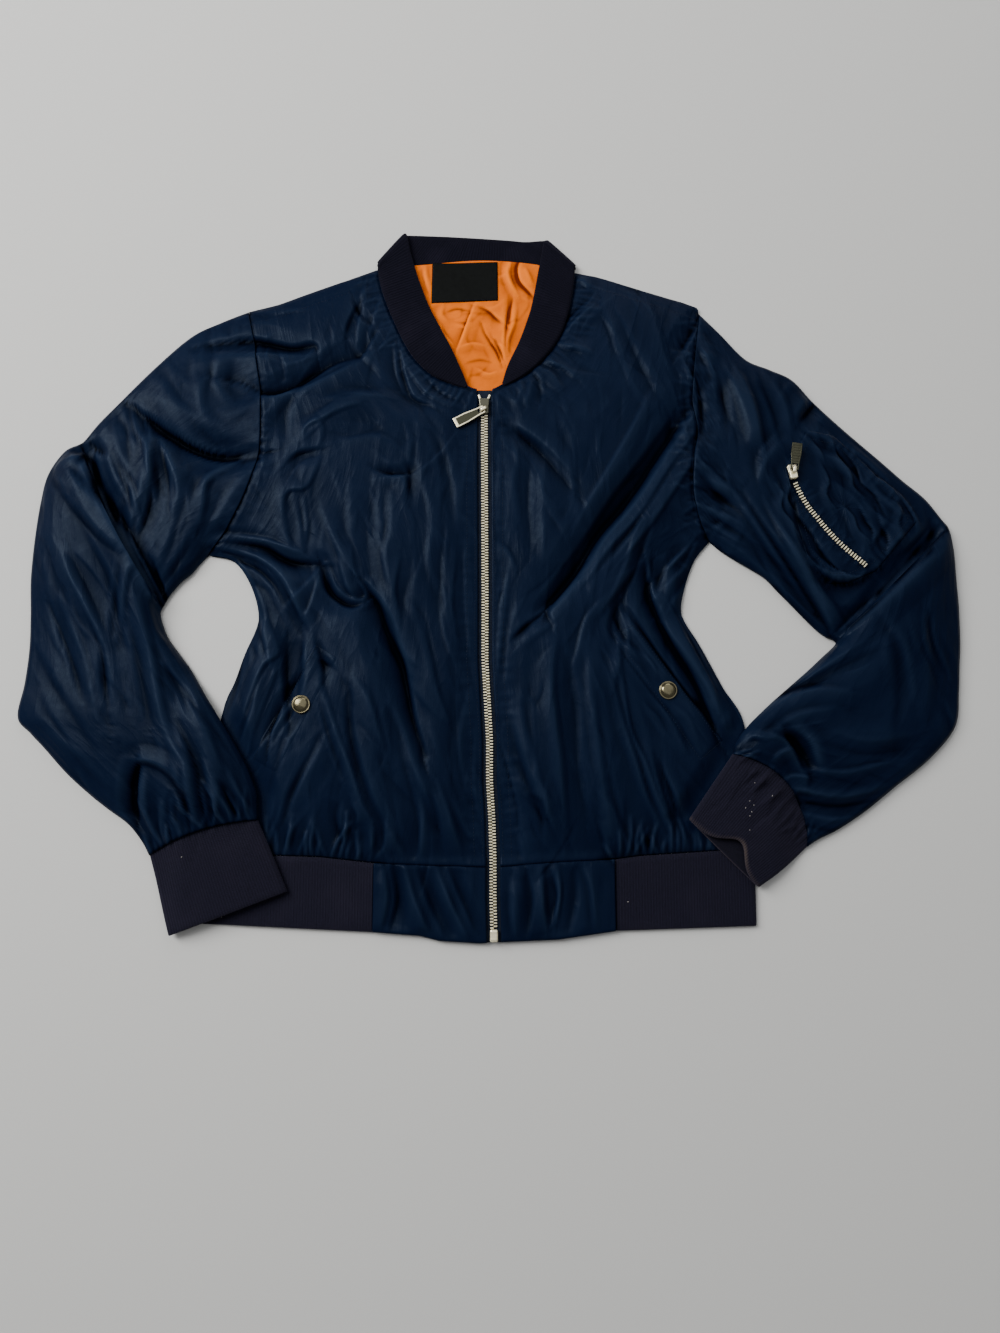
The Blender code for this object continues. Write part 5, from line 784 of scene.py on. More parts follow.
@dataclass
class Relief:
    """Heights of the fronts and of the arms, with all their creases.

    The loft is how full the jacket lies. The rounds are the distances from an edge over which it rises.
    """

    side_edge: float = 3.2
    hem_edge: float = 5.3
    hem_fade: float = 25.0
    body_loft: float = 11.5
    side_round: float = 30.0
    shoulder_round: float = 24.0
    hem_round: float = 45.0
    neck_round: float = 40.0
    placket_rise: float = 1.8
    placket_half: float = 13.5
    placket_blend: float = 22.0
    press_blend: float = 24.0
    under_arm: float = 6.2
    under_rim: float = 12.0
    under_blend: float = 30.0
    under_top: float = -58.0
    under_rise: float = 32.0
    seed: int = 7
    small_creases: int = 640
    broad_full: float = 0.6
    body_full: float = 1.05
    arm_full: float = 1.2
    steep: float = 0.52
    slack: float = 1.8
    low: Pair = (-430.0, -345.0)
    size: tuple[int, int] = (860, 700)
    join_y: float = -48.0

    def __post_init__(self) -> None:
        """Makes both maps, and the map of the hollows in each, which the finishes paint as shade and
        highlight.
        """
        self.body = HeightMap(self.low, self.size)
        self.arms = HeightMap(self.low, self.size)
        for *points, width, height in BROAD_FOLDS:
            target = self.arms if self.is_arm(*points[2:4]) else self.body
            target.broad(curve(array(points).reshape(-1, 2), 6), width, self.broad_full * height)
        for rows, target, full in ((BODY_CREASES, self.body, self.body_full),
                                   (ARM_CREASES, self.arms, self.arm_full)):
            for index, row in enumerate(rows):
                target.crease(crease_line(row, 5), full * row[0], *self.flanks(row[1], row[2], index))
        self.scatter()
        self.pucker()
        self.share()
        self.body_hollows = self.body.hollows()
        self.arm_hollows = self.arms.hollows()

    def flanks(self, left: float, right: float, index: int) -> Pair:
        """Widths of a crease with one steep flank, the narrower one, and a slack one.

        Args:
            left: Width on its left, from the table.
            right: Width on its right.
            index: Number of its row, which decides where both widths are alike.

        Returns:
            The widths of its left and right flank.
        """
        if left > right or (left == right and index % 2):
            return self.slack * left, self.steep * right
        return self.steep * left, self.slack * right

    def is_arm(self, x: float, y: float) -> bool:
        """Whether a place lies on an arm."""
        return x < -206.0 - 0.12 * abs(y - 120) or x > 186.0 or (y < -140 and x < -224)

    def scatter(self) -> None:
        """Adds small creases that follow the large ones, on the body and on each arm."""
        chance = np.random.default_rng(self.seed)
        on_body, on_arms = FoldField(BODY_CREASES), FoldField(ARM_CREASES)
        for run, target, across, up in ((on_body, self.body, (-245.0, 220.0), (-250.0, 285.0)),
                                        (on_arms, self.arms, (-405.0, -190.0), (-245.0, 240.0)),
                                        (on_arms, self.arms, (165.0, 405.0), (-245.0, 240.0))):
            area = (across[1] - across[0]) * (up[1] - up[0])
            for _ in range(int(self.small_creases * area / 250000.0)):
                x, y = chance.uniform(*across), chance.uniform(*up)
                angle = run.angle(x, y) + chance.normal(0.0, 0.25)
                length = chance.uniform(10.0, 60.0)
                way = array([math.cos(angle), math.sin(angle)])
                aside = turned_left(way) * (chance.normal(0.0, 0.05) * length)
                half = way * length / 2
                middle = array([x, y]) + aside
                line = curve([middle - half - aside, middle, middle + half - aside], 4)
                height = chance.uniform(0.15, 0.6) * chance.choice([-1.0, 1.0])
                target.crease(line, height, *self.flanks(*chance.uniform(1.2, 3.0, 2), 0))

    def pucker(self) -> None:
        """Draws the cloth up beside the seams."""
        chance = np.random.default_rng(self.seed + 1)
        hem_right = [point for point in HEM_SEAM if point[0] <= -98]
        hem_left = [point for point in HEM_SEAM if point[0] >= 101]
        zip_right, zip_left = [[(float(zip_x(y)) + aside, y) for y in range(-240, 150, 10)]
                               for aside in (-12.5, 12.5)]
        cuff_right = [(-286, -245), (-270, -236), (-240, -224), (-212, -217), (-195, -215.5)]
        cuff_left = [(263, -239), (240, -222), (214, -196), (202, -160.5)]
        on_body = [
            Gather(ARMHOLE_RIGHT, -1, 7.0, 18.0, 0.5), Gather(ARMHOLE_LEFT, 1, 5.5, 20.0, 0.7),
            Gather(NECK_RIGHT, 1, 4.6, 22.0, 0.8), Gather(NECK_LEFT, -1, 4.6, 24.0, 0.9),
            Gather(hem_right, 1, 5.4, 30.0, 2.5), Gather(hem_left, 1, 5.4, 28.0, 2.3),
            Gather(zip_right, 1, 8.0, 12.0, 0.45), Gather(zip_left, -1, 8.0, 12.0, 0.45),
        ]
        on_arms = [
            Gather(cuff_right, 1, 5.2, 30.0, 1.9), Gather(cuff_left, -1, 5.2, 26.0, 1.8),
            Gather(ARMHOLE_RIGHT, 1, 7.0, 16.0, 0.6), Gather(ARMHOLE_LEFT, -1, 6.0, 22.0, 1.0),
            Gather(ARM_ZIP, 1, 4.6, 13.0, 0.8), Gather(ARM_ZIP, -1, 4.6, 12.0, 0.8),
            Gather(ARM_POCKET[:6], -1, 5.0, 14.0, 0.8), Gather(ARM_POCKET[4:], -1, 5.0, 10.0, 0.7),
        ]
        for target, gathers in ((self.body, on_body), (self.arms, on_arms)):
            for gather in gathers:
                gather.draw(target, chance)

    def share(self) -> None:
        """Gives the fronts and the upper arms the same creases, so that they run across the armholes."""
        y = np.arange(self.size[1]) + self.low[1]
        upper = smooth((y - self.join_y) / 30.0)[:, None]
        body, arms = self.body.z.copy(), self.arms.z.copy()
        self.body.z = body + arms * upper
        self.arms.z = arms + body * upper

    def loft(self, x: Array, y: Array) -> tuple[Array, Array, Array]:
        """Form of the fronts without their creases, which goes on past the armholes.

        Args:
            x: Places along x.
            y: Places along y.

        Returns:
            The height at the side and hem edges, the loft above it, and the share of the creases that shows.
        """
        right, left = array(SLEEVE_RIGHT), array(SLEEVE_LEFT)
        under = [SIDE_RIGHT, SIDE_LEFT, right[:5, 2:4], left[:8, 2:4]]
        over = [SHOULDER_RIGHT, SHOULDER_LEFT, right[:5, 0:2], left[:7, 0:2]]
        side = np.min([distance_to(line, x, y) for line in under], axis=0)
        shoulder = np.min([distance_to(line, x, y) for line in over], axis=0)
        neck = np.minimum(distance_to(NECK_RIGHT, x, y), distance_to(NECK_LEFT, x, y))
        hem = np.maximum(y - hem_seam_y(x), 0.0)
        loft = rounded(side, self.side_round) * rounded(shoulder, self.shoulder_round)
        loft = loft * rounded(hem, self.hem_round) * (0.4 + 0.6 * rounded(neck, self.neck_round))
        fade = smooth(np.minimum(side, shoulder) / 9.0) * smooth((hem + 2.0) / 8.0)
        near_hem = self.side_edge + (self.hem_edge - self.side_edge) * np.exp(-hem / self.hem_fade)
        return near_hem, loft * self.body_loft, fade

    def front(self, x: Array, y: Array) -> Array:
        """Top of the fronts above the floor.

        Args:
            x: Places along x.
            y: Places along y.

        Returns:
            The heights.
        """
        near_hem, loft, fade = self.loft(x, y)
        free = np.maximum(near_hem + loft + self.body.at(x, y) * fade, self.side_edge)
        flat = self.side_edge + (near_hem - self.side_edge) * 0.6
        free = flat + (free - flat) * self.pressed(x, y)
        placket = tape_height(y) + self.placket_rise
        away = np.abs(x - zip_x(y)) - self.placket_half
        blend = smooth(away / self.placket_blend)
        ripple = self.body.at(x, y) * 0.6 * smooth((away + 6.0) / 6.0) * (1.0 - blend)
        return placket + (free - placket) * blend + ripple

    def pressed(self, x: Array, y: Array) -> Array:
        """0 where a forearm or cuff lies on the body, 1 clear of it.

        Args:
            x: Places along x.
            y: Places along y.

        Returns:
            The shares.
        """
        right = smooth(beyond(PRESSED_RIGHT, x, y, 1.0) / self.press_blend)
        left = smooth(beyond(PRESSED_LEFT, x, y, -1.0) / self.press_blend)
        return np.maximum(right * left, smooth((y + 75.0) / self.press_blend))

    def arm_floor(self, x: Array, y: Array) -> Array:
        """Underside of the forearms and cuffs: the floor, rising where the body lies under them.

        Args:
            x: Places along x.
            y: Places along y.

        Returns:
            The heights.
        """
        right = [(-240.0, HEM_BOTTOM[0][1])] + SIDE_RIGHT[:7]
        left = [(219.0, HEM_BOTTOM[-1][1])] + SIDE_LEFT[:6]
        out_right, out_left = [np.where(beyond(line, x, y, side) > 0, 0.0, distance_to(line, x, y))
                               for line, side in ((right, 1.0), (left, -1.0))]
        near = smooth(1.0 - (np.maximum(out_right, out_left) - self.under_rim) / self.under_blend)
        return self.under_arm * near * smooth((self.under_top - y) / self.under_rise)


class Graph:
    """A material's nodes, joined with short calls."""

    def __init__(self, name: str) -> None:
        """Starts from the Principled shader.

        Args:
            name: Name of the material.
        """
        self.material = bpy.data.materials.new(name)
        self.material.use_nodes = True
        self.tree = self.material.node_tree
        self.shader = self.tree.nodes["Principled BSDF"]

    def add(self, kind: str, inputs: dict | None = None, **settings: object) -> Node:
        """Adds a node.

        Args:
            kind: Blender's name of the node.
            inputs: Values or sockets for its inputs, by name or number.
            settings: Properties of the node.

        Returns:
            The node.
        """
        node = self.tree.nodes.new(kind)
        for key, value in settings.items():
            setattr(node, key, value)
        for key, value in (inputs or {}).items():
            self.join(value, node.inputs[key])
        return node

    def join(self, value: object, socket: NodeSocket) -> None:
        """Links a socket to an input, or sets its value.

        Args:
            value: The socket, or the value.
            socket: The input.
        """
        if isinstance(value, NodeSocket):
            self.tree.links.new(value, socket)
        else:
            socket.default_value = value

    def set(self, name: str, value: object) -> None:
        """Sets or links an input of the shader."""
        self.join(value, self.shader.inputs[name])

    def place(self, source: str = "Object", scale: Triple = (1.0, 1.0, 1.0)) -> NodeSocket:
        """Coordinates of the surface, scaled: Object in metres, or UV, also in metres along the cloth.

        Args:
            source: Object or UV.
            scale: Scale along each axis.

        Returns:
            The coordinates.
        """
        coordinates = self.add("ShaderNodeTexCoord")
        mapping = self.add("ShaderNodeMapping", {"Vector": coordinates.outputs[source]})
        mapping.inputs["Scale"].default_value = scale
        return mapping.outputs[0]

    def noise(self, vector: NodeSocket, scale: float, detail: float, distortion: float = 0.0) -> NodeSocket:
        """Soft random pattern, from 0 to 1."""
        return self.add("ShaderNodeTexNoise", {"Vector": vector, "Scale": scale, "Detail": detail,
                                               "Distortion": distortion}).outputs["Fac"]

    def ridges(self, vector: NodeSocket) -> NodeSocket:
        """Random pattern of sharp crests.

        Args:
            vector: Places the pattern is taken at.

        Returns:
            The pattern, from low to high.
        """
        return self.add("ShaderNodeTexNoise",
                        {"Vector": vector, "Scale": 1.0, "Detail": 3.0, "Roughness": 0.45, "Offset": 0.9,
                         "Gain": 1.6, "Distortion": 0.35}, noise_type="RIDGED_MULTIFRACTAL").outputs["Fac"]

    def bands(self, vector: NodeSocket, axis: str, scale: float, bend: float, **more: float) -> NodeSocket:
        """Parallel bands across an axis, from 0 to 1."""
        inputs = {"Vector": vector, "Scale": scale, "Distortion": bend, **more}
        return self.add("ShaderNodeTexWave", inputs, bands_direction=axis).outputs["Fac"]

    def span(self, value: NodeSocket, low: float, high: float, start: float = 0.3,
             end: float = 0.7) -> NodeSocket:
        """Maps a pattern between start and end to a range."""
        return self.add("ShaderNodeMapRange", {"Value": value, "From Min": start, "From Max": end,
                                               "To Min": low, "To Max": high}).outputs[0]

    def blend(self, share: NodeSocket, one: object, other: object) -> NodeSocket:
        """Colour between two colours, each a socket or three numbers.

        Args:
            share: Share of the second colour.
            one: First colour.
            other: Second colour.

        Returns:
            The colour.
        """
        node = self.add("ShaderNodeMix", data_type="RGBA")
        self.join(share, node.inputs["Factor"])
        for index, colour in ((6, one), (7, other)):
            self.join(colour if isinstance(colour, NodeSocket) else (*colour, 1.0), node.inputs[index])
        return node.outputs[2]

    def shade_depth(self, full: float) -> tuple[NodeSocket, NodeSocket]:
        """Shares of painted shade in a crease and of painted highlight on a crest, read from the shade_depth
        attribute, each from 0 to 1 at the full depth.
        """
        depth = self.add("ShaderNodeAttribute", attribute_name="shade_depth").outputs["Fac"]
        return self.span(depth, 0.0, 1.0, 0.0, full), self.span(depth, 0.0, 1.0, 0.0, -full)

    def bump(self, height: NodeSocket, distance: float, strength: float,
             below: NodeSocket | None = None) -> NodeSocket:
        """Relief of a pattern, on top of another.

        Args:
            height: The pattern.
            distance: Its height in metres.
            strength: Share of it that shows.
            below: Relief that lies under it.

        Returns:
            The normal.
        """
        node = self.add("ShaderNodeBump", {"Height": height, "Distance": distance, "Strength": strength})
        if below is not None:
            self.join(below, node.inputs["Normal"])
        return node.outputs[0]


@dataclass(frozen=True)
class NylonFinish:
    """Satin nylon: dark, with soft wide highlights, fine wrinkles along the warp and a flat weave; shade is
    painted into its creases and highlight onto their crests.
    """

    name: str = "shell_nylon"
    deep: Colour = (0.0014, 0.0039, 0.0138)
    light: Colour = (0.0026, 0.0060, 0.0186)
    # painted shade: colour deep in the creases
    painted_shade: Colour = (0.0001, 0.0004, 0.0018)
    # painted highlight: colour on the crests of the creases
    crest: Colour = (0.0062, 0.0124, 0.0292)
    full: float = 1.35
    roughness: float = 0.36
    wrinkle: float = 0.00022
    ridge: float = 0.0004
    weave: float = 0.00002
    sheen: float = 0.01
    gloss: float = 0.045
    tint: Colour = (0.62, 0.80, 1.0)

    def material(self) -> Material:
        """Builds the material.

        Returns:
            The material.
        """
        graph = Graph(self.name)
        broad = graph.noise(graph.place(), 16.0, 4.0)
        low, high = graph.shade_depth(self.full)
        shade = graph.blend(graph.span(broad, 0.0, 1.0), self.deep, self.light)
        # painted shade in the creases, then painted highlight on the crests
        shade = graph.blend(low, shade, self.painted_shade)
        graph.set("Base Color", graph.blend(high, shade, self.crest))
        # painted shade: less specular reflection deep in the creases
        graph.set("Specular IOR Level", graph.span(low, self.gloss, 0.2 * self.gloss, 0.0, 1.0))
        grain = graph.noise(graph.place(), 260.0, 2.0)
        graph.set("Roughness", graph.span(grain, self.roughness - 0.05, self.roughness + 0.06))
        streaks = graph.noise(graph.place("UV", (420.0, 45.0, 1.0)), 1.0, 3.0, 0.6)
        crumple = graph.noise(graph.place(), 95.0, 5.0, 0.8)
        ridges = graph.ridges(graph.place("UV", (46.0, 15.0, 1.0)))
        warp = graph.bands(graph.place("UV"), "X", 620.0, 0.4)
        normal = graph.bump(ridges, self.ridge, 1.0)
        normal = graph.bump(crumple, self.wrinkle, 0.4, normal)
        normal = graph.bump(streaks, self.wrinkle, 0.6, normal)
        graph.set("Normal", graph.bump(warp, self.weave, 0.25, normal))
        graph.set("Sheen Weight", self.sheen)
        graph.set("Sheen Roughness", 0.35)
        graph.set("Sheen Tint", (0.45, 0.6, 1.0, 1.0))
        graph.set("Specular Tint", (*self.tint, 1.0))
        return graph.material


@dataclass(frozen=True)
class RibKnitFinish:
    """Matt rib knit: rows of stitches along each rib and a short pile with a little lint, with shade painted
    into its hollows and a paler lip on a dented cuff.
    """

    name: str = "rib_knit"
    deep: Colour = (0.0030, 0.0028, 0.0080)
    light: Colour = (0.0066, 0.0062, 0.0154)
    rubbed: Colour = (0.0105, 0.0092, 0.0190)
    # painted shade: colour in the hollows between ribs and inside a cuff
    painted_shade: Colour = (0.0011, 0.0010, 0.0022)
    # paler colour of the lip of a dented cuff, where the depth is below 0
    pale_lip: Colour = (0.048, 0.036, 0.032)
    stitch: float = 1.5
    sheen: float = 0.08
    gloss: float = 0.12

    def material(self) -> Material:
        """Builds the material.

        Returns:
            The material.
        """
        graph = Graph(self.name)
        pile = graph.noise(graph.place(), 900.0, 3.0)
        rubbed = graph.noise(graph.place(), 28.0, 5.0)
        shade = graph.blend(graph.span(pile, 0.0, 1.0), self.deep, self.light)
        shade = graph.blend(graph.span(rubbed, 0.0, 0.4, 0.5, 0.75), shade, self.rubbed)
        low, high = graph.shade_depth(1.0)
        # painted shade in the hollows, and the paler colour where the depth is below 0
        graph.set("Base Color", graph.blend(high, graph.blend(low, shade, self.painted_shade), self.pale_lip))
        rows = BAND_SCALE / (self.stitch * MM)
        stitches = graph.bands(graph.place("UV"), "Y", rows, 2.0, **{"Detail Scale": 1.4})
        normal = graph.bump(stitches, 0.00018, 0.55)
        graph.set("Normal", graph.bump(pile, 0.00012, 0.6, normal))
        graph.set("Roughness", 0.92)
        graph.set("Sheen Weight", self.sheen)
        graph.set("Sheen Roughness", 0.5)
        graph.set("Sheen Tint", (0.62, 0.56, 0.9, 1.0))
        graph.set("Specular IOR Level", self.gloss)
        return graph.material


@dataclass(frozen=True)
class LiningFinish:
    """Orange satin lining, crumpled, with shade painted into its creases and highlight onto their crests."""

    name: str = "lining_satin"
    deep: Colour = (0.47, 0.082, 0.002)
    light: Colour = (0.74, 0.150, 0.003)
    # painted shade: colour deep in the creases
    painted_shade: Colour = (0.10, 0.009, 0.0004)
    # painted highlight: colour on the crests of the creases
    crest: Colour = (0.80, 0.172, 0.003)
    full: float = 0.75

    def material(self) -> Material:
        """Builds the material.

        Returns:
            The material.
        """
        graph = Graph(self.name)
        tone = graph.noise(graph.place(), 42.0, 5.0, 0.6)
        low, high = graph.shade_depth(self.full)
        shade = graph.blend(graph.span(tone, 0.0, 1.0, 0.2, 0.8), self.deep, self.light)
        # painted shade in the creases, then painted highlight on the crests
        shade = graph.blend(low, shade, self.painted_shade)
        graph.set("Base Color", graph.blend(high, shade, self.crest))
        crumple = graph.noise(graph.place(), 70.0, 4.0, 1.2)
        weave = graph.bands(graph.place(), "X", 520.0, 0.5)
        normal = graph.bump(crumple, 0.0006, 0.6)
        graph.set("Normal", graph.bump(weave, 0.00003, 0.3, normal))
        graph.set("Roughness", 0.38)
        graph.set("Specular IOR Level", 0.08)
        graph.set("Specular Tint", (1.0, 0.50, 0.12, 1.0))
        return graph.material


@dataclass(frozen=True)
class WovenFinish:
    """Close woven tape, patch or thread: ribs across and a slight fuzz."""

    name: str
    colour: Colour
    pitch: float = 0.7
    roughness: float = 0.8
    gloss: float = 0.12

    def material(self) -> Material:
        """Builds the material.

        Returns:
            The material.
        """
        graph = Graph(self.name)
        tone = graph.noise(graph.place(), 300.0, 4.0)
        darker = tuple(0.7 * part for part in self.colour)
        lighter = tuple(min(1.0, 1.25 * part) for part in self.colour)
        graph.set("Base Color", graph.blend(graph.span(tone, 0.0, 1.0), darker, lighter))
        threads = BAND_SCALE / (self.pitch * MM)
        across, length = [graph.bands(graph.place(), axis, threads, 0.6) for axis in "YX"]
        normal = graph.bump(across, 0.0001, 0.5)
        graph.set("Normal", graph.bump(length, 0.00006, 0.4, normal))
        graph.set("Roughness", self.roughness)
        graph.set("Specular IOR Level", self.gloss)
        return graph.material


@dataclass(frozen=True)
class MetalFinish:
    """Plated metal with fine scratches and dulled patches."""

    name: str
    colour: Colour
    roughness: float = 0.28
    wear: float = 0.12
    metallic: float = 1.0

    def material(self) -> Material:
        """Builds the material.

        Returns:
            The material.
        """
        graph = Graph(self.name)
        patch = graph.noise(graph.place(), 180.0, 5.0)
        dull = tuple(0.62 * part for part in self.colour)
        graph.set("Base Color", graph.blend(graph.span(patch, 0.0, 1.0, 0.35, 0.75), self.colour, dull))
        scratch = graph.noise(graph.place(scale=(250.0, 2600.0, 250.0)), 1.0, 2.0)
        graph.set("Roughness", graph.span(patch, self.roughness - self.wear / 2, self.roughness + self.wear))
        graph.set("Normal", graph.bump(scratch, 0.00003, 0.35))
        graph.set("Metallic", self.metallic)
        return graph.material


@dataclass(frozen=True)
class FloorFinish:
    """Plain pale floor."""

    name: str = "floor_plain"
    colour: Colour = (0.50, 0.50, 0.49)

    def material(self) -> Material:
        """Builds the material.

        Returns:
            The material.
        """
        graph = Graph(self.name)
        graph.set("Base Color", (*self.colour, 1.0))
        graph.set("Roughness", 0.9)
        return graph.material


class Slot(Enum):
    """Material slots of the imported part."""

    SHELL = "shell"
    RIB = "rib_knit"
    LINING = "lining"
    LABEL = "label"
    TAPE = "tape"
    PALE_METAL = "pale_metal"
    DARK_METAL = "dark_metal"


class Wardrobe:
    """The finishes of the jacket, each made once."""

    def __init__(self) -> None:
        """Makes the materials."""
        self.nylon = NylonFinish().material()
        self.rib = RibKnitFinish().material()
        # darker copy of the rib knit, with less sheen, for the collar
        self.darker_rib = RibKnitFinish("rib_knit_collar", (0.0014, 0.0014, 0.0044), (0.0032, 0.0031, 0.0084),
                                       sheen=0.04, gloss=0.07).material()
        self.lining = LiningFinish().material()
        self.tape = WovenFinish("zip_tape_weave", (0.0045, 0.0075, 0.017)).material()
        self.label = WovenFinish("label_weave", (0.0026, 0.0031, 0.0030), 0.5, 0.6, 0.05).material()
        self.dark_thread = WovenFinish("navy_thread", (0.0060, 0.0105, 0.0250), 0.3, 0.6).material()
        self.pale_metal = MetalFinish("pale_gold_metal", (1.0, 0.92, 0.66), 0.3, 0.1, 0.7).material()
        self.snap_metal = MetalFinish("snap_metal", (0.17, 0.15, 0.09), 0.16, 0.24).material()
        self.slider_metal = MetalFinish("slider_metal", (0.12, 0.115, 0.085), 0.2, 0.15).material()
        self.dark_metal = MetalFinish("gunmetal", (0.062, 0.062, 0.042), 0.25).material()
        self.lint = WovenFinish("lint", (0.26, 0.24, 0.23), 0.4, 0.95).material()


def finish_object(bm: BMesh, name: str, material: Material, slot: Slot, body: str = GARMENT,
                  soft: bool = True, wall: float = 0.0) -> Object:
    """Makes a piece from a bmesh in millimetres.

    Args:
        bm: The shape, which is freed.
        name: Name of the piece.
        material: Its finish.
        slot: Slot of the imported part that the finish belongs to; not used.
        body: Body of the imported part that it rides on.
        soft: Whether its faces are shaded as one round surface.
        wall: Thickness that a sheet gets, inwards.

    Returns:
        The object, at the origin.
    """
    bmesh.ops.scale(bm, vec=(MM, MM, MM), verts=bm.verts[:])
    for face in bm.faces:
        face.smooth = soft
    mesh = bpy.data.meshes.new(name)
    bm.to_mesh(mesh)
    bm.free()
    mesh.materials.append(material)
    obj = bpy.data.objects.new(name, mesh)
    bpy.context.scene.collection.objects.link(obj)
    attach(obj, body)
    LOG.info("%s: %d faces on %s", name, len(mesh.polygons), body)
    if wall > 0.0:
        solid = obj.modifiers.new("wall", "SOLIDIFY")
        solid.thickness = wall * MM
        solid.offset = -1.0
        solid.use_even_offset = False
    return obj


def cloth_bmesh(places: Array, shade_depth: Array | None = None, closed: bool = False) -> BMesh:
    """Grid of cloth whose vertices lie at given places.

    Args:
        places: Places in millimetres, by row and column.
        shade_depth: How deep each place lies in a crease, which the finish reads to paint shade in the crease
            and highlight on a crest.
        closed: Whether its last row or column is the first one again, as on a tube.

    Returns:
        The bmesh, with a UV map in metres along its rows and columns.
    """
    rows, columns = places.shape[:2]
    bm = bmesh.new()
    bmesh.ops.create_grid(bm, x_segments=columns - 1, y_segments=rows - 1, size=1.0)
    across = arc_lengths(places[rows // 2]) * MM
    up = arc_lengths(places[:, columns // 2]) * MM
    layer = bm.loops.layers.uv.new("cloth")
    # depth of each vertex in its creases, painted by the finish as shade and highlight
    depth = bm.verts.layers.float.new("shade_depth")
    for vert in bm.verts:
        column = round((vert.co.x + 1.0) / 2.0 * (columns - 1))
        row = round((vert.co.y + 1.0) / 2.0 * (rows - 1))
        vert.co = places[row, column]
        if shade_depth is not None:
            vert[depth] = shade_depth[row, column]
        for loop in vert.link_loops:
            loop[layer].uv = (across[column], up[row])
    if closed:
        bmesh.ops.remove_doubles(bm, verts=bm.verts[:], dist=0.0005)
    return bm


def face_up(bm: BMesh) -> None:
    """Turns the faces of an open sheet upwards.

    Args:
        bm: The sheet.
    """
    bmesh.ops.recalc_face_normals(bm, faces=bm.faces[:])
    if sum(face.normal.z for face in bm.faces) < 0:
        bmesh.ops.reverse_faces(bm, faces=bm.faces[:])


def close_holes(bm: BMesh) -> None:
    """Closes open ends and turns the faces outwards."""
    bmesh.ops.holes_fill(bm, edges=[edge for edge in bm.edges if edge.is_boundary])
    bmesh.ops.recalc_face_normals(bm, faces=bm.faces[:])


def coons(left: Array, right: Array, bottom: Array, top: Array, across: Array,
          up: Array) -> tuple[Array, Array]:
    """Plan of a panel between its four edges.

    Args:
        left: Edge at share 0 across, from bottom to top.
        right: Edge at share 1 across, from bottom to top.
        bottom: Edge at share 0 up, from left to right.
        top: Edge at share 1 up, from left to right.
        across: Shares across, one for each column.
        up: Shares up, one for each row.

    Returns:
        The places along x and along y, by row and column.
    """
    side_left, side_right = along(left, up)[:, None, :], along(right, up)[:, None, :]
    low, high = along(bottom, across)[None, :, :], along(top, across)[None, :, :]
    s, t = across[None, :, None], up[:, None, None]
    corners = ((1 - s) * (1 - t) * low[:, :1] + s * (1 - t) * low[:, -1:]
               + (1 - s) * t * high[:, :1] + s * t * high[:, -1:])
    plan = (1 - s) * side_left + s * side_right + (1 - t) * low + t * high - corners
    return plan[..., 0], plan[..., 1]


def even_shares(length: float, step: float, close: float = 0.0) -> Array:
    """Shares of a length at about even steps, with closer ones at its start for a rolled edge.

    Args:
        length: The length.
        step: About how long a step is.
        close: Length at the start that has closer steps.

    Returns:
        The shares.
    """
    shares = np.linspace(0.0, 1.0, max(2, round(length / step)) + 1)
    if close > 0.0:
        first = array([0.12, 0.3, 0.55, 0.8]) * close / length
        shares = np.unique(np.concatenate([shares[(shares == 0) | (shares * length > close)], first]))
    return shares


def skin_of(obj: Object) -> BVHTree:
    """Surface of a piece, for finding its height in plan.

    Args:
        obj: The piece.

    Returns:
        Its surface, in metres.
    """
    bm = bmesh.new()
    bm.from_mesh(obj.data)
    tree = BVHTree.FromBMesh(bm)
    bm.free()
    return tree


def height_over(skin: BVHTree, x: float, y: float) -> float:
    """Height of a surface, in millimetres, at a place in plan, or nan beside it."""
    hit = skin.ray_cast(Vector((x * MM, y * MM, 0.2)), Vector((0.0, 0.0, -1.0)))[0]
    return math.nan if hit is None else hit.z / MM


def top_of(skin: BVHTree, x: Array, y: Array) -> Array:
    """Heights of a surface at places in plan, with their mean beside it."""
    made = array([height_over(skin, *place) for place in zip(np.ravel(x), np.ravel(y))])
    return np.where(np.isnan(made), np.nanmean(made), made).reshape(np.shape(x))


def move_to(*place: float) -> Matrix:
    """A move without a turn."""
    return Matrix.Translation(Vector(place))


def round_edges(bm: BMesh, edges: list, radius: float, segments: int = 2) -> list[BMVert]:
    """Bevels edges and returns the new vertices."""
    return bmesh.ops.bevel(bm, geom=edges, offset=radius, offset_type="OFFSET", segments=segments,
                           affect="EDGES", profile=0.5, material=-1, clamp_overlap=True)["verts"]


def add_box(bm: BMesh, size: Triple, where: Matrix, bevel: float,
            segments: int = 2) -> list[BMVert]:
    """Adds a box with rounded edges to a bmesh.

    Args:
        bm: The bmesh, in millimetres.
        size: Its three sizes.
        where: Turn and place of its middle.
        bevel: Radius of its edges.
        segments: Steps round each edge.

    Returns:
        The box's vertices.
    """
    made = bmesh.ops.create_cube(bm, size=1.0, matrix=where @ Matrix.Diagonal((*size, 1.0)))
    edges = {edge for vert in made["verts"] for edge in vert.link_edges}
    return round_edges(bm, list(edges), bevel, segments)


def tube_bmesh(path: Array, radius: float, sides: int = 10) -> BMesh:
    """Round bar along a path in an upright plane, with closed ends.

    Args:
        path: Middle of the bar, point by point.
        radius: Its radius.
        sides: Number of its sides.

    Returns:
        The bar.
    """
    ways = units(np.gradient(path, axis=0))
    aside = units(np.cross(ways, array([0.0, 0.0, 1.0])))
    other = np.cross(ways, aside)
    angles = np.linspace(0.0, 2.0 * np.pi, sides + 1)
    ring = (np.cos(angles)[None, :, None] * aside[:, None, :]
            + np.sin(angles)[None, :, None] * other[:, None, :])
    bm = cloth_bmesh(path[:, None, :] + radius * ring, closed=True)
    close_holes(bm)
    return bm


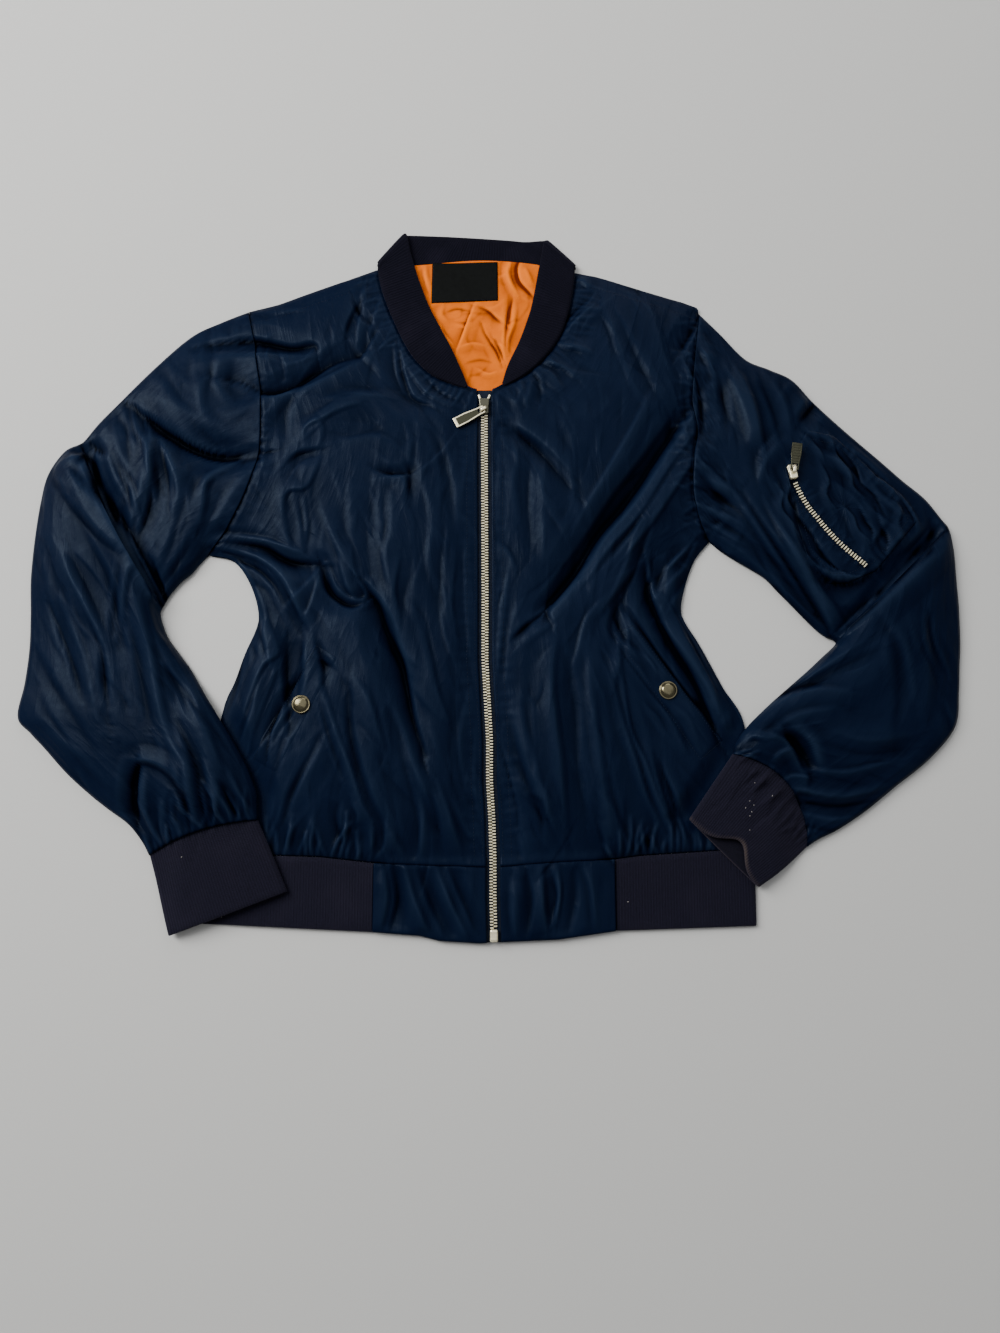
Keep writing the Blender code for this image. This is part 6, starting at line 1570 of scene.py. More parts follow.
def band_bmesh(seam: Array, free: Array, normals: Array, wall: float, ridge: Array, steps: int = 12) -> BMesh:
    """Double rib band, folded at its free edge.

    Args:
        seam: Sewn edge, station by station along the band.
        free: Folded edge at the same stations.
        normals: Way out of the band at each station.
        wall: Thickness.
        ridge: Height of the ribs at each station.
        steps: Steps across each face.

    Returns:
        The closed band.
    """
    toward = free - seam
    toward = toward / np.linalg.norm(toward, axis=1)[:, None]
    half = wall / 2.0
    end = free - toward * half
    shares = np.linspace(0.0, 1.0, steps + 1)
    plump = half * (1.0 + 0.12 * np.sin(np.pi * shares))
    near_edge = np.minimum(1.0, np.minimum(shares, 1.0 - shares) * 9.0 + 0.25)
    faces = [(seam + (end - seam) * share, normals * (full + ridge[:, None] * rib))
             for share, full, rib in zip(shares, plump, near_edge)]
    columns = [middle + out for middle, out in faces]
    for angle in np.radians(FOLD_ANGLES):
        columns.append(end + toward * half * math.cos(angle) + normals * (half * math.sin(angle)))
    columns += [middle - out for middle, out in faces[::-1]]
    columns.append(columns[0])
    # painted shade in the hollows between the ribs
    groove_shade = 0.4 * (1.0 - ridge / max(float(ridge.max()), 1e-6))
    bm = cloth_bmesh(np.stack(columns, axis=1), np.repeat(groove_shade[:, None], len(columns), axis=1), closed=True)
    close_holes(bm)
    return bm


@dataclass(frozen=True)
class Stitch:
    """A kind of sewing: from one stitch to the next, a stitch's length and the thread's thickness."""

    pitch: float
    length: float
    thick: float

    def sew(self, bm: BMesh, line: Array) -> None:
        """Adds a row of stitches.

        Args:
            bm: The bmesh, in millimetres.
            line: Line in space on which the stitches lie.
        """
        lengths = arc_lengths(line)
        count = max(1, int(lengths[-1] / self.pitch))
        half = 0.5 * self.length / lengths[-1]
        for index in range(count):
            place = (index + 0.5) / count
            start, middle, end = along(line, [max(place - half, 0.0), place, min(place + half, 1.0)])
            way = Vector(end - start)
            if way.length < 1e-6:
                continue
            turn = way.to_track_quat("X", "Z").to_matrix().to_4x4()
            shape = Matrix.Diagonal((self.length, self.thick, self.thick * 0.8, 1.0))
            bmesh.ops.create_icosphere(bm, subdivisions=1, radius=0.5, matrix=move_to(*middle) @ turn @ shape)

    def sew_on(self, bm: BMesh, skin: BVHTree, plan: Array, above: float = 0.08) -> None:
        """Adds a row of stitches along a line in plan, a little above a surface."""
        self.sew(bm, np.column_stack([plan, top_of(skin, *plan.T) + above]))


TOPSTITCH = Stitch(3.1, 2.4, 0.42)
FLAP_STITCH = Stitch(2.8, 2.1, 0.4)
POCKET_STITCH = Stitch(2.6, 1.9, 0.4)
PATCH_STITCH = Stitch(1.9, 1.3, 0.32)
TACK = Stitch(1.6, 1.4, 0.45)


@dataclass(frozen=True)
class Teeth:
    """Teeth of a closed zip: pitch of a side, half of the chain's width, height and shape of a tooth.

    The place and the width of a tooth are shares of the reach, and its length runs along the chain.
    """

    pitch: float
    reach: float
    high: float
    aside: float
    across: float
    length: float = 1.2
    bevel: float = 0.25

    def add(self, bm: BMesh, line: Array) -> None:
        """Adds the teeth, from both sides in turn.

        Args:
            bm: The bmesh, in millimetres.
            line: Middle of the chain in space, at its underside.
        """
        count = int(arc_lengths(line)[-1] / (self.pitch / 2.0))
        for index in range(count):
            share = (index + 0.5) / count
            before, middle, after = along(line, [max(share - 0.004, 0), share, min(share + 0.004, 1)])
            turn = Vector(after - before).normalized().to_track_quat("Y", "Z").to_matrix().to_4x4()
            side = 1.0 if index % 2 else -1.0
            where = move_to(*middle) @ turn @ move_to(side * self.reach * self.aside, 0.0, self.high / 2.0)
            add_box(bm, (self.reach * self.across, self.length, self.high), where, self.bevel, 1)


@dataclass
class FrontPanel:
    """One front of shell cloth, from the zip to the side seam and the armhole.

    The cloth is rolled down at its outer edges and drawn in by a depth at each seam.
    """

    half: Half
    relief: Relief
    wardrobe: Wardrobe
    step: float = 1.66
    wall: float = 0.8
    half_open: float = 6.0
    roll: float = 5.0
    edge_top: float = 2.2
    tuck: float = 1.6
    corner: float = 3.5
    length: float = 540.0
    seam_width: float = 1.8
    armhole_depth: float = 1.3
    neck_depth: float = 0.9
    hem_depth: float = 0.9
    hem_lift: float = 2.1
    hem_flat: float = 84.0
    hem_blend: float = 12.0
    hem_width: float = 5.0
    yoke: Pair = (2.0, -13.0)
    yoke_depth: float = 0.5
    yoke_width: float = 1.2

    def edges(self) -> tuple[Array, Array, Array, Array]:
        """Outer edge, zip and neck edge, hem edge and shoulder edge, each from the hem or the side seam.

        Returns:
            The four edges, in that order.
        """
        half = self.half
        outer = np.vstack([curve(half.seam, 5)[:-1], curve(half.armhole, 5)])
        opening = curve(half.neck, 6)
        place = np.arange(len(opening))
        opening = opening + left_normals(opening) * self.tuck * half.sign * smooth(place / 6.0)[:, None]
        opening[:, 1] += self.corner * np.exp(-place / 5.0)
        open_x = half.sign * self.half_open
        y = np.linspace(float(hem_seam_y(open_x)), opening[0, 1], 80)
        inner = np.vstack([np.column_stack([zip_x(y) + open_x, y])[:-1], opening])
        x = np.linspace(outer[0, 0], inner[0, 0], 60)
        return outer, inner, np.column_stack([x, hem_seam_y(x)]), curve(half.shoulder, 4)[::-1]

    def plan(self) -> tuple[Array, Array]:
        """Places of the grid in plan.

        Returns:
            The places along x and along y.
        """
        outer, inner, hem, shoulder = self.edges()
        across = even_shares(arc_lengths(hem)[-1], self.step, self.roll)
        up = 1.0 - even_shares(self.length, self.step, self.roll)[::-1]
        if self.half is RIGHT:
            return coons(outer, inner, hem, shoulder, across, up)
        return coons(inner, outer, hem[::-1], shoulder[::-1], 1.0 - across[::-1], up)

    def seams(self, x: Array, y: Array) -> tuple[Array, Array, Array]:
        """Distances to the armhole, the neck and the hem seam."""
        return (distance_to(curve(self.half.armhole, 3), x, y), distance_to(curve(self.half.neck, 3), x, y),
                np.maximum(y - hem_seam_y(x), 0.0))

    def height(self, x: Array, y: Array) -> Array:
        """Top of the cloth, rolled down at the side and the shoulder and drawn in at the seams.

        Args:
            x: Places along x.
            y: Places along y.

        Returns:
            The heights.
        """
        half, width = self.half, self.seam_width
        armhole, neck, hem = self.seams(x, y)
        top = self.relief.front(x, y)
        top = top - self.armhole_depth * bell(armhole, width) - self.neck_depth * bell(neck, width)
        beside = smooth((np.abs(x - zip_x(y)) - self.hem_flat) / self.hem_blend)
        top = top - self.hem_depth * bell(hem, width) * (0.35 + 0.65 * beside)
        top = top + self.hem_lift * bell(hem, self.hem_width) * (1.0 - beside)
        edge = np.minimum(distance_to(half.seam, x, y), distance_to(half.shoulder, x, y))
        top = top - (top - self.edge_top) * rolled_down(edge, self.roll)
        seam = curve(array(half.shoulder) + array(self.yoke), 4)
        sewn = bell(distance_to(seam, x, y), self.yoke_width) * smooth((edge - 3.0) / 3.0)
        return top - self.yoke_depth * sewn

    def shade_depth(self, x: Array, y: Array) -> Array:
        """How deep the cloth lies in its creases, which the finish paints as shade and highlight, with more
        painted shade along its seams.

        Args:
            x: Places along x.
            y: Places along y.

        Returns:
            The depths.
        """
        armhole, neck, hem = self.seams(x, y)
        # painted shade along the armhole, neck and hem seams
        seams = bell(armhole, 2.2) + 0.8 * bell(neck, 1.6) + 0.3 * bell(hem, 1.6)
        return self.relief.body_hollows.at(x, y) + 0.75 * seams

    def build(self) -> Object:
        """Makes the panel.

        Returns:
            The panel.
        """
        x, y = self.plan()
        bm = cloth_bmesh(np.dstack([x, y, self.height(x, y)]), self.shade_depth(x, y))
        name = f"front_panel_{self.half.word}"
        obj = finish_object(bm, name, self.wardrobe.nylon, Slot.SHELL, wall=self.wall)
        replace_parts(obj, f"front_{self.half.word}")
        return obj


@dataclass
class Arm:
    """Form of an arm: rings from the armhole to the cuff, flat under, rolled at both edges, full on top."""

    rows: list[tuple]
    relief: Relief
    half: Half
    wardrobe: Wardrobe
    side_edge: float = 3.2
    edge: float = 6.4
    under_columns: int = 16
    under_lift: float = 0.15

    def rings(self, step: float) -> Array:
        """Rows of the table at even steps along the arm, each with its place in the table and its distance.

        Args:
            step: From one row to the next.

        Returns:
            The rows.
        """
        fine = curve(np.column_stack([array(self.rows), np.arange(len(self.rows))]), 10)
        move = np.diff(fine[:, :4], axis=0)
        steps = 0.5 * (np.hypot(move[:, 0], move[:, 1]) + np.hypot(move[:, 2], move[:, 3]))
        total = steps.cumsum()[-1]
        places = np.linspace(0.0, total, int(total / step) + 1)
        return np.column_stack([evenly(fine, steps, places), places])

    @staticmethod
    def chord(row: Array, shares: Array) -> Array:
        """Places in plan at shares across a ring, on its bowed line.

        Args:
            row: Ring's row of sizes.
            shares: Shares across the ring.

        Returns:
            The places.
        """
        way = row[2:4] - row[0:2]
        bow = 4.0 * shares * (1.0 - shares) * row[4]
        return row[0:2] + np.outer(shares, way) + np.outer(bow, turned_left(way) / np.hypot(*way))

    def onward(self, row: Array) -> Array:
        """Way down the arm, across a ring."""
        way = row[2:4] - row[0:2]
        return turned_left(way) / np.hypot(*way) * self.half.sign

    def closed(self, across: Callable[[Array], Array], top: Array, first: float, radius: float,
               inset: float = 0.0) -> Array:
        """Closes a ring under its top.

        Args:
            across: Gives places in plan at shares across the ring.
            top: Points of the top.
            first: Share across at which the rolled edges end.
            radius: Radius of the rolled edges.
            inset: How far the ring is moved into the wall.

        Returns:
            The points round the ring, the first one repeated at the end.
        """
        angles = np.radians(ROLL_ANGLES)
        under = across(np.linspace(1.0 - first, first, self.under_columns))
        low = self.relief.arm_floor(*under.T) + self.under_lift + inset
        centre, rim, far_centre, far_rim = across(array([1.0 - first, 1.0, first, 0.0]))
        rolls = []
        for middle, edge in ((centre, rim), (far_centre, far_rim)):
            out = (edge - middle) / max(np.hypot(*(edge - middle)), 1e-6)
            ground = float(self.relief.arm_floor(*middle))
            rolls.append(np.column_stack([middle + np.outer((radius - inset) * np.cos(angles), out),
                                          ground + radius + (radius - inset) * np.sin(angles)]))
        return np.vstack([top, rolls[0], np.column_stack([under, low]), rolls[1][::-1], top[:1]])


@dataclass
class Sleeve(Arm):
    """A sleeve of shell cloth, as one tube whose forearm laps over the upper arm at the elbow."""

    step: float = 1.75
    loft: float = 11.0
    rounding: float = 24.0
    join: float = 22.0
    top_columns: int = 70
    wall: float = 0.8
    lap: float = 4.6
    lap_reach: float = 3.0
    seam_depth: float = 1.3
    seam_width: float = 1.8

    def shade_depth(self, places: Array, far: Array, elbow: float) -> Array:
        """How deep the cloth lies in its creases, which the finish paints as shade and highlight, with painted
        shade at the armhole and at the cuff end and a painted shadow line under the lap of the elbow.

        Args:
            places: Places of the points, ring by ring.
            far: Distance of each ring along the arm.
            elbow: Distance along the arm to the lap.

        Returns:
            The depths.
        """
        made = self.relief.arm_hollows.at(places[..., 0], places[..., 1])
        # painted shade at the armhole and the cuff end, and a painted shadow line under the lap of the elbow
        seams = bell(far, 2.4) + 0.9 * bell(far[-1] - far, 2.0)
        return made + (seams + 1.1 * bell(far - elbow + 1.4, 2.0))[:, None]

    def ring(self, row: Array, armhole: Array, elbow: float) -> Array:
        """Points round one ring.

        Args:
            row: Ring's row of sizes.
            armhole: Line of the armhole, from the shoulder to the armpit.
            elbow: Distance along the arm to the lap.

        Returns:
            The points, the first one repeated at the end.
        """
        puff, lift, place, far = row[5:9]
        blend, join = float(smooth(place / 3.0)), float(smooth(far / self.join))
        edge = self.side_edge + (self.edge - self.side_edge) * blend
        radius = edge / 2.0
        width = np.hypot(*(row[2:4] - row[0:2]))
        first = radius / width

        def across(at: Array) -> Array:
            """Places across the ring: on the armhole at the sleeve's head, on its own line beyond."""
            return along(armhole, at) * (1.0 - join) + self.chord(row, at) * join

        shares = np.linspace(0.0, 1.0, self.top_columns)
        closer = (0.5 - 0.5 * np.cos(np.pi * (0.12 + 0.76 * shares)) - 0.0352) / 0.9297
        shares = first + closer * (1.0 - 2.0 * first)
        flat = across(shares)
        near = np.minimum(shares, 1.0 - shares) * width
        floor = self.relief.arm_floor(*flat.T)
        own = (self.loft * puff + lift) * rounded(near, self.rounding)
        own = own + self.relief.arms.at(*flat.T) * smooth((near - radius) / 7.0)
        body = self.relief.front(*flat.T) - floor - edge
        top = np.maximum(floor + edge + body * (1.0 - blend) + own * blend, floor + self.side_edge)
        top = top - self.seam_depth * bell(far, self.seam_width)
        past = far - elbow
        lapped = self.lap * (bell(past + 4.0, self.lap_reach) - bell(past - 1.5, self.lap_reach))
        flat = flat + np.outer(smooth((near - 2.0) / 14.0) * lapped, self.onward(row))
        return self.closed(across, np.column_stack([flat, top]), first, radius)

    def build(self) -> Object:
        """Makes the sleeve.

        Returns:
            The sleeve.
        """
        rings = self.rings(self.step)
        armhole = curve(self.half.armhole, 6)[::-1]
        armhole = armhole + left_normals(armhole) * 0.3 * self.half.sign
        at_elbow = float(np.argmax(array(self.rows)[:, 6] > 0))
        elbow = float(np.interp(at_elbow, rings[:, 7], rings[:, 8]))
        places = array([self.ring(row, armhole, elbow) for row in rings])
        bm = cloth_bmesh(places, self.shade_depth(places, rings[:, 8], elbow), closed=True)
        bmesh.ops.recalc_face_normals(bm, faces=bm.faces[:])
        name = f"sleeve_shell_{self.half.word}"
        obj = finish_object(bm, name, self.wardrobe.nylon, Slot.SHELL, wall=self.wall)
        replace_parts(obj, f"sleeve_{self.half.word}")
        return obj


@dataclass
class Cuff(Arm):
    """A double rib cuff, flattened, with its mouth open at the end and perhaps dented."""

    edge: float = 4.9
    under_columns: int = 30
    under_lift: float = 0.1
    step: float = 3.0
    puff: float = 2.0
    across: float = 102.0
    pitch: float = 2.4
    ridge: float = 0.5
    wall: float = 2.0
    dent: float = 0.0
    dent_at: float = 0.46
    dent_width: float = 0.2
    dent_length: float = 26.0
    pale_lip_at: int = 60

    def ribs(self) -> Array:
        """Ridges across the top: 1 on a rib and 0 between two ribs, four points to a rib."""
        count = round(self.across / self.pitch)
        return rib_ridge(np.linspace(0.0, count, 4 * count + 1), 1.0)

    def ring(self, row: Array, total: float, inset: float) -> Array:
        """Points round one ring.

        Args:
            row: Ring's row of sizes.
            total: Length of the cuff.
            inset: How far the ring is moved into the wall.

        Returns:
            The points, the first one repeated at the end.
        """
        radius = self.edge / 2.0
        width = np.hypot(*(row[2:4] - row[0:2]))
        first = radius / width
        ribs = self.ribs()
        shares = np.linspace(0.0, 1.0, len(ribs))
        rib = self.ridge * ribs * (1.0 if inset == 0.0 else 0.3)
        top_shares = first + shares * (1.0 - 2.0 * first)
        flat = self.chord(row, top_shares)
        near = np.minimum(top_shares, 1.0 - top_shares) * width
        swell = self.puff * row[5] * np.sin(np.pi * top_shares)
        ripple = self.relief.arms.at(*flat.T) * smooth((near - radius) / 7.0)
        top = self.relief.arm_floor(*flat.T) + self.edge + swell + ripple + rib - inset
        far = float(smooth((row[8] - total + self.dent_length) / self.dent_length))
        back = self.dent * far * bell(shares - self.dent_at, self.dent_width)
        points = np.column_stack([flat - np.outer(back, self.onward(row)), top])
        return self.closed(lambda at: self.chord(row, at), points, first, radius, inset)

    def build(self) -> Object:
        """Makes the cuff: outer wall, round lip and inner wall.

        Returns:
            The cuff.
        """
        rings = self.rings(self.step)
        total = rings[-1, 8]
        outer = [self.ring(row, total, 0.0) for row in rings]
        last, move = rings[-1], (rings[-1] - rings[-2]) / self.step
        lip = [self.ring(last + move * out, total, inset)
               for inset, out in ((0.35, 0.75), (self.wall / 2.0, 1.0), (self.wall - 0.35, 0.6))]
        inner = [self.ring(row, total, self.wall) for row in rings[::-2]]
        places = array(outer + lip + inner + [outer[0]])
        inside, ribs = len(outer) + len(lip), self.ribs()
        shade_depth = np.zeros(places.shape[:2])
        # painted shade on the inner wall and in the hollows between the ribs
        shade_depth[inside:-1] = 0.5
        shade_depth[:, : len(ribs)] += 0.35 * (1.0 - ribs)
        # the lip of a dented cuff is painted paler, most of all near one place
        if self.dent > 0.0:
            pale_lip = bell(np.arange(places.shape[1]) - self.pale_lip_at, 24.0)
            shade_depth[len(outer) - 1 : inside] -= 0.35 + 0.55 * pale_lip
        bm = cloth_bmesh(places, shade_depth, closed=True)
        bmesh.ops.recalc_face_normals(bm, faces=bm.faces[:])
        obj = finish_object(bm, f"cuff_rib_{self.half.word}", self.wardrobe.rib, Slot.RIB)
        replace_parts(obj, f"cuff_{self.half.word}")
        return obj


@dataclass
class Collar:
    """Rib band round the neck: on the fronts, folded over at both shoulders and flat behind."""

    wardrobe: Wardrobe
    wall: float = 2.5
    pitch: float = 2.4
    ridge: float = 0.44
    tuck: float = 4.5

    def stations(self) -> Array:
        """Seam and free edge along the whole band.

        Returns:
            Rows with the place of the seam and then the place of the free edge.
        """
        fronts = []
        for bands, half in ((COLLAR_RIGHT, RIGHT), (COLLAR_LEFT, LEFT)):
            seam = along(curve(half.neck, 6), [band[0] for band in bands])
            fronts.append([(sx, sy, sz, fx, fy, fz) for (sx, sy), (_, fx, fy, sz, fz) in zip(seam, bands)])
        back = [(sx, sy, sz, fx, fy, fz) for sx, sy, fx, fy, sz, fz in COLLAR_BACK]
        return array(fronts[0] + back + fronts[1][::-1])

    def build(self) -> Object:
        """Makes the collar.

        Returns:
            The collar.
        """
        fine = curve(self.stations(), 14)
        move = np.diff(fine, axis=0)
        steps = 0.5 * (np.linalg.norm(move[:, :3], axis=1) + np.linalg.norm(move[:, 3:], axis=1))
        places = np.arange(0.0, steps.cumsum()[-1], self.pitch / 4.0)
        rows = evenly(fine, steps, places)
        seam, free = rows[:, :3], rows[:, 3:]
        toward = units(free - seam)
        normals = units(np.cross(np.gradient((seam + free) / 2.0, axis=0), toward))
        normals = normals * math.copysign(1.0, normals[5, 2])
        for _ in range(4):
            normals[1:-1] = (normals[:-2] + 2 * normals[1:-1] + normals[2:]) / 4.0
            normals = units(normals)
        tuck = self.tuck * smooth(2.4 - seam[:, 2])[:, None]
        ridge = self.ridge * rib_ridge(places, self.pitch)
        bm = band_bmesh(seam + toward * (0.4 - tuck), free, normals, self.wall, ridge)
        obj = finish_object(bm, "collar_rib", self.wardrobe.darker_rib, Slot.RIB)
        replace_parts(obj, "collar")
        return obj


@dataclass
class HemBand:
    """Rib band of the hem: on top of both fronts, folded at both ends and flat behind."""

    wardrobe: Wardrobe
    wall: float = 2.3
    fold_gap: float = 0.3
    right_end: float = -240.0
    left_end: float = 219.0
    right_start: float = -98.6
    left_start: float = 102.6
    pitch: float = 2.4
    ridge: float = 0.44

    def stations(self) -> Array:
        """Rows along the band: x, height, way out along x and z, and how full the ribs are.

        Returns:
            The rows.
        """
        radius = self.wall + self.fold_gap / 2.0
        turn = radius - self.wall / 2.0
        right, left = self.right_end + radius, self.left_end - radius
        step = self.pitch / 4.0

        def fold(middle: float, sign: float, first: float) -> list[tuple]:
            """Rows round the fold at one end.

            Args:
                middle: Place of the fold's axis along x.
                sign: Side the fold turns to, 1 or -1.
                first: First angle in degrees, above the axis.

            Returns:
                One row for each angle.
            """
            return [(middle + sign * math.cos(angle) * turn, radius + math.sin(angle) * turn,
                     sign * math.cos(angle), math.sin(angle), 0.3)
                    for angle in np.radians(np.linspace(first, -first, 9))]

        rows = [(x, radius + turn, 0.0, 1.0, 1.0) for x in np.arange(self.right_start, right, -step)]
        rows += fold(right, -1.0, 80.0)
        rows += [(x, self.wall / 2.0 + 0.1, 0.0, -1.0, 0.25) for x in np.arange(right, left, self.pitch)]
        rows += fold(left, 1.0, -80.0)
        rows += [(x, radius + turn, 0.0, 1.0, 1.0) for x in np.arange(left, self.left_start, -step)]
        return array(rows)

    def build(self) -> Object:
        """Makes the band.

        Returns:
            The band.
        """
        x, z, out_x, out_z, full = self.stations().T
        seam = np.column_stack([x, hem_seam_y(x) - 0.3, z])
        free = np.column_stack([x, hem_bottom_y(x), z])
        normals = np.column_stack([out_x, np.zeros_like(x), out_z])
        bm = band_bmesh(seam, free, normals, self.wall, self.ridge * full * rib_ridge(x, self.pitch))
        obj = finish_object(bm, "hem_rib_band", self.wardrobe.rib, Slot.RIB)
        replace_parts(obj, "hem_rib")
        return obj


# Where each hem block starts along x, right and left
BLOCK_STARTS = (-98.2, 102.2)


@dataclass
class HemBlock:
    """Shell-cloth end of the hem beside the zip, double and folded at the bottom. It starts at an x."""

    half: Half
    start: float
    relief: Relief
    wardrobe: Wardrobe
    step: float = 1.4
    wall: float = 1.6
    half_open: float = 6.0
    size: Pair = (96.0, 60.0)
    roll: float = 3.0
    rise: float = 2.9
    sunk: float = 1.9

    def plan(self) -> tuple[Array, Array]:
        """Places of the grid in plan.

        Returns:
            The places along x and along y.
        """
        open_x = self.half.sign * self.half_open
        side = np.linspace(float(hem_bottom_y(self.start)), float(hem_seam_y(self.start)), 40)
        far = np.column_stack([np.full(len(side), self.start), side])
        side = np.linspace(float(hem_bottom_y(open_x)), float(hem_seam_y(open_x)), 40)
        near = np.column_stack([zip_x(side) + open_x, side])
        x = np.linspace(self.start, near[0, 0], 50)
        low = np.column_stack([x, hem_bottom_y(x)])
        x = np.linspace(self.start, near[-1, 0], 50)
        high = np.column_stack([x, hem_seam_y(x) - 0.3])
        across = np.linspace(0.0, 1.0, int(self.size[0] / self.step) + 1)
        up = even_shares(self.size[1], self.step, self.roll)
        if self.half is RIGHT:
            return coons(far, near, low, high, across, up)
        return coons(near, far, low[::-1], high[::-1], across, up)

    def build(self) -> Object:
        """Makes the block.

        Returns:
            The block.
        """
        x, y = self.plan()
        ends = np.minimum(np.abs(x - self.start), np.abs(x - zip_x(y)) - self.half_open - 5.0)
        from_bottom = np.maximum(y - hem_bottom_y(x), 0.0)
        from_top = np.maximum(hem_seam_y(x) - y, 0.0)
        wave = 0.7 * np.sin(x / 7.0 + y / 33.0) + 0.4 * np.sin(x / 3.1 - y / 21.0)
        wave = (wave + 2.0 * self.relief.body.at(x, y)) * smooth(ends / 8.0) * smooth(from_bottom / 8.0)
        z = tape_height(y) + self.rise + wave * smooth((from_top + 4.0) / 8.0) - 0.4 * bell(from_top, 1.6)
        z = z - self.sunk * rolled_down(from_bottom, self.roll)
        # painted shade and highlight from the creases, and painted shade along the top seam
        shade_depth = 1.7 * self.relief.body_hollows.at(x, y) + 0.2 * bell(from_top, 1.4)
        bm = cloth_bmesh(np.dstack([x, y, z]), shade_depth)
        obj = finish_object(bm, f"hem_end_{self.half.word}", self.wardrobe.nylon, Slot.SHELL, wall=self.wall)
        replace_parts(obj, f"hem_block_{self.half.word}")
        return obj


def rim_distance(across: Array, up: Array, wide: float, long: float) -> Array:
    """Distance from the rim of a piece of a width and a length, at shares across and up."""
    return np.minimum(np.minimum(across, 1 - across)[None, :] * wide, np.minimum(up, 1 - up)[:, None] * long)


@dataclass
class BackPanel:
    """Back of shell cloth, flat on the floor, with shallow pressed folds."""

    relief: Relief
    wardrobe: Wardrobe
    step: float = 4.0
    wall: float = 0.8
    wide: float = 440.0
    long: float = 530.0
    base: float = 0.85

    def build(self) -> Object:
        """Makes the panel.

        Returns:
            The panel.
        """
        left, right = [np.vstack([curve(half.seam, 4)[:-1], curve(half.armhole, 4)]) for half in HALVES]
        top = np.vstack([array(SHOULDER_RIGHT)[:0:-1], array(BACK_NECK), array(SHOULDER_LEFT)[1:]])
        across, up = [np.linspace(0.0, 1.0, int(size / self.step)) for size in (self.wide, self.long)]
        x, y = coons(left, right, array(HEM_SEAM), top, across, up)
        press = np.clip(self.relief.body.at(-x - 20.0, y) * 0.16, -0.35, 0.5)
        z = self.base + (press + 0.25) * smooth(rim_distance(across, up, self.wide, self.long) / 16.0) * 0.6
        obj = finish_object(cloth_bmesh(np.dstack([x, y, z])), "back_panel", self.wardrobe.nylon, Slot.SHELL,
                            wall=self.wall)
        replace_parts(obj, "back")
        return obj


def edge_between(corners: Points, start: int, end: int) -> Array:
    """Straight edge between two corners of a piece."""
    return array([corners[start], corners[end]])


def four_cornered(corners: Points, across: Array, up: Array) -> tuple[Array, Array]:
    """Plan of a piece with straight edges, from its low left corner round to its high left one."""
    left, right, low, high = [edge_between(corners, *pair) for pair in ((0, 3), (1, 2), (0, 1), (3, 2))]
    return coons(left, right, low, high, across, up)


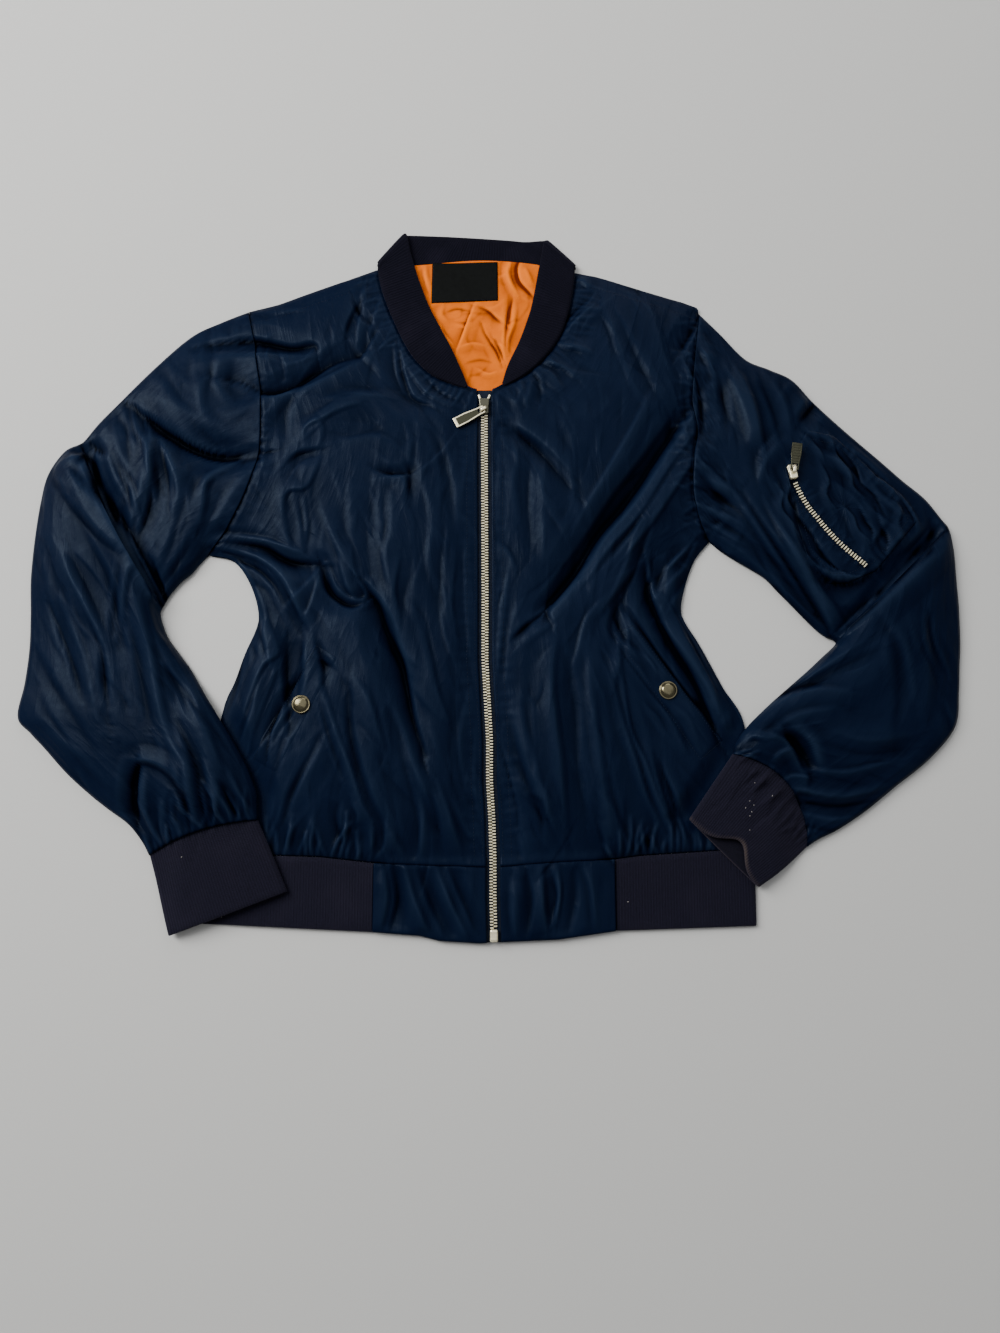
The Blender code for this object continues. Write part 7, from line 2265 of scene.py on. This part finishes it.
@dataclass
class NeckLining:
    """Orange lining of the back where the neck shows it, and the bare patch sewn on it."""

    wardrobe: Wardrobe
    step: float = 1.15
    base: float = 3.25
    wide: float = 170.0
    long: float = 155.0
    wall: float = 0.6
    patch_wall: float = 0.5
    full: float = 1.35
    seed: int = 23
    small_creases: int = 60
    small_across: Pair = (-98.0, 70.0)
    small_up: Pair = (130.0, 286.0)
    small_half: Pair = (5.0, 15.0)

    def __post_init__(self) -> None:
        """Makes the map of the lining's creases, and the map of their hollows, which the finish paints as
        shade and highlight.
        """
        self.folds = HeightMap((-125.0, 105.0), (230, 210))
        for row in LINING_CREASES:
            narrow = 1.25 if row[1] > row[2] else 0.4
            line = crease_line(row, 4)
            self.folds.crease(line, self.full * row[0], narrow * row[1], (1.65 - narrow) * row[2])
        chance = np.random.default_rng(self.seed)
        for _ in range(self.small_creases):
            middle = array([chance.uniform(*self.small_across), chance.uniform(*self.small_up)])
            angle = chance.uniform(0, math.pi)
            way = array([math.cos(angle), math.sin(angle)]) * chance.uniform(*self.small_half)
            bend = turned_left(way) * chance.normal(0, 0.25)
            line = curve([middle - way, middle + bend, middle + way], 3)
            self.folds.crease(line, chance.uniform(0.15, 0.5) * chance.choice([-1.0, 1.0]), 0.9, 2.0)
        self.hollows = self.folds.hollows(1, 4)

    def height(self, x: Array, y: Array) -> Array:
        """Top of the lining: flat under the patch.

        Args:
            x: Places along x.
            y: Places along y.

        Returns:
            The heights.
        """
        over = smooth((x + 60.0) / 6.0) * smooth((9.0 - x) / 6.0) * smooth((y - 244.0) / 6.0)
        edge = smooth((287.0 - y) / 10.0)
        return self.base + np.maximum(self.folds.at(x, y) * edge, -0.9) * (1.0 - 0.9 * over)

    def lining(self) -> Object:
        """Makes the lining.

        Returns:
            The lining.
        """
        bottom = array([LINING_SIDE_RIGHT[0], LINING_SIDE_LEFT[0]])
        across, up = [np.linspace(0.0, 1.0, int(size / self.step)) for size in (self.wide, self.long)]
        left, right = array(LINING_SIDE_RIGHT), array(LINING_SIDE_LEFT)
        x, y = coons(left, right, bottom, curve(LINING_TOP, 4), across, up)
        bm = cloth_bmesh(np.dstack([x, y, self.height(x, y)]), self.hollows.at(x, y))
        obj = finish_object(bm, "neck_lining", self.wardrobe.lining, Slot.LINING, wall=self.wall)
        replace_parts(obj, "back_lining")
        return obj

    def patch(self) -> Object:
        """Makes the patch and the stitches along its four edges.

        Returns:
            The patch.
        """
        across, up = np.linspace(0, 1, 46), np.linspace(0, 1, 30)
        x, y = four_cornered(NECK_PATCH, across, up)
        rim = rim_distance(across, up, 60.0, 38.0)
        lie = self.height(x, y) + 0.75 + 0.25 * np.sin(x / 9.0 + y / 14.0) - 0.3 * (1.0 - smooth(rim / 1.4))
        places = np.dstack([x, y, lie])
        obj = finish_object(cloth_bmesh(places), "neck_patch", self.wardrobe.label, Slot.LABEL,
                            wall=self.patch_wall)
        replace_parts(obj, "neck_label")
        bm = bmesh.new()
        for line in (places[2:-2, 1], places[2:-2, -2], places[-2, 2:-2], places[1, 2:-2]):
            PATCH_STITCH.sew(bm, line + array([0.0, 0.0, 0.1]))
        finish_object(bm, "neck_patch_stitches", self.wardrobe.dark_thread, Slot.LABEL)
        return obj


@dataclass
class Plate:
    """Pull tab: a frame with an opening at its root, a thinner plate in it and a solid bar at its tip."""

    name: str
    pivot: Triple
    tip: Triple
    width: float
    ribbed: bool = False
    neck: float = 7.0
    rail: float = 1.3
    wall: float = 1.3
    opening: float = 4.4
    root: float = 0.65

    @property
    def way(self) -> Vector:
        """From the pivot to the tip."""
        return Vector(self.tip) - Vector(self.pivot)

    def frame(self) -> Matrix:
        """Turn and place of the tab, whose own x runs from the pivot to the tip.

        Returns:
            The turn and the place.
        """
        aside = Vector((0.0, 0.0, 1.0)).cross(self.way).normalized()
        up = self.way.cross(aside).normalized()
        return move_to(*self.pivot) @ Matrix((self.way.normalized(), aside, up)).transposed().to_4x4()

    def outline(self, run: float, inset: float) -> Points:
        """Edge of the plate beyond the opening, moved inwards.

        Args:
            run: Length of the tab.
            inset: How far the edge is moved inwards.

        Returns:
            Its corners, in the tab's own frame.
        """
        half = self.width / 2.0 - inset
        near = self.neck / 2.0 - inset + (self.width - self.neck) / 2.0 * 0.15
        upper = [(self.opening + inset, near), (run * 0.6, half), (run - 1.0 - inset, half),
                 (run - inset, half - 1.0)]
        return upper + [(x, -y) for x, y in upper[::-1]]

    def plate(self, inset: float, wall: float, bevel: float) -> BMesh:
        """Flat plate beyond the opening, in the tab's own frame.

        Args:
            inset: How far its edge lies inside the tab's.
            wall: Thickness.
            bevel: Radius of its edges.

        Returns:
            The plate.
        """
        bm = bmesh.new()
        outline = self.outline(self.way.length, inset)
        face = bm.faces.new([bm.verts.new((x, y, -wall / 2.0)) for x, y in outline])
        made = bmesh.ops.extrude_face_region(bm, geom=[face])
        verts = [item for item in made["geom"] if isinstance(item, BMVert)]
        bmesh.ops.translate(bm, vec=(0.0, 0.0, wall), verts=verts)
        bmesh.ops.recalc_face_normals(bm, faces=bm.faces[:])
        round_edges(bm, [edge for edge in bm.edges if edge.calc_face_angle(0.0) > 0.6], bevel)
        return bm

    def rails(self) -> BMesh:
        """Frame of the tab: root bar, both rails and the bar at the tip.

        Returns:
            The frame, in the tab's own frame of axes.
        """
        run = self.way.length
        bm = bmesh.new()
        half = self.width / 2.0 - self.rail / 2.0
        near = self.neck / 2.0 - self.rail / 2.0
        for side in (-1.0, 1.0):
            for start, end in (((0.0, near), (self.opening + 1.0, near)),
                               ((self.opening + 0.6, near), (run * 0.6, half)),
                               ((run * 0.6 - 0.4, half), (run - 1.0, half))):
                way = Vector((end[0] - start[0], side * (end[1] - start[1]), 0.0))
                middle = move_to((start[0] + end[0]) / 2.0, side * (start[1] + end[1]) / 2.0, 0.0)
                where = middle @ Matrix.Rotation(math.atan2(way.y, way.x), 4, "Z")
                add_box(bm, (way.length + 0.5, self.rail, self.wall), where, 0.32)
        bmesh.ops.create_cone(bm, cap_ends=True, segments=16, radius1=self.root, radius2=self.root,
                              depth=self.neck - 0.6, matrix=Matrix.Rotation(math.radians(90.0), 4, "X"))
        add_box(bm, (2.6, self.width, self.wall), move_to(run - 1.3, 0.0, 0.0), 0.5, 3)
        return bm

    def build(self, metal: Material, dark: Material, body: str, slot: Slot, node: str) -> None:
        """Makes the tab.

        Args:
            metal: Finish of its frame.
            dark: Finish of the plate in the frame.
            body: Moving body that it rides on.
            slot: Slot of the frame's finish.
            node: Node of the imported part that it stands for.
        """
        frame, inner = self.rails(), self.plate(self.rail * 0.7, self.wall - 0.5, 0.12)
        for index in range(6 if self.ribbed else 0):
            middle = move_to(self.opening + 3.0 + 2.5 * index, 0.0, 0.0)
            add_box(inner, (1.2, self.width - 2.6, self.wall - 0.06), middle, 0.4)
        for bm in (frame, inner):
            bmesh.ops.transform(bm, matrix=self.frame(), verts=bm.verts[:])
        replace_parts(finish_object(frame, self.name, metal, slot, body, soft=False), node)
        finish_object(inner, f"{self.name}_infill", dark, Slot.DARK_METAL, body, soft=False)


@dataclass
class Slider:
    """Zip slider: two tapered plates round the chain, a waist between them and a crown for the pull."""

    name: str
    size: Triple
    middle: Triple
    turn: float
    pull: Plate
    reach: float = 2.2
    wire: float = 1.1
    crown_width: float = 3.0
    rise: float = 3.75
    lower: float = 1.2
    upper: float = 1.35
    bevel: float = 0.45

    def plates(self) -> BMesh:
        """Both plates and what holds them apart.

        Returns:
            The plates, where they lie on the jacket.
        """
        width, length, high = self.size
        bm = bmesh.new()
        for bottom, thick in ((0.0, self.lower), (high - self.upper, self.upper)):
            middle = move_to(0.0, 0.0, bottom + thick / 2.0)
            for vert in add_box(bm, (width, length, thick), middle, self.bevel):
                vert.co.x *= 0.70 + 0.30 * float(smooth((vert.co.y / length + 0.5) / 0.75))
        for side in (-1.0, 1.0):
            where = move_to(side * (width * 0.37), -length * 0.2, high / 2.0)
            add_box(bm, (0.9, length * 0.5, high - 0.5), where, 0.3)
        add_box(bm, (1.6, length * 0.3, high - 0.5), move_to(0.0, length * 0.3, high / 2.0), 0.3)
        where = move_to(*self.middle) @ Matrix.Rotation(self.turn, 4, "Z")
        bmesh.ops.transform(bm, matrix=where, verts=bm.verts[:])
        return bm

    def crown(self) -> BMesh:
        """Arch on the upper plate, turned the way the pull lies.

        Returns:
            The arch, where it stands on the jacket.
        """
        centre, height = self.reach + self.wire / 2.0, self.rise - self.wire / 2.0
        half = [(-centre, -0.7), (-centre, height * 0.55), (-centre * 0.62, height)]
        line = curve([*half, (0.0, height), *[(-x, z) for x, z in half[::-1]]], 5)
        bm = tube_bmesh(np.column_stack([line[:, 0], np.zeros(len(line)), line[:, 1]]), self.wire / 2.0)
        bmesh.ops.scale(bm, vec=(1.0, self.crown_width / self.wire, 1.0), verts=bm.verts[:])
        where = move_to(*self.pull.pivot[:2], self.middle[2] + self.size[2])
        lie = Matrix.Rotation(math.atan2(self.pull.way.y, self.pull.way.x), 4, "Z")
        bmesh.ops.transform(bm, matrix=where @ lie, verts=bm.verts[:])
        return bm

    def build(self, metal: Material, bright: Material, slot: Slot, node: str) -> None:
        """Makes the slider.

        Args:
            metal: Finish of its body.
            bright: Finish of its crown.
            slot: Slot of both finishes.
            node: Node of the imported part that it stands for.
        """
        plates, crown = self.plates(), self.crown()
        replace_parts(finish_object(plates, self.name, metal, slot, soft=False), node)
        finish_object(crown, f"{self.name}_crown", bright, slot)


@dataclass
class MainZip:
    """Closed front zip: tape, teeth, top stops, slider with its pull, and the box at the bottom."""

    wardrobe: Wardrobe
    wall: float = 0.8
    low: float = -315.0
    high: float = 162.5
    chain: Pair = (-304.0, 138.4)
    tooth: Teeth = Teeth(2.5, 3.0, 2.0, 0.5, 1.0)
    lay: float = 0.5
    tape_half: tuple[float, ...] = (12.0, 9.0, 6.0, 4.4, 3.4, 2.4, 1.2)
    cord: float = 3.9
    stop_y: float = 155.8
    stop_aside: float = 4.3
    stop_lean: float = 0.35
    box_y: float = -309.6
    box_size: Triple = (6.6, 10.0, 4.2)
    bar_size: Triple = (5.0, 1.2, 0.5)
    slider: Pair = (-7.2, 146.0)
    slider_size: Triple = (9.0, 14.0, 4.4)
    pull: Plate = field(default_factory=lambda: Plate("zip_pull_plate", (-7.8, 142.5, 14.156),
                                                      (-33.0, 129.5, 13.6), 9.3))

    def on_tape(self, y: Values) -> Array:
        """Height of what lies on the tape."""
        return tape_height(y) + self.lay

    def tape(self) -> None:
        """Woven tape, with a cord along each inner edge."""
        y = np.linspace(self.low, self.high, 240)
        offsets = array([-offset for offset in self.tape_half] + [0.0, *self.tape_half[::-1]])
        x = zip_x(y)[:, None] + offsets[None, :]
        z = np.repeat(tape_height(y)[:, None], len(offsets), axis=1)
        z = z + 0.25 * bell(np.abs(offsets) - self.cord, 0.9)[None, :]
        bm = cloth_bmesh(np.dstack([x, np.repeat(y[:, None], len(offsets), axis=1), z]))
        obj = finish_object(bm, "zip_tape_cloth", self.wardrobe.tape, Slot.TAPE, wall=self.wall)
        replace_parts(obj, "zip_tape")

    def bright(self, bm: BMesh, name: str, node: str) -> None:
        """Makes a piece of pale metal that stands for a node."""
        obj = finish_object(bm, name, self.wardrobe.pale_metal, Slot.PALE_METAL, soft=False)
        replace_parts(obj, node)

    def teeth(self) -> None:
        """Closed chain of teeth."""
        y = np.linspace(*self.chain, 120)
        bm = bmesh.new()
        self.tooth.add(bm, np.column_stack([zip_x(y), y, self.on_tape(y)]))
        self.bright(bm, "zip_teeth", "zip_chain")

    def ends(self) -> None:
        """Top stops and the box at the bottom."""
        height = float(self.on_tape(self.stop_y)) + self.tooth.high / 2.0
        for half in HALVES:
            bm = bmesh.new()
            where = move_to(self.slider[0] + half.sign * self.stop_aside, self.stop_y, height)
            where = where @ Matrix.Rotation(-self.stop_lean * half.sign, 4, "Z")
            add_box(bm, (2.0, 4.2, self.tooth.high), where, 0.6, 3)
            self.bright(bm, f"top_stop_{half.word}", f"zip_stop_{half.word}")
        bm = bmesh.new()
        x, z, high = float(zip_x(self.box_y)), float(self.on_tape(self.box_y)), self.box_size[2]
        add_box(bm, self.box_size, move_to(x, self.box_y, z + high / 2.0), 1.3, 3)
        for offset in (3.0, -2.8):
            add_box(bm, self.bar_size, move_to(x, self.box_y + offset, z + high), 0.2)
        self.bright(bm, "zip_bottom_box", "zip_box")

    def build(self) -> None:
        """Makes the whole zip."""
        self.tape()
        self.teeth()
        self.ends()
        finishes = self.wardrobe
        middle = (*self.slider, float(self.on_tape(self.slider[1])))
        body = Slider("zip_slider_body", self.slider_size, middle, 0.0, self.pull)
        body.build(finishes.slider_metal, finishes.pale_metal, Slot.PALE_METAL, "zip_slider")
        self.pull.build(finishes.pale_metal, finishes.dark_metal, "zip_pull_tab", Slot.PALE_METAL, "zip_pull")


@dataclass
class PressStud:
    """Domed press stud with a bright rim, slightly worn."""

    centre: Pair
    base: float
    radius: float = 7.75
    steps: int = 48

    def build(self, word: str, metal: Material) -> None:
        """Spins the stud, whose names end in a word.

        Args:
            word: Word at the end of its names.
            metal: Its finish.
        """
        rim = [(self.radius - inward, z) for inward, z in ((0.0, 0.7), (0.35, 1.0), (1.0, 0.95), (1.5, 1.3))]
        line = curve(rim + [(5.0, 2.3), (3.2, 2.75), (1.4, 2.95), (0.0, 3.0)], 3)
        bm = bmesh.new()
        verts = [bm.verts.new((radius, 0.0, z)) for radius, z in ((0.0, 0.0), (self.radius, 0.0), *line)]
        edges = [bm.edges.new(pair) for pair in zip(verts[:-1], verts[1:])]
        bmesh.ops.spin(bm, geom=verts + edges, cent=(0, 0, 0), axis=(0, 0, 1), angle=2 * math.pi,
                       steps=self.steps, use_merge=True)
        bmesh.ops.remove_doubles(bm, verts=bm.verts[:], dist=0.001)
        bmesh.ops.recalc_face_normals(bm, faces=bm.faces[:])
        bmesh.ops.translate(bm, vec=(*self.centre, self.base), verts=bm.verts[:])
        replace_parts(finish_object(bm, f"press_stud_{word}", metal, Slot.PALE_METAL), f"snap_{word}")


@dataclass
class FrontPocket:
    """Slanted pocket on a front: its flap, open along one edge, its stitches and its press stud.

    The seams and the tacks are at shares of the flap's width and of its length.
    """

    half: Half
    corners: Points
    stud: Pair
    seams: tuple[float, ...]
    tacks: tuple[float, ...]
    skin: BVHTree
    relief: Relief
    wardrobe: Wardrobe
    rise: float
    step: float = 1.5
    wall: float = 0.35
    lay: float = 0.15
    dip: float = 0.35
    stud_reach: float = 7.0

    def edge(self, start: int, end: int) -> Array:
        """Straight edge between two corners."""
        return edge_between(self.corners, start, end)

    def places(self) -> Array:
        """Grid of the flap on the cloth under it.

        Returns:
            The places, by row and column.
        """
        wide, long = arc_lengths(self.edge(0, 1))[-1], arc_lengths(self.edge(0, 3))[-1]
        across, up = even_shares(wide, self.step), even_shares(long, self.step)
        x, y = four_cornered(self.corners, across, up)
        away = (across if self.half is RIGHT else 1.0 - across)[None, :] * wide
        ends = np.minimum(up, 1.0 - up)[:, None] * long
        lifted = self.rise * (1.0 - smooth(away / (0.8 * wide))) * smooth(ends / 14.0)
        lifted = lifted * smooth((away + 0.4) / 1.2)
        inside = smooth((wide - away - 0.6) / 5.0) * smooth((ends - 0.6) / 5.0)
        sunk = (self.lay + self.wall + self.dip) * inside - self.dip
        return np.dstack([x, y, top_of(self.skin, x, y) + 0.04 + sunk + lifted])

    def flap(self) -> Object:
        """Makes the flap.

        Returns:
            The flap.
        """
        places = self.places()
        # painted shade and highlight from the creases under the flap
        bm = cloth_bmesh(places, self.relief.body_hollows.at(places[..., 0], places[..., 1]))
        face_up(bm)
        name = f"pocket_cover_{self.half.word}"
        obj = finish_object(bm, name, self.wardrobe.nylon, Slot.SHELL, wall=self.wall)
        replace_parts(obj, f"pocket_flap_{self.half.word}")
        return obj

    def across(self, one: Array, other: Array, share: float, places: Array) -> Array:
        """Line in plan from a share of one edge to the same share of the other."""
        return along(np.vstack([along(one, [share]), along(other, [share])]), places)

    def build(self) -> Object:
        """Makes the pocket.

        Returns:
            The flap.
        """
        obj = self.flap()
        skin = skin_of(obj)
        bm = bmesh.new()
        for share in self.seams:
            line = self.across(self.edge(0, 1), self.edge(3, 2), share, np.linspace(0.01, 0.99, 120))
            FLAP_STITCH.sew_on(bm, skin, line)
        for share in self.tacks:
            line = self.across(self.edge(0, 3), self.edge(1, 2), share, np.linspace(0.08, 0.92, 40))
            TACK.sew_on(bm, skin, line)
        finish_object(bm, f"pocket_stitches_{self.half.word}", self.wardrobe.dark_thread, Slot.SHELL)
        angles = np.linspace(0, 2 * np.pi, 24)
        ring = array(self.stud) + self.stud_reach * np.column_stack([np.cos(angles), np.sin(angles)])
        base = float(top_of(skin, *ring.T).max()) + 0.1
        PressStud(self.stud, base).build(self.half.word, self.wardrobe.snap_metal)
        return obj


@dataclass
class SleevePocket:
    """Pocket on the left sleeve with a short zip across it."""

    skin: BVHTree
    relief: Relief
    wardrobe: Wardrobe
    wall: float = 0.8
    tooth: Teeth = Teeth(5.0, 2.3, 1.5, 0.1, 1.8)
    stitch_offset: float = 4.6
    slider: Pair = (260.3, 82.5)
    slider_size: Triple = (7.5, 12.0, 4.0)
    slider_turn: float = 0.15
    under_pivot: float = 1.85
    pull: Plate = field(default_factory=lambda: Plate("arm_zip_pull_plate", (260.8, 83.5, 24.677),
                                                      (264.5, 107.5, 24.0), 9.0, ribbed=True))

    def patch(self) -> tuple[Object, Array]:
        """The patch: rings from its outline to its middle, on the sleeve.

        Returns:
            The patch, and its places from ring to ring.
        """
        ring = along(np.vstack([ARM_POCKET, ARM_POCKET[:1]]), np.linspace(0.0, 1.0, 201))
        centre = ring[:-1].mean(axis=0)
        shares = np.concatenate([[1.0, 0.985, 0.965, 0.94], np.linspace(0.91, 0.0, 32)])
        plan = centre + (ring[None] - centre) * shares[:, None, None]
        x, y = plan[..., 0], plan[..., 1]
        rim = (1.0 - shares)[:, None] * np.linalg.norm(ring - centre, axis=1)[None, :]
        ditch = distance_to(ARM_ZIP, x, y)
        z = top_of(self.skin, x, y) + 0.3 + 0.7 * smooth(rim / 2.2)
        z = z - 0.8 * bell(ditch, 3.4) * smooth(rim / 6.0)
        places = np.dstack([x, y, z])
        # painted shade and highlight from the creases, and painted shade along the zip
        bm = cloth_bmesh(places, self.relief.arm_hollows.at(x, y) + 0.7 * bell(ditch, 3.6), closed=True)
        bmesh.ops.remove_doubles(bm, verts=bm.verts[:], dist=0.02)
        face_up(bm)
        obj = finish_object(bm, "arm_pocket", self.wardrobe.nylon, Slot.SHELL, wall=self.wall)
        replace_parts(obj, "sleeve_pocket")
        return obj, places

    def build(self) -> Object:
        """Makes the pocket, its zip and its stitches.

        Returns:
            The patch.
        """
        obj, places = self.patch()
        skin, finishes = skin_of(obj), self.wardrobe
        line = curve(ARM_ZIP, 8)
        bm = bmesh.new()
        self.tooth.add(bm, np.column_stack([line, top_of(skin, *line.T) + 0.25]))
        teeth = finish_object(bm, "arm_zip_teeth", finishes.pale_metal, Slot.DARK_METAL, soft=False)
        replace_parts(teeth, "sleeve_zip_chain")
        bm = bmesh.new()
        for offset in (-self.stitch_offset, self.stitch_offset):
            POCKET_STITCH.sew_on(bm, skin, line + left_normals(line) * offset, 0.1)
        POCKET_STITCH.sew(bm, places[5] + array([0.0, 0.0, 0.12]))
        finish_object(bm, "arm_pocket_stitches", finishes.dark_thread, Slot.SHELL)
        middle = (*self.slider, self.pull.pivot[2] - self.under_pivot - self.slider_size[2])
        body = Slider("arm_zip_slider_body", self.slider_size, middle, self.slider_turn, self.pull)
        body.build(finishes.pale_metal, finishes.pale_metal, Slot.DARK_METAL, "sleeve_zip_slider")
        self.pull.build(finishes.dark_metal, finishes.dark_metal, "sleeve_pull_tab", Slot.DARK_METAL,
                        "sleeve_zip_pull")
        return obj


@dataclass
class Placket:
    """Topstitching beside the zip and along the shoulder seams."""

    wardrobe: Wardrobe
    offsets: Pair = (8.6, 15.5)
    ends: Pair = (-246.0, 152.0)
    yoke: Pair = (2.0, -15.5)

    def build(self, skins: list[BVHTree]) -> None:
        """Makes the stitches on the surfaces of the right and the left front.

        Args:
            skins: Surfaces of the right and the left front.
        """
        bm = bmesh.new()
        y = np.linspace(*self.ends, 260)
        for half, skin in zip(HALVES, skins):
            for offset in self.offsets:
                TOPSTITCH.sew_on(bm, skin, np.column_stack([zip_x(y) + half.sign * offset, y]))
            TOPSTITCH.sew_on(bm, skin, curve(array(half.shoulder) + array(self.yoke), 8)[6:-8])
        finish_object(bm, "placket_stitches", self.wardrobe.dark_thread, Slot.SHELL)


@dataclass
class Lint:
    """Pale flecks and loose threads that lie on the ribs."""

    wardrobe: Wardrobe
    size: float = 0.32
    seed: int = 3
    spare_height: float = 6.0

    def build(self, skins: list[BVHTree]) -> None:
        """Makes the flecks, each on the highest of the given surfaces under it.

        Args:
            skins: Surfaces that the flecks can lie on.
        """
        chance = np.random.default_rng(self.seed)
        bm = bmesh.new()
        for x, y in FLECKS:
            tops = [height_over(skin, x, y) for skin in skins]
            high = max((top for top in tops if not math.isnan(top)), default=self.spare_height)
            turn = Matrix.Rotation(chance.uniform(0.0, math.pi), 4, "Z")
            shape = Matrix.Diagonal((chance.uniform(1.0, 3.2), 1.0, 0.5, 1.0))
            where = move_to(x, y, high + 0.1) @ turn @ shape
            bmesh.ops.create_icosphere(bm, subdivisions=2, radius=self.size, matrix=where)
        finish_object(bm, "rib_lint", self.wardrobe.lint, Slot.RIB)


@dataclass(frozen=True)
class Lamp:
    """A rectangular lamp that looks at the jacket, in metres and watts."""

    name: str
    place: Triple
    size: Pair
    power: float
    colour: Colour

    def build(self) -> None:
        """Makes the lamp."""
        data = bpy.data.lights.new(self.name, "AREA")
        data.energy = self.power
        data.shape = "RECTANGLE"
        data.size, data.size_y = self.size
        data.color = self.colour
        obj = bpy.data.objects.new(self.name, data)
        obj.location = self.place
        obj.rotation_euler = (-Vector(self.place)).to_track_quat("-Z", "Y").to_euler()
        bpy.context.scene.collection.objects.link(obj)


LAMPS = [Lamp("key", (-1.46, 0.80, 1.66), (1.0, 1.7), 84.0, (1.0, 0.99, 0.97)),
         Lamp("top", (0.25, 0.55, 1.9), (2.2, 2.2), 13.0, (0.95, 0.97, 1.0)),
         Lamp("rim", (0.3, 1.5, 0.9), (1.0, 1.0), 7.0, (1.0, 0.99, 0.97))]


@dataclass
class Studio:
    """Plain pale floor, soft lamps and the camera above the jacket."""

    camera_at: Triple = (6.80, -212.30, 852.99)
    tilt: float = 8.5
    lens: float = 27.03
    sensor: float = 36.0
    world: float = 0.25
    floor_half: float = 2.5

    def floor(self) -> None:
        """Makes the floor."""
        bm = bmesh.new()
        bmesh.ops.create_grid(bm, x_segments=1, y_segments=1, size=self.floor_half)
        mesh = bpy.data.meshes.new("floor")
        bm.to_mesh(mesh)
        bm.free()
        mesh.materials.append(FloorFinish().material())
        obj = bpy.data.objects.new("floor", mesh)
        bpy.context.scene.collection.objects.link(obj)

    def camera(self) -> None:
        """Makes the camera."""
        data = bpy.data.cameras.new("camera")
        data.lens = self.lens
        data.sensor_width = self.sensor
        obj = bpy.data.objects.new("camera", data)
        obj.location = [part * MM for part in self.camera_at]
        obj.rotation_euler = (math.radians(self.tilt), 0.0, 0.0)
        bpy.context.scene.collection.objects.link(obj)
        bpy.context.scene.camera = obj

    def build(self) -> None:
        """Makes the studio."""
        self.floor()
        for lamp in LAMPS:
            lamp.build()
        world = bpy.data.worlds.new("studio_world")
        world.use_nodes = True
        background = world.node_tree.nodes["Background"]
        background.inputs["Color"].default_value = (self.world, self.world, self.world, 1.0)
        background.inputs["Strength"].default_value = 1.0
        bpy.context.scene.world = world
        self.camera()


def main() -> None:
    """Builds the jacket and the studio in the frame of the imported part."""
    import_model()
    wardrobe = Wardrobe()
    relief = Relief()
    LOG.info("Relief of the creases made")
    fronts = [FrontPanel(half, relief, wardrobe).build() for half in HALVES]
    LOG.info("Fronts made")
    sleeves = [Sleeve(rows, relief, half, wardrobe).build()
               for rows, half in zip((SLEEVE_RIGHT, SLEEVE_LEFT), HALVES)]
    LOG.info("Sleeves made")
    cuffs = [Cuff(CUFF_RIGHT, relief, RIGHT, wardrobe).build(),
             Cuff(CUFF_LEFT, relief, LEFT, wardrobe, dent=16.0).build()]
    LOG.info("Cuffs made")
    collar = Collar(wardrobe).build()
    band = HemBand(wardrobe).build()
    blocks = [HemBlock(half, start, relief, wardrobe).build() for half, start in zip(HALVES, BLOCK_STARTS)]
    LOG.info("Collar and hem made")
    back = BackPanel(relief, wardrobe).build()
    neck = NeckLining(wardrobe)
    lining, patch = neck.lining(), neck.patch()
    LOG.info("Back, lining and patch made")
    MainZip(wardrobe).build()
    skins = [skin_of(front) for front in fronts]
    flaps = [FrontPocket(RIGHT, FLAP_RIGHT, stud=(-161.0, -119.0), seams=(0.08,), tacks=(0.98,),
                         skin=skins[0], relief=relief, wardrobe=wardrobe, rise=0.25).build(),
             FrontPocket(LEFT, FLAP_LEFT, stud=(149.0, -107.0), seams=(0.08, 0.92), tacks=(0.02, 0.98),
                         skin=skins[1], relief=relief, wardrobe=wardrobe, rise=0.6).build()]
    pocket = SleevePocket(skin_of(sleeves[1]), relief, wardrobe).build()
    Placket(wardrobe).build(skins)
    Lint(wardrobe).build([skin_of(piece) for piece in (*cuffs, band)])
    LOG.info("Zips, pockets, stitches and lint made")
    Studio().build()


if __name__ == "__main__":
    logging.basicConfig(level=logging.INFO, format="%(message)s")
    main()
